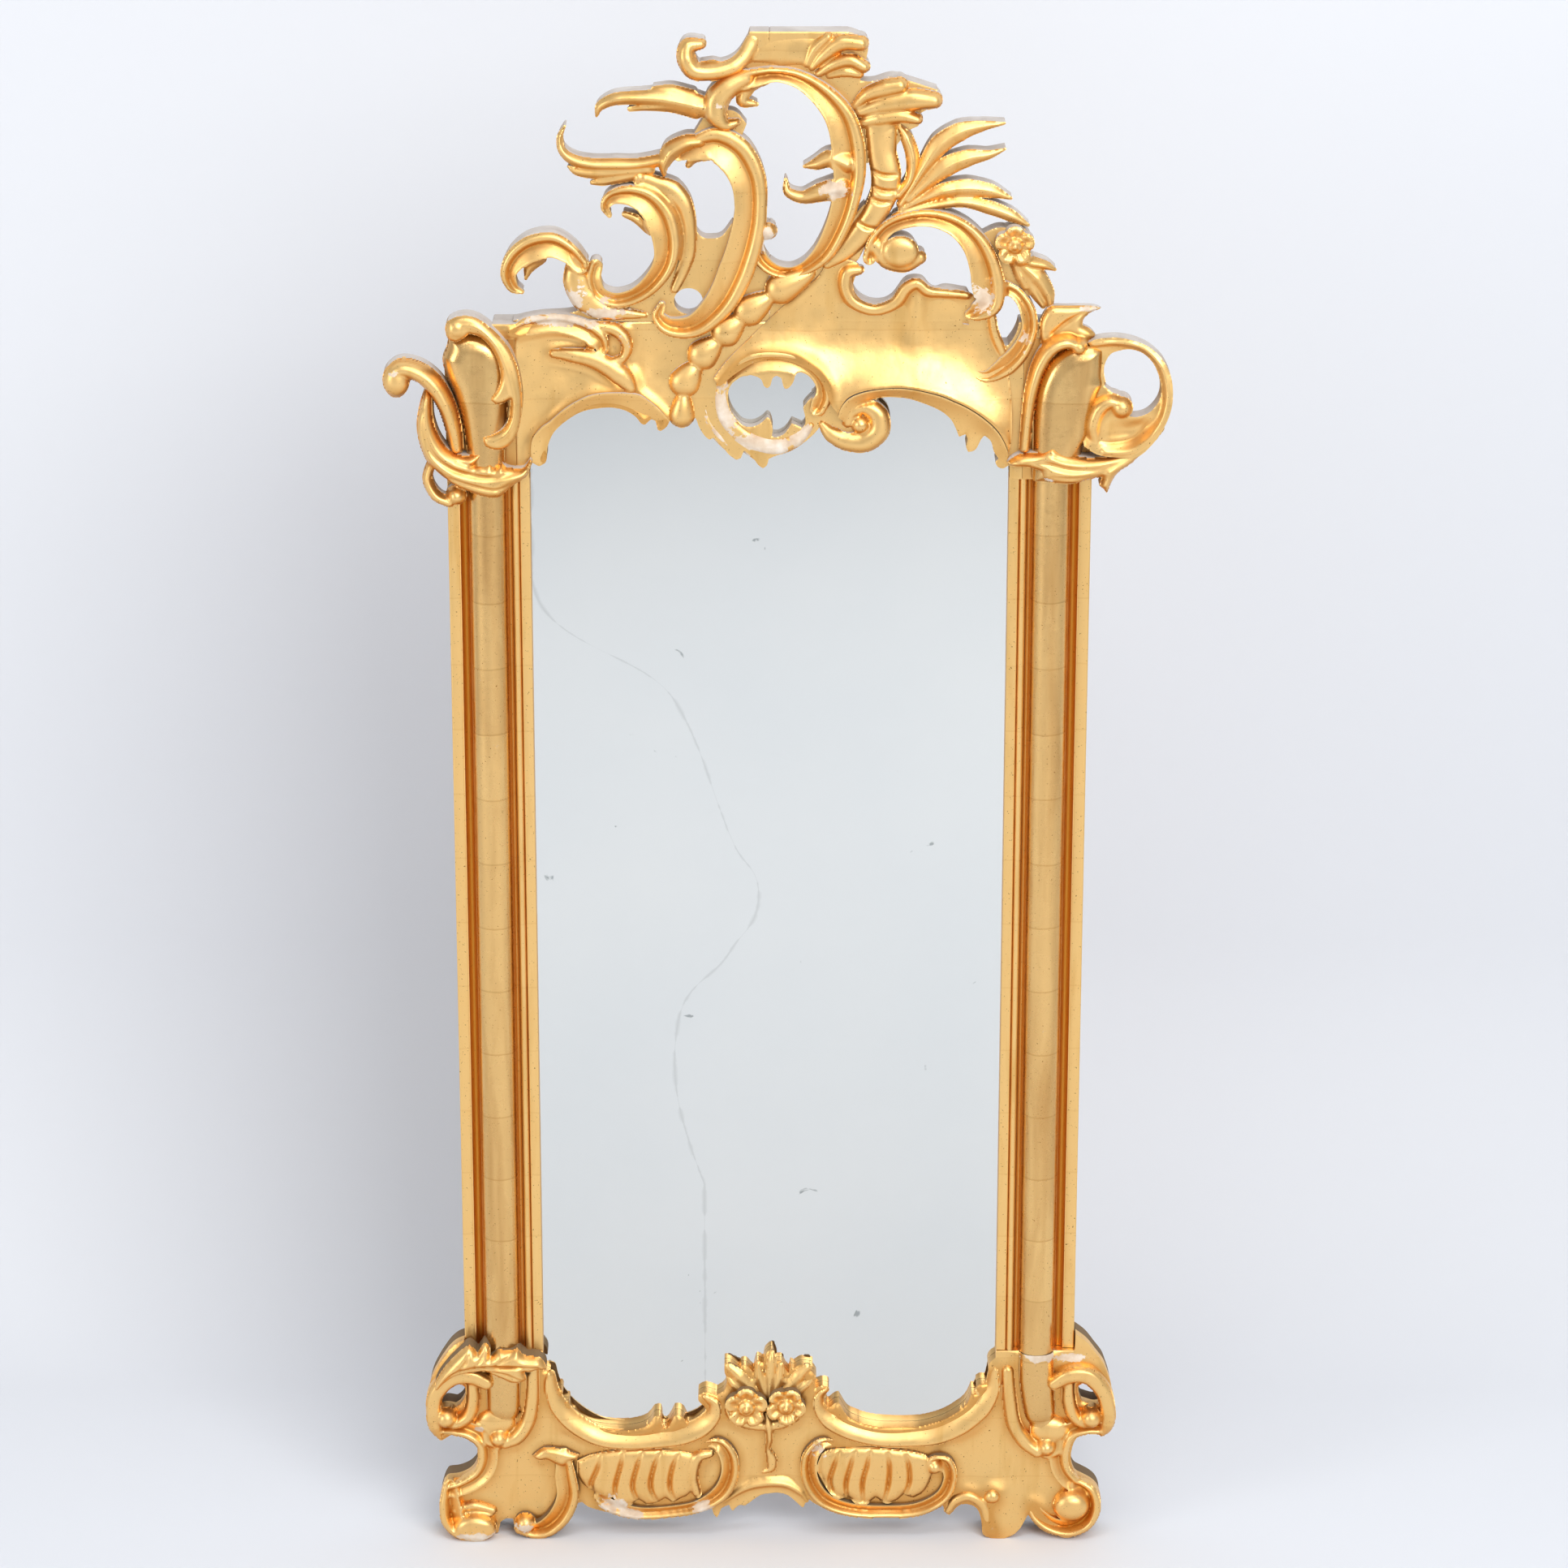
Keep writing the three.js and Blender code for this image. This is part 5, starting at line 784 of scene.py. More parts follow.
# The top block of each stile, behind the corner carving, modelled on from the rail.
HEAD_CHAMFER = 14
for side, word, full in ((-1, "left", 1.0), (1, "right", 0.7)):
    top = Carving(*sorted((side * REBATE, side * POST_OUT)), SPRING_Z, STILE_TOP_Z)
    block = [(REBATE, SPRING_Z), (POST_OUT, SPRING_Z), (POST_OUT, STILE_TOP_Z - 2 * HEAD_CHAMFER),
             (POST_OUT - HEAD_CHAMFER, STILE_TOP_Z), (REBATE, STILE_TOP_Z)]
    top.ground([(side * x, z) for x, z in block],
               [(side * x, z, full * relief) for x, z, relief in
                ((320, 1485, 13), (320, 1560, 15), (320, 1650, 12), (345, 1485, 9), (345, 1570, 10),
                 (345, 1650, 8), (375, 1485, 3), (375, 1600, 3), (404, 1485, 0.4), (404, 1620, 0.4))],
               smooth=False)
    # Painted shade over the whole face of the block, which stands back behind the corner carving.
    top.shade += 0.45
    carve(f"stile_head_{word}", top, back=0, arris=0.4)

# ------------------------------------------------------------------ crest boards
# Two pine boards, glued edge to edge and fretted out; every carved limb stands on them. Where they
# show between the limbs their face is modelled and gilded too.

BIG_SCROLL = [
    ("round", [(-40, 1933, 5, 14), (-54, 1931, 9, 20), (-65, 1944, 15, 24), (-64, 1962, 16, 24),
     (-50, 1978, 14, 23), (-30, 1989, 11, 20)]),
    ("cee", [(-45, 1983, 10, 18), (-20, 1990, 11, 20), (10, 1994, 9, 20), (40, 1986, 11, 20),
     (68, 1965, 15, 20), (88, 1938, 19, 20), (97, 1905, 21, 20), (99, 1870, 20, 20), (94, 1835, 17, 20),
     (84, 1803, 15, 19), (68, 1772, 13, 18), (48, 1753, 9, 17), (28, 1745, 7, 16), (8, 1747, 8, 16),
     (-8, 1759, 9, 16), (-16, 1778, 9, 16), (-12, 1794, 8, 16)]),
    ("ridge", [(-16, 1955, 3, 8), (-32, 1960, 9, 12), (-26, 1976, 9, 12), (-5, 1987, 6, 10)]),
    ("ridge", [(43, 1877, 2, 6), (58, 1881, 8, 14), (76, 1888, 12, 18), (96, 1882, 12, 22)]),
    ("ridge", [(20, 1861, 2, 6), (23, 1846, 6, 12), (41, 1839, 8, 14), (62, 1845, 12, 18),
     (86, 1852, 14, 22)]),
]
UPPER_LEAF = [
    ("ridge", [(-213, 1940, 1.5, 8), (-208, 1953, 6, 12), (-190, 1962, 8, 16), (-160, 1964, 9, 18),
     (-125, 1962, 13, 20), (-92, 1955, 15, 20), (-70, 1950, 12, 16)]),
    ("ridge", [(-172, 1949, 3, 8), (-150, 1952, 5, 12), (-120, 1952, 7, 14), (-90, 1945, 8, 14)]),
    ("ridge", [(-142, 1975, 3, 8), (-120, 1974, 6, 12), (-95, 1966, 8, 14)]),
]
TALL_SCROLL = [
    ("cee", [(-112, 1892, 7, 12), (-92, 1901, 14, 16), (-66, 1906, 22, 18), (-42, 1892, 24, 20),
     (-26, 1862, 22, 20), (-23, 1826, 20, 20), (-28, 1790, 21, 20), (-42, 1745, 22, 20), (-62, 1706, 19, 20),
     (-92, 1678, 15, 18), (-122, 1675, 12, 16), (-138, 1688, 8, 14), (-134, 1702, 5, 12)]),
    ("round", [(-100, 1879, 4, 8), (-92, 1888, 6, 12), (-76, 1892, 6, 14)]),
]
HOOKED_SCROLL = [
    ("cee", [(-198, 1816, 3, 10), (-203, 1828, 6, 14), (-194, 1840, 9, 16), (-172, 1843, 13, 18),
     (-150, 1834, 17, 20), (-134, 1812, 19, 20), (-127, 1782, 17, 20), (-131, 1755, 14, 20),
     (-147, 1731, 12, 18), (-168, 1715, 10, 16), (-192, 1709, 10, 14), (-212, 1717, 10, 12),
     (-219, 1735, 10, 12), (-216, 1752, 9, 10)]),
    ("ridge", [(-179, 1817, 4, 8), (-164, 1811, 6, 10), (-150, 1798, 6, 10)]),
]
STRAP = [
    ("round", [(-160, 1864, 9, 10), (-142, 1856, 11, 12), (-120, 1846, 14, 14), (-105, 1828, 11, 14),
     (-99, 1800, 9, 12), (-100, 1770, 9, 10), (-108, 1745, 8, 8), (-118, 1722, 6, 7)]),
]
LEAF_OVER_STRAP = [
    ("ridge", [(-130, 1867, 2, 16), (-130, 1882, 8, 20), (-121, 1898, 12, 22), (-102, 1908, 11, 22),
     (-86, 1910, 8, 20)]),
]
LOW_SCROLL = [
    ("cee", [(-308, 1719, 3, 8), (-319, 1726, 7, 14), (-324, 1744, 10, 18), (-314, 1763, 14, 20),
     (-295, 1777, 16, 22), (-270, 1781, 16, 22), (-249, 1771, 13, 22), (-234, 1756, 10, 20)]),
    ("ridge", [(-303, 1735, 2, 6), (-298, 1750, 7, 12), (-285, 1763, 9, 16)]),
    ("round", [(-240, 1764, 10, 14), (-240, 1735, 17, 16), (-229, 1710, 17, 16), (-206, 1695, 12, 13),
     (-178, 1691, 8, 10), (-155, 1689, 4, 8)]),
]
SIDE_LEAF = [
    ("ridge", [(-252, 1928, 1.5, 8), (-258, 1915, 4, 12), (-256, 1899, 5, 15), (-243, 1887, 7, 16),
     (-220, 1881, 8, 17), (-190, 1880, 9, 17), (-162, 1881, 8, 17), (-126, 1888, 8, 18)]),
    ("ridge", [(-248, 1877, 2, 8), (-235, 1871, 6, 11), (-205, 1870, 9, 13), (-150, 1874, 9, 13)]),
    ("ridge", [(-219, 1857, 3, 8), (-205, 1859, 6, 10), (-185, 1863, 7, 11), (-160, 1868, 7, 11)]),
]
TOP_SHELL = [
    ("round", [(-84, 2031, 7, 17), (-99, 2028, 11, 21), (-102, 2014, 12, 24), (-93, 1999, 12, 24),
     (-76, 1996, 11, 22), (-58, 1998, 11, 20), (-42, 2004, 11, 18), (-30, 2016, 10, 13),
     (-20, 2034, 9, 8)]),
    ("ridge", [(-84, 2006, 3, 8), (-70, 2004, 7, 12), (-54, 2000, 7, 14)]),
    ("round", [(-22, 2012, 6, 6), (10, 2022, 22, 7), (45, 2024, 22, 8), (70, 2018, 18, 10)]),
    ("round", [(46, 2004, 4, 9), (56, 2024, 7, 14), (72, 2040, 6, 16)]),
    ("round", [(52, 2000, 4, 10), (66, 2016, 8, 16), (88, 2032, 11, 20), (112, 2032, 10, 22)]),
    ("round", [(60, 1993, 5, 10), (80, 2006, 8, 16), (100, 2011, 9, 20), (116, 2003, 8, 20)]),
    ("round", [(74, 1991, 5, 8), (92, 1996, 8, 12), (110, 1993, 6, 12)]),
]
WAVE_SHELL = [
    ("round", [(104, 1952, 5, 10), (120, 1968, 9, 18), (142, 1976, 12, 22), (160, 1980, 11, 24)]),
    ("round", [(112, 1946, 7, 12), (142, 1956, 13, 20), (176, 1962, 15, 24), (202, 1962, 11, 26)]),
    ("round", [(116, 1932, 7, 10), (134, 1938, 10, 18), (160, 1942, 10, 20), (182, 1938, 7, 22)]),
]
TRUNK = [
    ("round", [(138, 1925, 12, 14), (150, 1950, 12, 16), (165, 1968, 8, 18)]),
    ("round", [(134, 1940, 18, 12), (138, 1920, 20, 14), (139, 1895, 18, 15), (144, 1868, 19, 17),
     (141, 1842, 17, 17), (128, 1815, 15, 16), (110, 1790, 15, 14), (90, 1768, 12, 12),
     (72, 1754, 7, 10)]),
    ("ridge", [(158, 1931, 2, 8), (169, 1914, 8, 14), (177, 1888, 9, 16), (174, 1862, 7, 16),
     (160, 1842, 6, 16)]),
]
LEAF_SPRAY = [
    ("ridge", [(290, 1931, 1.5, 6), (262, 1928, 7, 10), (235, 1921, 12, 13), (210, 1905, 13, 15),
     (192, 1880, 9, 16), (176, 1853, 6, 16), (162, 1830, 5, 14)]),
    ("ridge", [(291, 1899, 1.5, 6), (270, 1892, 6, 9), (245, 1888, 11, 12), (218, 1877, 13, 14),
     (195, 1858, 9, 15), (172, 1835, 5, 14)]),
    ("ridge", [(299, 1837, 2, 6), (275, 1846, 9, 10), (245, 1850, 12, 12), (215, 1847, 10, 14),
     (188, 1836, 6, 14), (163, 1824, 4, 12)]),
    ("ridge", [(321, 1803, 2, 6), (300, 1815, 8, 10), (272, 1826, 9, 12), (240, 1833, 7, 13),
     (205, 1829, 6, 13), (170, 1821, 5, 13), (155, 1815, 4, 12)]),
]
RIGHT_SCROLL = [
    ("cee", [(124, 1762, 8, 12), (132, 1784, 10, 16), (150, 1804, 9, 18), (180, 1814, 10, 20),
     (208, 1813, 11, 20), (234, 1802, 13, 20), (254, 1782, 16, 20), (266, 1757, 19, 20), (272, 1730, 21, 20),
     (272, 1706, 18, 18), (258, 1694, 12, 16), (249, 1690, 6, 12)]),
    ("round", [(186, 1763, 9, 14), (168, 1757, 13, 16), (148, 1762, 14, 16), (134, 1776, 11, 14)]),
]
DROOPING_LEAVES = [
    ("ridge", [(304, 1764, 5, 14), (325, 1757, 9, 18), (343, 1753, 6, 14), (355, 1747, 2, 8)]),
    ("ridge", [(308, 1758, 8, 14), (332, 1738, 12, 18), (346, 1718, 9, 14), (350, 1698, 3, 8)]),
    ("ridge", [(304, 1758, 7, 12), (313, 1738, 8, 14), (318, 1724, 4, 10)]),
    ("ridge", [(318, 1745, 8, 12), (330, 1720, 8, 12), (341, 1701, 4, 8)]),
]
SMALL_RIGHT_SCROLL = [
    ("cee", [(274, 1728, 12, 10), (300, 1722, 8, 12), (313, 1711, 8, 14), (322, 1694, 10, 16),
     (324, 1672, 10, 16), (314, 1646, 12, 16), (296, 1626, 13, 16), (274, 1612, 8, 14), (259, 1614, 5, 12),
     (254, 1623, 3, 8)]),
]
UNDERCUT = 1.6                                   # mm that the limbs stand over the fretted boards
CREST_BACK = 10
CREST_FOOT, CREST_TOP, CREST_JOINT = 1680.3, 2045.7, 0.15  # mm up, up, and out from the middle
HEAD_GAP_OVAL = [(-101 + 18 * math.cos(a), 1706 + 16.5 * math.sin(a)) for a in np.linspace(0, 6.0, 20)]


def narrower(listed):
    """The same limbs as the board under them shows: a little narrower and all but flat."""
    return [("flat", [(x, z, max(w - UNDERCUT, 1.2), 0.3) for x, z, w, _ in path]) for _, path in listed]


BACKED = [BIG_SCROLL, UPPER_LEAF, TALL_SCROLL, HOOKED_SCROLL, STRAP, LEAF_OVER_STRAP, LOW_SCROLL, SIDE_LEAF,
          TOP_SHELL, WAVE_SHELL, TRUNK, LEAF_SPRAY, RIGHT_SCROLL, DROOPING_LEAVES, SMALL_RIGHT_SCROLL]
for word, x0, x1 in (("left", -340, 0), ("right", 0, 362)):
    board = Carving(x0, x1, 1680, 2047)
    for listed in BACKED:
        board.strokes(narrower(listed))
    board.dome(-2, 1797, 10, 9, 0.3).dome(162, 1772, 20, 18, 0.3).dome(304, 1780, 22, 22, 0.3)
    board.dome(-161, 1864, 7.5, 7.5, 0.3)
    board.ground([(-54, 1986), (-50, 1994), (-37, 2014), (-29, 2030), (-24, 2045.6), (76, 2045.6),
                  (96, 2045.6), (118, 2038), (121, 2026), (119, 2012), (121, 2002), (112, 1992), (112, 1984),
                  (128, 1984), (150, 1990), (168, 1986), (206, 1974), (210, 1958), (186, 1944), (184, 1928),
                  (170, 1920), (150, 1896), (120, 1880), (96, 1935), (58, 1972), (4, 1990), (-20, 1988)],
                 [(-40, 1990, 2), (0, 2000, 4), (60, 2000, 4), (110, 1990, 5), (150, 1960, 5), (60, 2040, 8),
                  (0, 2040, 7)])
    board.ground([(-100, 1906), (-88, 1926), (-76, 1946), (-44, 1946), (-28, 1930), (-40, 1900)],
                 [(-90, 1920, 1), (-50, 1930, 1), (-60, 1905, 2)])
    board.ground([(-330, 1679), (-290, 1688), (-246, 1692), (-214, 1706), (-180, 1714), (-150, 1728),
                  (-134, 1750), (-112, 1800), (-96, 1800), (-84, 1788), (-72, 1786), (-59, 1789), (-46, 1806),
                  (-30, 1790), (-10, 1752), (30, 1743), (64, 1770), (90, 1800), (118, 1830), (122, 1790),
                  (112, 1762), (104, 1752), (104, 1728), (106, 1719), (114, 1710), (127, 1704), (142, 1704),
                  (153, 1710), (160, 1719), (168, 1730), (177, 1734), (190, 1733), (199, 1723), (207, 1719),
                  (220, 1722), (246, 1718), (262, 1690), (286, 1679)],
                 [(-320, 1684, 4), (-200, 1700, 3), (-150, 1720, 2), (-100, 1780, 2), (-80, 1740, 1),
                  (-50, 1780, 2), (-10, 1730, 1), (60, 1740, 2), (100, 1790, 4), (100, 1700, 4),
                  (180, 1715, 5), (250, 1700, 4)])
    board.ground([(254, 1786), (286, 1800), (318, 1790), (324, 1752), (332, 1716), (316, 1710), (302, 1718),
                  (284, 1714), (266, 1750)], [(270, 1770, 2), (310, 1780, 2), (320, 1730, 2), (290, 1725, 2)])
    board.hole(HEAD_GAP_OVAL).hole(SMALL_GAP)
    outward = 1 if word == "right" else -1
    board.inside = np.minimum(board.inside, outward * board.x[:, None] - CREST_JOINT)
    board.above(CREST_FOOT).below(CREST_TOP)
    carve(f"crest_board_{word}_fretted", board, [f"crest_board_{word}"], seat=SEAT - 0.4, back=CREST_BACK,
          soften=0)

# ------------------------------------------------------------------ crest carving
# Limewood limbs glued on the boards, each cut with gouges to a rolled outer edge and a deep cove.

beads = Carving(-130, 74, 1542, 1762)
BEADS = [(-110, 1562, 17), (-106, 1604, 20), (-83, 1639, 20), (-54, 1668, 19.5), (-25, 1695, 20),
         (14, 1723, 20), (69, 1753, 0)]
for (x, z, r), (nx, nz, _) in zip(BEADS, BEADS[1:]):
    gap = math.hypot(nx - x, nz - z)
    beads.drop(x, z, r, gap * 0.8, math.atan2(nz - z, nx - x), 20)
limb("bead_string", beads)

big = Carving(-216, 124, 1736, 2006)
big.strokes(BIG_SCROLL).strokes(UPPER_LEAF).dome(-2, 1797, 12, 11, 20)
big.wear(80, 1850, 20, 16).wear(-8, 1790, 16, 24, 0.9).wear(-62, 1958, 8, 12, 0.5)
limb("crest_scroll_big", big)

tall = Carving(-158, 2, 1655, 1936)
tall.strokes(TALL_SCROLL)
limb("crest_scroll_tall", tall)

leaves = Carving(-268, -74, 1850, 1936)
leaves.strokes(LEAF_OVER_STRAP).strokes(SIDE_LEAF)
limb("crest_leaves_left", leaves)

hooked = Carving(-238, -80, 1692, 1880)
hooked.stroke("round", [(-148, 1852, 7, 9), (-121, 1832, 8, 9), (-105, 1797, 8, 9), (-106, 1764, 7, 9)])
hooked.strokes(HOOKED_SCROLL).strokes(STRAP).dome(-161, 1864, 9, 9, 14)
hooked.wear(-205, 1706, 18, 12, 0.5)
limb("crest_scroll_hooked", hooked)

low = Carving(-340, -140, 1676, 1800)
low.strokes(LOW_SCROLL).wear(-240, 1712, 16, 24, 0.8).wear(-205, 1692, 40, 10, 0.9)
limb("crest_scroll_low", low)

shell = Carving(-122, 130, 1978, 2047)
shell.strokes(TOP_SHELL)
shell.below(CREST_TOP)
limb("crest_top_shell", shell)

trunk = Carving(60, 222, 1740, 2000)
trunk.strokes(TRUNK).strokes(WAVE_SHELL)
for x0, z0, x1, z1 in ((125, 1873, 157, 1868), (125, 1854, 155, 1848), (123, 1840, 148, 1834),
                       (110, 1808, 133, 1800)):
    middle = ((x0 + x1) / 2, (z0 + z1) / 2 - 2, 4.5, -6)
    trunk.stroke("soft", [(x0, z0, 4, -5), middle, (x1, z1, 4, -4)], blend=True)
limb("crest_trunk_shell", trunk)

spray = Carving(146, 328, 1798, 1942)
spray.strokes(LEAF_SPRAY)
limb("crest_leaf_spray", spray)

flower = Carving(276, 362, 1690, 1808)
flower.strokes(DROOPING_LEAVES).flower(304, 1780, 25, 24, 18)
limb("crest_flower", flower)

right = Carving(106, 340, 1598, 1830)
right.strokes(RIGHT_SCROLL).strokes(SMALL_RIGHT_SCROLL).dome(162, 1772, 23, 20, 22, 3.0, 0.6)
right.wear(262, 1712, 22, 26, 0.75).wear(318, 1660, 12, 20, 0.5)
limb("crest_scroll_right", right)

cartouche = Carving(-78, 312, 1506, 1764)
cartouche.ground([(71, 1756), (60, 1738), (30, 1712), (0, 1684), (-30, 1655), (-54, 1631), (-70, 1610),
                  (-62, 1600), (-40, 1618), (-10, 1634), (20, 1634), (50, 1622), (68, 1602), (76, 1580),
                  (86, 1566), (90, 1576), (100, 1588), (119, 1596), (145, 1600), (173, 1600), (210, 1592),
                  (230, 1584), (250, 1574), (270, 1560), (286, 1544), (296, 1526), (301, 1512), (304, 1540),
                  (303, 1580), (298, 1620), (291, 1646), (286, 1656), (283, 1668), (280, 1684), (266, 1694),
                  (256, 1712), (246, 1719), (234, 1722), (220, 1722), (207, 1719), (199, 1723), (190, 1733),
                  (177, 1734), (168, 1730), (160, 1719), (153, 1710), (142, 1704), (127, 1704), (114, 1710),
                  (106, 1719), (104, 1728), (107, 1739), (115, 1742), (110, 1755), (92, 1762),
                  (80, 1760)],
                 [(90, 1745, 7), (92, 1715, 4), (120, 1698, 3), (150, 1696, 3.5), (180, 1714, 6),
                  (205, 1704, 4), (240, 1704, 4), (268, 1680, 5), (60, 1725, 5), (30, 1700, 4), (0, 1668, 6),
                  (-30, 1645, 9), (-58, 1622, 13), (-20, 1637, 13), (20, 1642, 13), (50, 1630, 16),
                  (72, 1604, 19), (84, 1580, 20), (60, 1665, 5), (100, 1665, 2.5), (140, 1666, 2),
                  (180, 1666, 2.5), (220, 1662, 3), (255, 1652, 4), (284, 1632, 7), (300, 1604, 9),
                  (303, 1560, 12), (301, 1520, 15), (296, 1526, 17), (60, 1645, 8), (95, 1634, 8),
                  (130, 1634, 8), (175, 1634, 8), (215, 1628, 9), (250, 1610, 11), (278, 1586, 13),
                  (102, 1592, 21), (130, 1601, 23), (173, 1603, 24), (210, 1595, 24), (238, 1582, 24),
                  (262, 1567, 23), (284, 1546, 21)])
cartouche.stroke("soft", [(184, 1726, 12, 2), (185, 1700, 16, 4.5), (184, 1676, 20, 4),
                          (182, 1650, 24, 1)], blend=True)
rim = Carving(-78, 312, 1506, 1764)
rim.strokes([("strap", [(113, 1748, 5, 15), (97, 1744, 7.5, 17), (95, 1724, 7.5, 17), (106, 1706, 7.5, 17),
                        (131, 1697, 7.5, 17), (156, 1706, 7.5, 17), (170, 1725, 7.5, 18),
                        (184, 1731, 6.5, 18), (198, 1721, 6.5, 17), (222, 1718, 5, 15),
                        (246, 1715, 4, 12)]),
             ("strap", [(277, 1690, 5, 13), (281, 1668, 5.5, 13), (287, 1652, 6, 12), (296, 1632, 5, 9)])])
cartouche.relief = np.where(rim.inside > 0, np.maximum(cartouche.relief, rim.relief), cartouche.relief)
cartouche.inside = np.maximum(cartouche.inside, rim.inside)

ring = Carving(-98, 84, 1488, 1648)
ring.strokes([
    ("cee", [(-58, 1602, 7, 11), (-44, 1617, 10, 14), (-20, 1629, 14, 16), (8, 1632, 14, 16),
     (35, 1627, 14, 16), (58, 1609, 14, 17), (66, 1588, 13, 18), (61, 1570, 10, 15)]),
    ("round", [(-60, 1606, 6, 9), (-61, 1580, 9, 10), (-54, 1556, 11, 11), (-36, 1536, 11, 11),
     (-12, 1523, 11, 11), (12, 1520, 11, 11), (36, 1530, 9, 10), (52, 1547, 5, 9)]),
    ("ridge", [(-80, 1580, 6, 7), (-78, 1554, 8, 9), (-62, 1532, 8, 9), (-44, 1512, 6, 8)]),
    ("ridge", [(-44, 1530, 9, 8), (-24, 1514, 7, 8), (-9, 1498, 3, 6)]),
]).hole(OPENING)
ring.wear(-60, 1560, 22, 44).wear(-10, 1522, 60, 18).wear(40, 1535, 26, 22)
limb("opening_ring", ring)

volute = Carving(56, 306, 1488, 1602)
volute.strokes([
    ("round", [(66, 1549, 5, 9), (77, 1537, 10, 14), (96, 1528, 13, 16), (120, 1527, 14, 18),
     (137, 1541, 14, 20), (136, 1561, 13, 19), (120, 1572, 11, 17), (104, 1565, 9, 14),
     (98, 1551, 7, 12)]),
]).dome(114, 1549, 12, 12, 19)
volute.ground([(86, 1560), (89, 1573), (100, 1586), (119, 1594), (145, 1598), (173, 1598), (210, 1590),
               (230, 1582), (250, 1572), (270, 1558), (286, 1542), (296, 1524), (301, 1508), (300, 1497),
               (294, 1491.5), (287, 1494), (284, 1500), (288, 1505), (282, 1514), (278, 1528), (270, 1535),
               (266, 1530), (259, 1516), (250, 1512.5), (247, 1520), (249, 1530), (246, 1537), (238, 1533),
               (233, 1546), (226, 1558), (210, 1570), (179, 1582), (160, 1585), (142, 1585), (128, 1582),
               (112, 1578), (100, 1570), (92, 1556)],
              [(92, 1562, 17), (103, 1586, 21), (130, 1597, 22.5), (173, 1600, 24), (210, 1592, 24),
               (230, 1584, 24), (250, 1574, 23), (270, 1559, 22), (286, 1543, 21), (296, 1525, 18),
               (301, 1508, 14), (112, 1577, 13), (142, 1586, 12), (160, 1586, 12), (179, 1583, 12),
               (210, 1571, 12), (226, 1559, 11), (238, 1536, 9), (250, 1516, 7), (270, 1536, 10),
               (288, 1506, 8), (290, 1495, 6)])
limb("arch_border_right", volute)

cartouche.swell([beads, ring, volute], 2.5, 5, 0.6)
limb("cartouche_shell", cartouche)

border = Carving(-306, -120, 1490, 1600)
border.ground([(-300, 1502), (-298, 1530), (-287, 1546), (-276, 1554), (-258, 1570), (-241, 1581),
               (-223, 1589), (-200, 1592), (-166, 1590), (-152, 1582), (-140, 1572), (-131, 1562),
               (-125, 1554), (-129, 1545.5), (-136, 1540.5), (-140, 1541.5), (-143, 1554), (-148, 1556),
               (-152, 1552.5), (-156, 1548.5), (-161, 1550.5), (-168, 1559), (-180, 1567), (-198, 1571),
               (-223, 1569), (-241, 1563), (-260, 1550), (-272, 1536.5), (-279, 1518.5), (-280, 1503.5),
               (-283, 1498), (-290, 1495)],
              [(-300, 1504, 14), (-297, 1530, 16), (-287, 1545, 17), (-258, 1569, 18), (-241, 1580, 18),
               (-223, 1588, 18), (-200, 1591, 18), (-166, 1589, 17), (-152, 1581, 16), (-131, 1561, 13),
               (-287, 1498, 9), (-281, 1516, 9), (-272, 1537, 9), (-241, 1563, 9), (-198, 1571, 9),
               (-168, 1559, 8), (-152, 1553, 7), (-140, 1542, 6), (-127, 1548, 7)])
limb("arch_border_left", border)

shoulder = Carving(-338, -156, 1574, 1700)
shoulder.strokes([
    ("cee", [(-322, 1666, 6, 13), (-300, 1677, 12, 18), (-265, 1681, 12, 18), (-235, 1674, 13, 18),
     (-214, 1660, 12, 17), (-208, 1648, 8, 14)]),
    ("round", [(-224, 1677, 7, 14), (-192, 1671, 9, 16), (-178, 1654, 8, 16), (-182, 1636, 6, 13),
     (-196, 1628, 8, 14)]),
    ("round", [(-270, 1640, 6, 10), (-245, 1638, 10, 15), (-215, 1631, 12, 17), (-187, 1613, 14, 18),
     (-175, 1596, 10, 15), (-182, 1584, 5, 9)]),
    ("round", [(-222, 1664, 6, 10), (-224, 1650, 5, 8), (-222, 1638, 5, 8)]),
]).wear(-255, 1686, 70, 12, 0.9).wear(-184, 1660, 10, 16, 0.4)
limb("shoulder_left", shoulder)

head.swell([shoulder, border], 3.5, 6, 0.6)
carve("head_rail_modelled", head, ["rail_head"], seat=SEAT - FIT, back=GLASS_LINE + FIT)

# ------------------------------------------------------------------ corner carving
# Bold limbs at the tops of the columns: bulging vases burnished, scrolls and leaf wraps in matte gold.

VASE_FOOT = 1478.3

corner = Carving(-492, -372, 1510, 1646)
corner.strokes([
    ("round", [(-466, 1600, 12, 36), (-470, 1614, 12.5, 40), (-459, 1626, 12.5, 41.5), (-438, 1621, 13, 42),
     (-419, 1605, 13, 42), (-404, 1578, 12, 41), (-396, 1550, 11, 38), (-392, 1522, 9, 32)]),
]).dome(-465.5, 1612, 17, 22, 41.5, 2.0, 0.6)
corner.wear(-470, 1620, 8, 8, 0.6)
limb("corner_handle_left", corner)

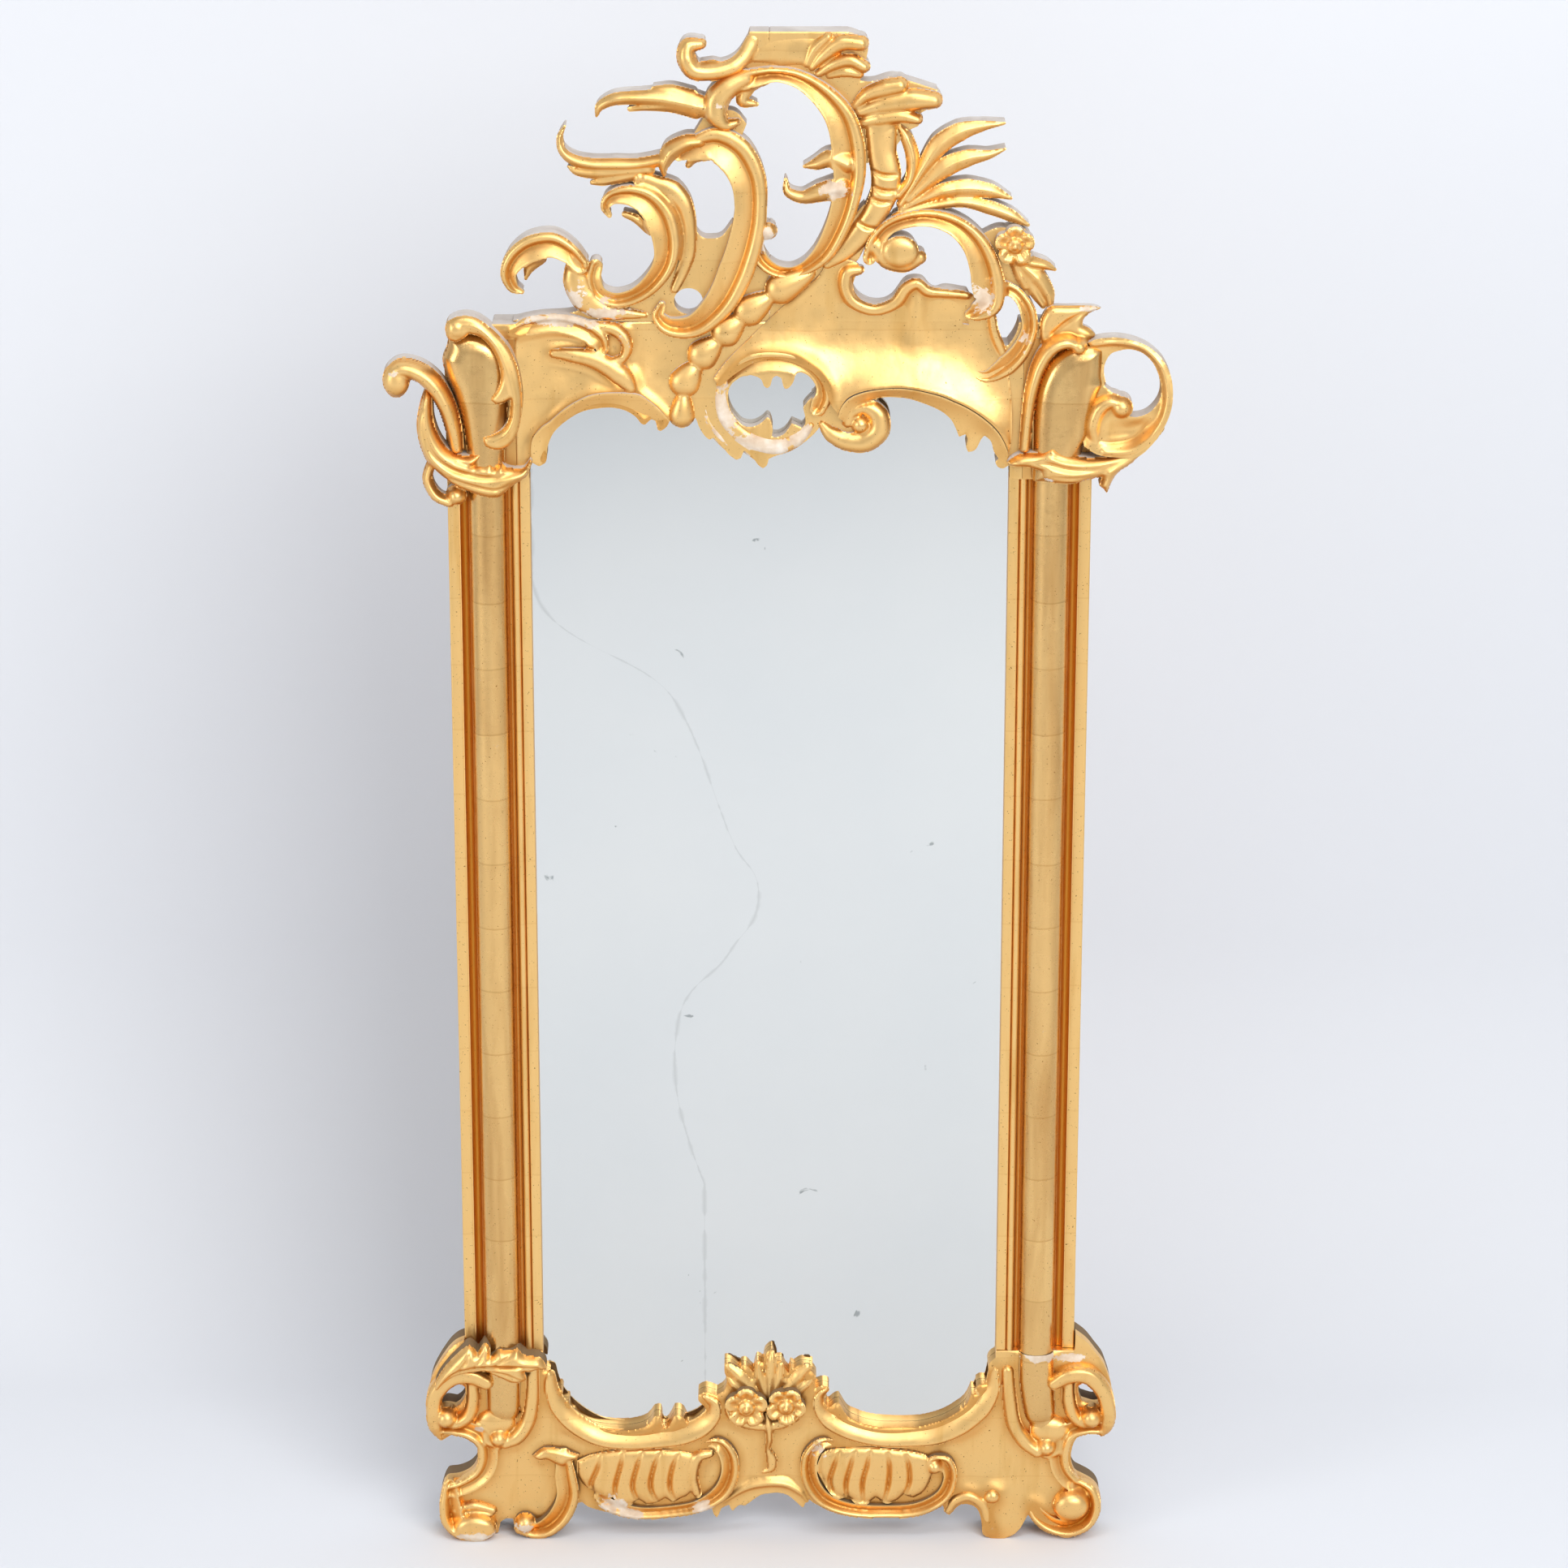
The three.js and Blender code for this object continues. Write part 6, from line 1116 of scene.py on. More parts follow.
corner = Carving(-450, -290, 1436, 1604)
corner.strokes([("round", [(-424, 1502, 6, 20), (-430, 1480, 6.5, 24), (-420, 1459, 7.5, 26),
                           (-403, 1450, 7.5, 26)])])
corner.pillow([(-429, 1601), (-436, 1584), (-441, 1560), (-440, 1537), (-433, 1513), (-424, 1500),
               (-400, 1478), (-378, 1467), (-362, 1461), (-348, 1458), (-338, 1460), (-330, 1468),
               (-320, 1476), (-305, 1486), (-300, 1497), (-297, 1505), (-300, 1509), (-306, 1500),
               (-312, 1497), (-330, 1499), (-335, 1505), (-343, 1500), (-350, 1508), (-356, 1504),
               (-362, 1504), (-369, 1502), (-360, 1513), (-360, 1524), (-366, 1518), (-378, 1514),
               (-392, 1516), (-404, 1524), (-414, 1540), (-420, 1560), (-421, 1580), (-422, 1592)], 41, 15, 0.5)
for path in ([(-432, 1575, 2, -2), (-431, 1545, 5, -4), (-420, 1517, 6, -5), (-400, 1500, 6, -6),
              (-375, 1491, 6, -6), (-345, 1488, 5, -5), (-312, 1494, 4, -2)],
             [(-392, 1508, 2.5, -3), (-372, 1503, 3, -5), (-362, 1511, 2.5, -3)],
             [(-400, 1487, 3, -3), (-375, 1478, 4, -5), (-345, 1472, 3, -4), (-325, 1478, 2, -2)]):
    corner.stroke("soft", path, blend=True)
corner.dome(-394, 1459, 13.5, 13.5, 30)
limb("corner_wrap_left", corner)

corner = Carving(-412, -304, 1516, 1704)
corner.pillow([(-402, 1674), (-400, 1688), (-388, 1694), (-373, 1695), (-358, 1689), (-341, 1675),
               (-326, 1657), (-315, 1634), (-310, 1612), (-308, 1588), (-310, 1565), (-315, 1545),
               (-324, 1530), (-336, 1523), (-349, 1524), (-357, 1530), (-359, 1540), (-346, 1543),
               (-334, 1550), (-326, 1563), (-323, 1588), (-332, 1583), (-341, 1581), (-349, 1588),
               (-339, 1601), (-335, 1616), (-338, 1636), (-347, 1655), (-360, 1668), (-373, 1672),
               (-380, 1666), (-390, 1661), (-399, 1665)], 38, 7, 0.80)
corner.stroke("soft", [(-384, 1684, 3, 1), (-362, 1680, 5, 2), (-343, 1662, 6, 3), (-330, 1636, 7, 3),
                       (-321, 1605, 7, 3), (-318, 1572, 6, 3), (-328, 1545, 5, 2), (-344, 1534, 4, 1)], blend=True)
corner.dome(-389, 1678, 14, 14, 41, 2.6, 0.6)
limb("corner_scroll_left", corner)

corner = Carving(-410, -326, 1476, 1670)
corner.pillow([(-400, 1664), (-403, 1650), (-408, 1636), (-403, 1612), (-394, 1590), (-386, 1560),
               (-381, 1530), (-379, 1500), (-379, 1476), (-332, 1476), (-332, 1510), (-330, 1545),
               (-327, 1580), (-326, 1610), (-329, 1640), (-342, 1660), (-362, 1669), (-384, 1669)], 33, 25, 0.34)
corner.above(VASE_FOOT)
limb("corner_vase_left", corner, material=BURNISHED, slot="burnished_gilding")

corner = Carving(294, 500, 1458, 1556)
corner.pillow([(298, 1502), (300, 1507), (315, 1516), (336, 1518), (344, 1521), (351, 1527), (358, 1526),
               (364, 1521), (372, 1517), (381, 1514), (403, 1511), (437, 1515), (462, 1526), (480, 1539),
               (492, 1551), (495, 1548), (482, 1531), (459, 1508), (448, 1499), (437, 1491), (429, 1478),
               (424, 1463), (420, 1470), (414, 1474), (417, 1486), (399, 1482), (381, 1477), (356, 1478),
               (343, 1484), (340, 1493), (325, 1498), (308, 1499)], 41, 15, 0.5)
for path in ([(318, 1507, 4, -1), (345, 1506, 6, -4), (380, 1498, 7, -5), (418, 1499, 7, -5),
              (455, 1514, 5, -3), (478, 1532, 4, -1)],
             [(352, 1517, 3, -2), (368, 1510, 4, -3), (395, 1506, 3.5, -2)],
             [(352, 1489, 3, -1), (380, 1487, 4.5, -3), (415, 1491, 4, -2)]):
    corner.stroke("soft", path, blend=True)
corner.wear(404, 1472, 18, 12).wear(346, 1483, 12, 4)
limb("corner_wrap_right", corner)

corner = Carving(384, 512, 1498, 1674)
corner.ground([(396, 1658), (410, 1664), (433, 1666), (455, 1662), (474, 1653), (490, 1638), (500, 1618),
               (503, 1596), (501, 1575), (493, 1553), (480, 1533), (462, 1516), (440, 1513), (412, 1516),
               (394, 1526), (389, 1550), (392, 1570), (402, 1584), (408, 1600), (406, 1618), (406, 1636),
               (402, 1650)],
              [(396, 1656, 22), (420, 1662, 26), (455, 1660, 30), (490, 1636, 34), (502, 1600, 37),
               (498, 1565, 38), (480, 1535, 38), (455, 1518, 36), (425, 1518, 32), (404, 1530, 30),
               (430, 1652, 22), (465, 1647, 24), (485, 1620, 28), (487, 1590, 30), (474, 1568, 30),
               (455, 1563, 32), (470, 1552, 25), (448, 1547, 24), (428, 1545, 26), (410, 1556, 30),
               (418, 1620, 24), (394, 1550, 20), (404, 1590, 22)])
corner.hole([(418, 1630), (425, 1643), (437, 1648), (450, 1650), (465, 1645), (478, 1633), (486, 1615),
             (489, 1598), (485, 1583), (474, 1570), (461, 1565), (448, 1566), (449, 1579), (444, 1588),
             (433, 1592), (418, 1603), (417, 1618)])
corner.stroke("soft", [(396, 1655, 4, 3), (430, 1659, 5, 4), (462, 1654, 6, 5), (487, 1630, 6, 5),
                       (496, 1598, 6, 5), (492, 1566, 7, 6), (474, 1538, 8, 6), (450, 1522, 8, 5),
                       (420, 1520, 7, 4)], blend=True)
corner.stroke("soft", [(478, 1560, 2, -1), (456, 1537, 3, -3), (430, 1531, 3, -3), (408, 1536, 2, -1)], blend=True)
corner.strokes([("round", [(440, 1579, 10, 38), (426, 1584, 11, 39), (412, 1574, 12, 38), (405, 1553, 12, 36),
                           (408, 1532, 10, 31)])]).dome(440, 1577, 14, 14, 42, 2.4, 0.5)
limb("corner_ring_right", corner)

corner = Carving(308, 420, 1516, 1708)
corner.pillow([(338, 1655), (336, 1676), (340, 1690), (350, 1702), (370, 1703), (400, 1703), (414, 1699),
               (400, 1694), (391, 1685), (390, 1678), (400, 1673), (407, 1665), (398, 1659), (380, 1655)],
              18, 9, 0.45)
corner.stroke("soft", [(352, 1668, 3, -3), (372, 1684, 4, -5), (398, 1699, 2, -2)], blend=True)
corner.strokes([("round", [(386, 1653, 8, 34), (370, 1659, 10, 37), (351, 1651, 10.5, 38),
                           (337, 1630, 10, 38), (328, 1600, 9, 37), (323, 1565, 8, 35),
                           (320, 1522, 7.5, 32)])])
corner.dome(386, 1653, 10.5, 10.5, 37, 2.4, 0.5)
corner.wear(400, 1700, 18, 6, 0.7)
limb("corner_bar_right", corner)

corner = Carving(324, 420, 1476, 1668)
corner.pillow([(331, 1476), (330, 1520), (330, 1560), (334, 1600), (348, 1632), (372, 1652), (400, 1657),
               (418, 1650), (418, 1634), (418, 1616), (420, 1603), (413, 1588), (408, 1566), (402, 1540),
               (388, 1505), (380, 1476)], 33, 25, 0.34)
corner.above(VASE_FOOT)
corner.wear(372, 1500, 8, 18, 0.45)
limb("corner_vase_right", corner, material=BURNISHED, slot="burnished_gilding")

# ------------------------------------------------------------------ base board
# One wide pine board sawn to the outline of scrolls, cut-outs and feet, with two arches under the glass.

BASE_OUTLINE = [(-406.5, 272), (-406, 287), (-417, 282), (-426, 274), (-434, 263), (-442, 250), (-450, 234),
                (-455, 217), (-458, 197), (-458, 183), (-456, 163), (-449, 150), (-441, 138), (-437, 140),
                (-430, 145), (-423, 148), (-414, 149), (-405, 146), (-398, 140), (-393, 132), (-392, 119),
                (-392.5, 109), (-397, 98), (-405, 90), (-418, 84), (-432, 82), (-436, 78), (-440, 69),
                (-444, 53), (-444.5, 35), (-440, 17), (-433, 5), (-423, 0.3), (-372, 0.3), (-365, 8),
                (-363, 17), (-360, 20), (-353, 23), (-346, 22), (-344, 13), (-338, 4), (-324, 0.3),
                (-306, 0.3), (-293, 4), (-277, 17), (-266, 30), (-260, 45), (-252, 46), (-244, 39),
                (-225, 33), (-207, 29), (-188, 25), (-169, 25), (-141, 28), (-113, 30.5), (-98, 36),
                (-85, 45.5), (-78, 40), (-75, 30), (-71, 25), (-68, 30), (-65, 38), (-59, 42), (-54, 44),
                (-52, 38), (-49, 35), (-44, 41), (-39, 44), (-33, 43), (-21, 52), (-11, 58.5), (2, 61),
                (15, 61), (26, 57), (35, 49), (42, 42), (45.5, 40), (48, 45.5), (50, 56), (52, 53), (59, 47),
                (71, 40), (86, 33), (108, 30), (136, 28), (164, 28), (192, 30), (211, 34), (222, 39),
                (232, 46), (236, 39), (240, 32), (243, 31), (247, 35), (251, 41), (258, 46), (267, 47),
                (276, 44), (282, 37), (285.5, 24), (287, 8), (290, 3), (299, 0.3), (317, 0.3), (328, 5),
                (337, 13), (344, 25), (348.5, 33), (353, 26), (362, 15), (375, 6), (389, 2), (407, 1),
                (421, 4), (432, 12), (441, 26), (446, 41), (446, 55), (441, 68), (432, 77), (420, 84),
                (412, 89), (407, 100), (405, 114), (407, 130), (412, 141), (421, 148), (432, 150), (441, 147),
                (448, 146), (457, 152), (462, 166), (463, 181), (460, 202), (456, 224), (451, 240),
                (446, 253), (436, 267), (423, 284), (407, 297), (406.5, 272)]
BASE_ARCHES = [(302, 272), (302, 262), (295, 256), (292, 248), (294, 233), (295, 222), (288, 223), (281, 223),
               (276.5, 219), (279, 209), (270, 210), (267.5, 202), (263, 193), (254, 184), (236, 172),
               (218, 165), (201, 161), (183, 160), (164, 160), (145, 161), (127, 165), (115.5, 170),
               (106, 175), (100, 183), (96, 191), (93, 196), (87.5, 195), (82, 190), (78, 188), (76, 193),
               (70, 198), (69, 206), (73.5, 212), (80, 214), (79, 218), (71, 220), (62, 217), (60, 226),
               (63, 230), (60, 237), (54, 242), (58, 248), (50, 250), (40, 250), (33, 245), (28, 248),
               (26, 238), (22, 242), (16, 255), (8, 255), (4, 272), (0, 271), (-6, 264), (-8, 252),
               (-16, 257), (-19, 250), (-21, 238), (-31, 249), (-37, 249), (-41, 243), (-52, 252), (-60, 253),
               (-60, 240), (-57, 228), (-60, 214), (-70, 206), (-80, 210), (-89, 210), (-95, 206),
               (-95, 198.5), (-89, 192), (-84, 184.5), (-85, 180), (-93, 170.5), (-102, 164), (-110, 163),
               (-115, 174), (-121, 178), (-127, 178), (-131, 169), (-136, 160), (-140, 158), (-144, 159),
               (-144, 170), (-146, 177), (-151, 177), (-155, 175), (-160, 167), (-169, 160), (-184, 156),
               (-199, 155), (-216, 156.5), (-235, 160), (-253, 169), (-261, 179), (-265.5, 182), (-268, 196),
               (-280, 196), (-281, 203), (-276, 210), (-278, 215), (-286, 213), (-297, 213), (-297, 227),
               (-292, 239), (-300, 243), (-302, 248), (-302, 272)]
BASE_HOLES = [[(-438, 213), (-430, 221), (-421, 223), (-411, 221), (-407, 217), (-407, 206), (-413, 194),
               (-420, 188), (-432, 190), (-443, 187), (-443, 197), (-441, 206)],
              [(413, 219), (419, 223), (427, 223), (435, 221), (441, 217), (445, 203), (442, 193), (433, 192),
               (418, 197), (414, 207)],
              [(-345, 182), (-339, 189), (-333, 182), (-339, 175)],
              [(-46, 184), (-34, 168), (-12, 163), (-12, 173), (-26, 172), (-38, 182)],
              [(8, 165), (26, 171), (38, 184), (30, 182), (18, 174), (8, 174)]]

BASE_TOP, BASE_BACK_TOP, FOOT = 271.7, 141.7, 0.4  # mm up: under the stiles, under the glass, the limbs' feet

base = Carving(-460, 466, 0, 300)
base.ground([*BASE_OUTLINE, *BASE_ARCHES],
            [(-440, 250, 4), (-420, 120, 3), (-400, 40, 5), (-430, 60, 3), (-330, 60, 1), (-330, 120, 3),
             (-300, 230, 5), (-290, 160, 5), (-270, 130, 2), (-240, 100, 3), (-200, 128, 6), (-200, 90, 3),
             (-150, 60, 4), (-80, 150, 5), (-50, 150, 2), (-60, 100, 2), (0, 140, 0.5), (-20, 100, 0.5),
             (30, 100, 0.5), (50, 150, 2), (0, 62, 5), (0, 85, 1), (80, 150, 5), (150, 128, 6), (150, 90, 3),
             (150, 40, 4), (240, 100, 3), (260, 130, 2), (300, 150, 2), (280, 160, 5), (310, 230, 5),
             (330, 120, 1), (322, 22, 17), (338, 50, 10), (316, 64, 11), (318, 96, 4), (300, 28, 14),
             (410, 40, 6), (420, 120, 3), (440, 250, 4), (0, 230, 1), (0, 190, 1)])
for hole in BASE_HOLES:
    base.hole(hole)
base.below(BASE_TOP, POST_OUT + 0.3).above(0.2)
base.stroke("ridge", [(-62, 50, 3, 8), (-35, 68, 6, 10), (-10, 75, 6, 10), (20, 75, 6, 10), (42, 62, 5, 9),
                      (50, 50, 3, 7)])
base.wear(360, 273, 26, 8).wear(398, 284, 10, 14).wear(400, 262, 26, 7, 0.9)
behind = Carving(-460, 466, 0, 300)
behind.inside = base.inside - 0.8
behind.below(BASE_BACK_TOP, REBATE + 0.3)
carve("base_board_back", behind, seat=GLASS_LINE - FIT, back=0, material=PINE, slot="bare_wood", arris=0.1,
      soften=0)

# ------------------------------------------------------------------ base carving
# Fluted shells between the feet, scrolls round the cut-outs, a bouquet of two flowers and leaves. The
# board is modelled last, so that its ground can swell to the limbs.

first_limb = len(standing)

foot = Carving(-466, -296, 0, 262)
foot.strokes([
    ("strap", [(-378, 231, 10, 26), (-398, 241, 11, 28), (-424, 238, 12, 28), (-445, 215, 11, 28),
     (-449, 185, 10, 26), (-447, 164, 9, 22), (-441, 147, 4, 14)]),
    ("round", [(-398, 238, 8, 20), (-396, 208, 10, 23), (-402, 182, 10, 24), (-418, 170, 9, 24),
     (-432, 172, 8, 24)]),
    ("eec", [(-446, 160, 7, 15), (-424, 162, 11, 17), (-398, 156, 13, 18), (-380, 138, 13, 18),
     (-378, 112, 13, 18), (-389, 89, 12, 18), (-412, 74, 11, 18), (-432, 68, 8, 15)]),
    ("eec", [(-430, 78, 8, 16), (-430, 52, 14, 22), (-427, 28, 15, 26), (-414, 13, 13, 28),
     (-396, 11, 11, 27)]),
    ("round", [(-316, 246, 9, 15), (-317, 205, 10, 17), (-323, 172, 10.5, 19), (-337, 149, 11, 22),
     (-354, 141, 10, 24)]),
    ("round", [(-380, 158, 7, 13), (-378, 142, 8, 15), (-362, 137, 8.5, 17)]),
    ("round", [(-424, 38, 6, 15), (-398, 45, 8, 17), (-372, 38, 6, 14)]),
])
foot.dome(-432, 179, 15, 15, 32, 2.4).dome(-362, 148, 13, 13, 29).dome(-366, 168, 27, 21, 18)
foot.dome(-396, 17, 29, 20, 32, 4.0, 0.5)
foot.above(FOOT)
foot.wear(-392, 8, 30, 9).wear(-390, 160, 8, 6, 0.9)
limb("base_scroll_left", foot, walls=MATTE)

wrap = Carving(-456, -292, 216, 302)
wrap.pillow([(-447, 221), (-446, 232), (-440, 246), (-428, 263), (-415, 277), (-404, 287), (-398, 289),
             (-393, 285), (-388, 279), (-380, 292), (-376, 292), (-371, 285), (-371, 274), (-360, 284),
             (-345, 282), (-335, 285), (-325, 275), (-306, 272), (-298, 262), (-297, 252), (-305, 254),
             (-320, 250), (-326, 251), (-323, 240), (-328, 236), (-342, 234), (-355, 240), (-370, 247),
             (-378, 251), (-400, 249), (-418, 244), (-434, 232), (-441, 224)], 38, 14, 0.55)
for path in ([(-440, 230, 2, -2), (-420, 250, 3, -6), (-390, 259, 3.5, -7), (-350, 261, 3.5, -7),
              (-306, 260, 2, -3)],
             [(-414, 254, 2, -3), (-404, 268, 3, -5), (-398, 284, 2, -3)],
             [(-392, 262, 2, -3), (-382, 274, 3, -5), (-377, 288, 2, -3)],
             [(-366, 263, 2, -3), (-352, 272, 3, -5), (-338, 280, 2, -3)],
             [(-370, 255, 2, -3), (-350, 250, 3, -5), (-328, 240, 2, -3)]):
    wrap.stroke("soft", path, blend=True)
limb("base_wrap_left", wrap)

inner = Carving(-350, -244, 0, 142)
inner.strokes([
    ("cee", [(-276, 122, 9, 13), (-274, 92, 14, 17), (-271, 62, 15, 20), (-281, 35, 15, 22),
     (-299, 16, 14, 22), (-317, 11, 11, 22), (-334, 15, 10, 21)]),
])
inner.pillow([(-319, 119), (-308, 129), (-298, 133), (-281, 130), (-268, 126), (-254, 121), (-259, 114),
              (-268, 112), (-276, 104), (-288, 108), (-300, 114), (-308, 112)], 17, 9, 0.45)
inner.dome(-329, 21, 14.5, 14.5, 28)
inner.above(FOOT)
inner.wear(-329, 18, 14, 12, 0.8)
limb("base_foot_scroll_left", inner)

stub = Carving(-380, -330, 180, 274)
stub.strokes([("round", [(-355.5, 290, 23, 22), (-355.5, 230, 23, 22), (-356, 190, 22, 20),
                         (-358, 176, 18, 16)])])
stub.below(BASE_TOP)
limb("base_column_foot_left", stub, material=BURNISHED,
      slot="burnished_gilding")

foot = Carving(300, 470, 0, 262)
foot.strokes([
    ("strap", [(380, 229, 9, 24), (400, 242, 11, 28), (425, 241, 12, 28), (445, 219, 11, 28),
     (453, 188, 10, 26), (452, 168, 9, 22), (446, 152, 4, 14)]),
    ("round", [(400, 238, 8, 20), (400, 206, 10, 23), (407, 182, 10, 24), (420, 171, 9, 24),
     (433, 174, 8, 24)]),
    ("cee", [(449, 160, 8, 15), (424, 163, 11, 17), (399, 154, 13, 18), (389, 128, 13, 18),
     (391, 102, 12, 18), (405, 81, 11, 17), (426, 71, 8, 15)]),
    ("cee", [(416, 76, 9, 16), (428, 65, 13, 20), (431, 46, 15, 24), (423, 26, 14, 26), (403, 16, 13, 26),
     (381, 19, 12, 22), (363, 31, 11, 18), (353, 46, 8, 13)]),
    ("round", [(318, 244, 9, 15), (321, 205, 10, 17), (327, 168, 10.5, 19), (342, 142, 11, 22),
     (359, 128, 10, 24)]),
    ("round", [(390, 142, 7, 13), (386, 127, 8, 15), (371, 122, 8.5, 17)]),
])
foot.dome(430, 179, 15, 15, 32, 2.4).dome(371, 135, 13, 13, 29).dome(376, 156, 27, 21, 18)
foot.dome(406, 48, 25, 22, 31, 2.6, 0.4)
foot.above(FOOT)
limb("base_scroll_right", foot, walls=MATTE)

inner = Carving(232, 344, 0, 122)
inner.strokes([
    ("round", [(241, 37, 6, 13), (251, 53, 8, 16), (270, 59, 8.5, 17), (288, 45, 8.5, 17), (295, 22, 8, 17),
     (302, 9, 9, 17)]),
]).dome(300, 60, 13, 12, 21)
inner.above(FOOT)
limb("base_foot_scroll_right", inner)

stub = Carving(330, 390, 168, 276)
stub.strokes([("round", [(355.5, 290, 23, 22), (357, 230, 23, 22), (362, 185, 21, 20), (365, 170, 17, 16)])])
stub.below(BASE_TOP)
stub.wear(362, 268, 30, 9)
limb("base_column_foot_right", stub, material=BURNISHED,
      slot="burnished_gilding")

stem = Carving(-66, 56, 84, 196)
stem.strokes([
    ("round", [(-4, 182, 5, 14), (-1, 165, 6, 20), (0, 145, 5, 18), (-2, 128, 4, 10), (3, 112, 8, 9),
     (2, 98, 6, 8), (-8, 92, 3, 6)]),
    ("round", [(-56, 184, 5, 10), (-47, 174, 8, 14), (-28, 166, 9, 15), (-7, 163, 8, 15), (14, 166, 9, 15),
     (33, 175, 8, 14), (43, 186, 5, 10)]),
])
limb("bouquet_stem", stem)

petals = Carving(-64, 0, 160, 228)
petals.flower(-31, 193, 29, 25, 90)
limb("bouquet_flower_left", petals)
petals = Carving(-8, 52, 164, 226)
petals.flower(22, 195, 27, 26, 60)
limb("bouquet_flower_right", petals)

sprays = Carving(-64, 66, 200, 276)
sprays.strokes([
    ("ridge", [(0, 205, 8, 10), (1, 235, 8, 12), (3, 258, 7, 10), (4, 269, 3, 6)]),
    ("ridge", [(-6, 208, 6, 9), (-12, 232, 7, 10), (-15, 252, 3, 6)]),
    ("ridge", [(7, 208, 6, 9), (13, 232, 7, 10), (15, 250, 4, 6)]),
    ("ridge", [(-22, 212, 8, 9), (-40, 234, 10, 11), (-54, 247, 6, 7)]),
    ("ridge", [(-28, 206, 7, 8), (-48, 222, 7, 9), (-55, 232, 3, 6)]),
    ("ridge", [(24, 212, 8, 9), (38, 234, 9, 11), (50, 246, 6, 7)]),
    ("ridge", [(30, 208, 8, 8), (50, 222, 7, 9), (58, 234, 3, 6)]),
    ("ridge", [(-36, 226, 6, 6), (38, 226, 6, 6)]),
])
limb("bouquet_leaves", sprays)

arch = Carving(-316, -56, 124, 250)
arch.strokes([
    ("ovolo", [(-292, 236, 6, 10), (-290, 215, 9, 13), (-282, 192, 12, 15), (-262, 168, 13, 16),
     (-230, 148, 13, 16), (-195, 142, 13, 16), (-155, 144, 13, 16), (-120, 149, 14, 16), (-93, 160, 13, 16),
     (-77, 177, 11, 16), (-75, 193, 10, 15), (-85, 201, 8, 12)]),
    ("ridge", [(-270, 176, 7, 8), (-274, 186, 5, 8), (-276, 193, 2, 7)]),
    ("ridge", [(-146, 152, 8, 8), (-150, 164, 6, 8), (-150, 174, 2, 7)]),
    ("ridge", [(-116, 156, 9, 8), (-121, 166, 6, 8), (-122, 175, 3, 7)]),
])
limb("arch_moulding_left", arch, walls=MATTE)

arch = Carving(52, 318, 124, 256)
arch.strokes([
    ("ovolo", [(76, 214, 4, 10), (67, 205, 7, 12), (67, 190, 8, 14), (81, 172, 12, 16), (108, 157, 13, 16),
     (145, 147, 13, 16), (185, 146, 13, 16), (222, 150, 14, 16), (254, 165, 15, 16), (282, 190, 15, 15),
     (297, 217, 11, 14), (299, 244, 6, 12)]),
    ("ridge", [(88, 172, 9, 8), (90, 182, 6, 8), (92, 191, 3, 7)]),
    ("ridge", [(276, 192, 9, 8), (279, 206, 7, 8), (280, 218, 3, 7)]),
])
limb("arch_moulding_right", arch, walls=MATTE)

scallop = Carving(-284, -34, 18, 150)
scallop.pillow([(-258, 112), (-236, 122), (-200, 128), (-160, 129), (-120, 127), (-100, 122), (-96, 100),
                (-99, 80), (-108, 62), (-120, 55), (-130, 49), (-140, 56), (-152, 49), (-165, 46), (-176, 54),
                (-188, 46), (-202, 48), (-211, 58), (-223, 57), (-237, 66), (-250, 76), (-258, 92)], 15.5, 16, 0.5)
for path in ([(-226, 122, 3, -1), (-231, 102, 5, -6), (-240, 78, 5, -7), (-237, 64, 4, -4)],
             [(-197, 127, 3, -1), (-200, 106, 5, -6), (-207, 78, 5, -7), (-208, 58, 4, -4)],
             [(-170, 129, 3, -1), (-178, 104, 5, -6), (-184, 76, 5, -7), (-178, 53, 4, -4)],
             [(-146, 129, 3, -1), (-155, 104, 5, -6), (-160, 76, 5, -7), (-152, 52, 4, -4)],
             [(-121, 127, 3, -1), (-130, 104, 5, -6), (-134, 78, 5, -7), (-129, 55, 4, -4)]):
    scallop.stroke("soft", path, blend=True)
scallop.strokes([
    ("cee", [(-86, 136, 4, 9), (-67, 137, 10, 18), (-54, 118, 12, 20), (-54, 90, 12, 20), (-68, 63, 12, 18),
     (-98, 44, 9, 16), (-136, 36, 8.5, 14), (-175, 34, 9, 14), (-208, 42, 10, 14), (-227, 57, 9, 13),
     (-223, 74, 5, 9)]),
    ("round", [(-98, 64, 7, 14), (-104, 90, 9, 17), (-97, 116, 9, 17), (-79, 122, 6, 14)]),
]).wear(-212, 46, 24, 18, 0.9).wear(-185, 32, 20, 9).wear(-90, 44, 20, 12, 0.8)
scallop.above(24.5)
limb("base_shell_left", scallop)

scallop = Carving(38, 258, 22, 152)
scallop.pillow([(70, 124), (90, 130), (130, 132), (170, 129), (206, 122), (218, 108), (218, 88), (208, 66),
                (193, 56), (180, 61), (170, 52), (156, 49), (143, 57), (132, 49), (118, 49), (106, 57),
                (92, 58), (80, 68), (70, 86), (64, 104)], 15.5, 16, 0.5)
for path in ([(94, 129, 3, -1), (87, 106, 5, -6), (81, 84, 5, -7), (84, 68, 4, -4)],
             [(115, 131, 3, -1), (109, 106, 5, -6), (103, 80, 5, -7), (104, 58, 4, -4)],
             [(135, 131, 3, -1), (131, 106, 5, -6), (125, 80, 5, -7), (126, 54, 4, -4)],
             [(157, 130, 3, -1), (161, 106, 5, -6), (160, 80, 5, -7), (155, 54, 4, -4)],
             [(181, 127, 3, -1), (187, 106, 5, -6), (188, 82, 5, -7), (182, 62, 4, -4)]):
    scallop.stroke("soft", path, blend=True)
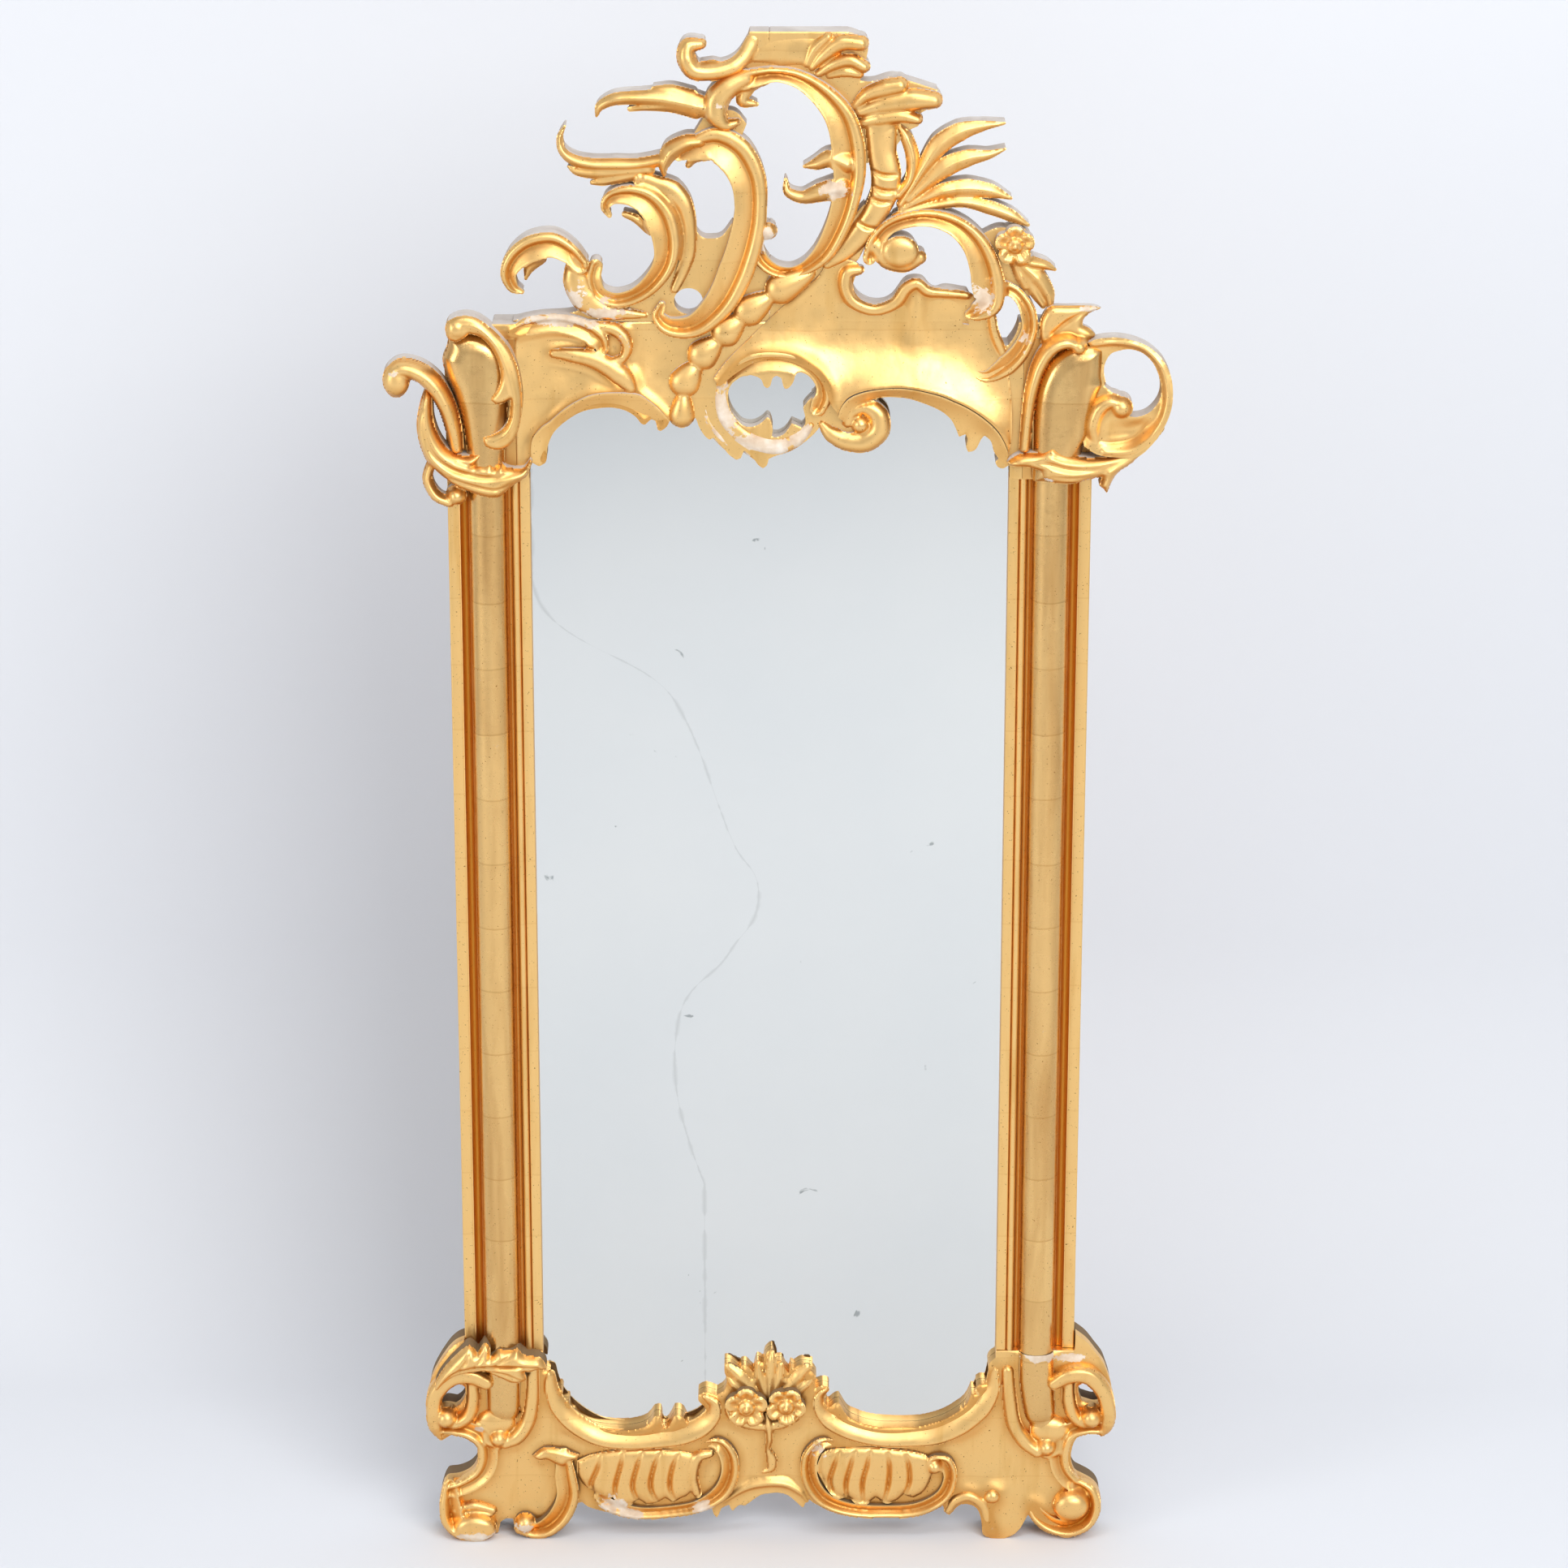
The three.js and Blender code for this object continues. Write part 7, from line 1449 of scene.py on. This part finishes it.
scallop.strokes([
    ("eec", [(88, 138, 4, 9), (69, 138, 9, 18), (54, 118, 11, 20), (55, 86, 11, 20), (73, 57, 11, 20),
     (108, 41, 10, 18), (155, 37, 9.5, 16), (200, 41, 10, 17), (232, 60, 10, 18), (243, 88, 9, 19),
     (237, 110, 10, 20), (221, 112, 9, 18), (217, 100, 6, 14)]),
]).dome(222, 104, 11, 11, 22).wear(66, 132, 16, 18, 0.7)
limb("base_shell_right", scallop)

base.swell(standing[first_limb:], 3.5, 8, 0.6)
carve("base_board_front", base, ["base_board"], back=GLASS_LINE + FIT, walls=MATTE)

# ------------------------------------------------------------------ floor, wall and light
# A pale painted sweep, close behind the mirror, and large soft lamps at each side and above.

SWEEP, sweep_shader = surface("pale_painted_sweep", Roughness=0.9)
sweep_shader.inputs["Base Color"].default_value = linear("#E2E4E8")
# From behind, the camera alone sees through the wall, which still lights the back of the mirror.
seen = node(SWEEP, "ShaderNodeLightPath").outputs["Is Camera Ray"]
behind = node(SWEEP, "ShaderNodeNewGeometry").outputs["Backfacing"]
shown = node(SWEEP, "ShaderNodeMixShader", i0=sums(SWEEP, "MULTIPLY", seen, behind),
             i1=sweep_shader.outputs[0], i2=node(SWEEP, "ShaderNodeBsdfTransparent").outputs[0])
SWEEP.node_tree.links.new(shown.outputs[0], SWEEP.node_tree.nodes["Material Output"].inputs["Surface"])
SWEEP_HALF, SWEEP_FRONT, SWEEP_TOP, SWEEP_FOOT, SWEEP_RADIUS = 8.0, -9.0, 6.0, 0.45, 0.5     # m
sweep_bend = [(SWEEP_FOOT + SWEEP_RADIUS * math.sin(a), SWEEP_RADIUS - SWEEP_RADIUS * math.cos(a))
              for a in np.linspace(0.1, math.pi / 2, 14)]
sweep_section = [(SWEEP_FRONT, 0.0), (SWEEP_FOOT, 0.0), *sweep_bend, (SWEEP_FOOT + SWEEP_RADIUS, SWEEP_TOP)]
sweep_points = [(x, y, z) for y, z in sweep_section for x in (-SWEEP_HALF, SWEEP_HALF)]
sweep_mesh = bpy.data.meshes.new("sweep")
sweep_mesh.from_pydata(sweep_points, [], [[2 * i, 2 * i + 1, 2 * i + 3, 2 * i + 2]
                                          for i in range(len(sweep_section) - 1)])
sweep_mesh.materials.append(SWEEP)
sweep_mesh.polygons.foreach_set("use_smooth", [True] * len(sweep_mesh.polygons))
sweep = bpy.data.objects.new("sweep", sweep_mesh)
bpy.context.scene.collection.objects.link(sweep)


def lamp(name, size, power, place, aim):
    """A soft box: a rectangular area lamp aimed at a point."""
    data = bpy.data.lights.new(name, "AREA")
    data.shape = "RECTANGLE"
    data.size, data.size_y = size
    data.energy = power
    new = bpy.data.objects.new(name, data)
    new.location = place
    direction = np.array(aim) - np.array(place)
    new.rotation_euler = (math.atan2(math.hypot(direction[0], direction[1]), -direction[2]), 0,
                          math.atan2(direction[0], -direction[1]) + math.pi)
    new.visible_camera = False
    bpy.context.scene.collection.objects.link(new)


lamp("large_soft_box", (4.2, 3.0), 240, (2.4, -5.2, 4.6), (0, 0, 1.0))
lamp("soft_box_left", (2.0, 3.0), 75, (-4.8, -3.4, 2.4), (0, 0, 1.0))
lamp("soft_box_above", (3.0, 1.6), 50, (0.4, -1.8, 5.0), (0, -0.4, 1.0))

world = bpy.data.worlds.new("pale_room")
bpy.context.scene.world = world
world.use_nodes = True
world.node_tree.nodes["Background"].inputs["Color"].default_value = linear("#E6E8EC")
# The camera sees the room full strength past the sweep; the light that it throws stays soft.
looked_at = node(world, "ShaderNodeLightPath").outputs["Is Camera Ray"]
strength = spread(world, looked_at, 0.0, 1.0, 0.62, 1.0)
world.node_tree.links.new(strength, world.node_tree.nodes["Background"].inputs["Strength"])
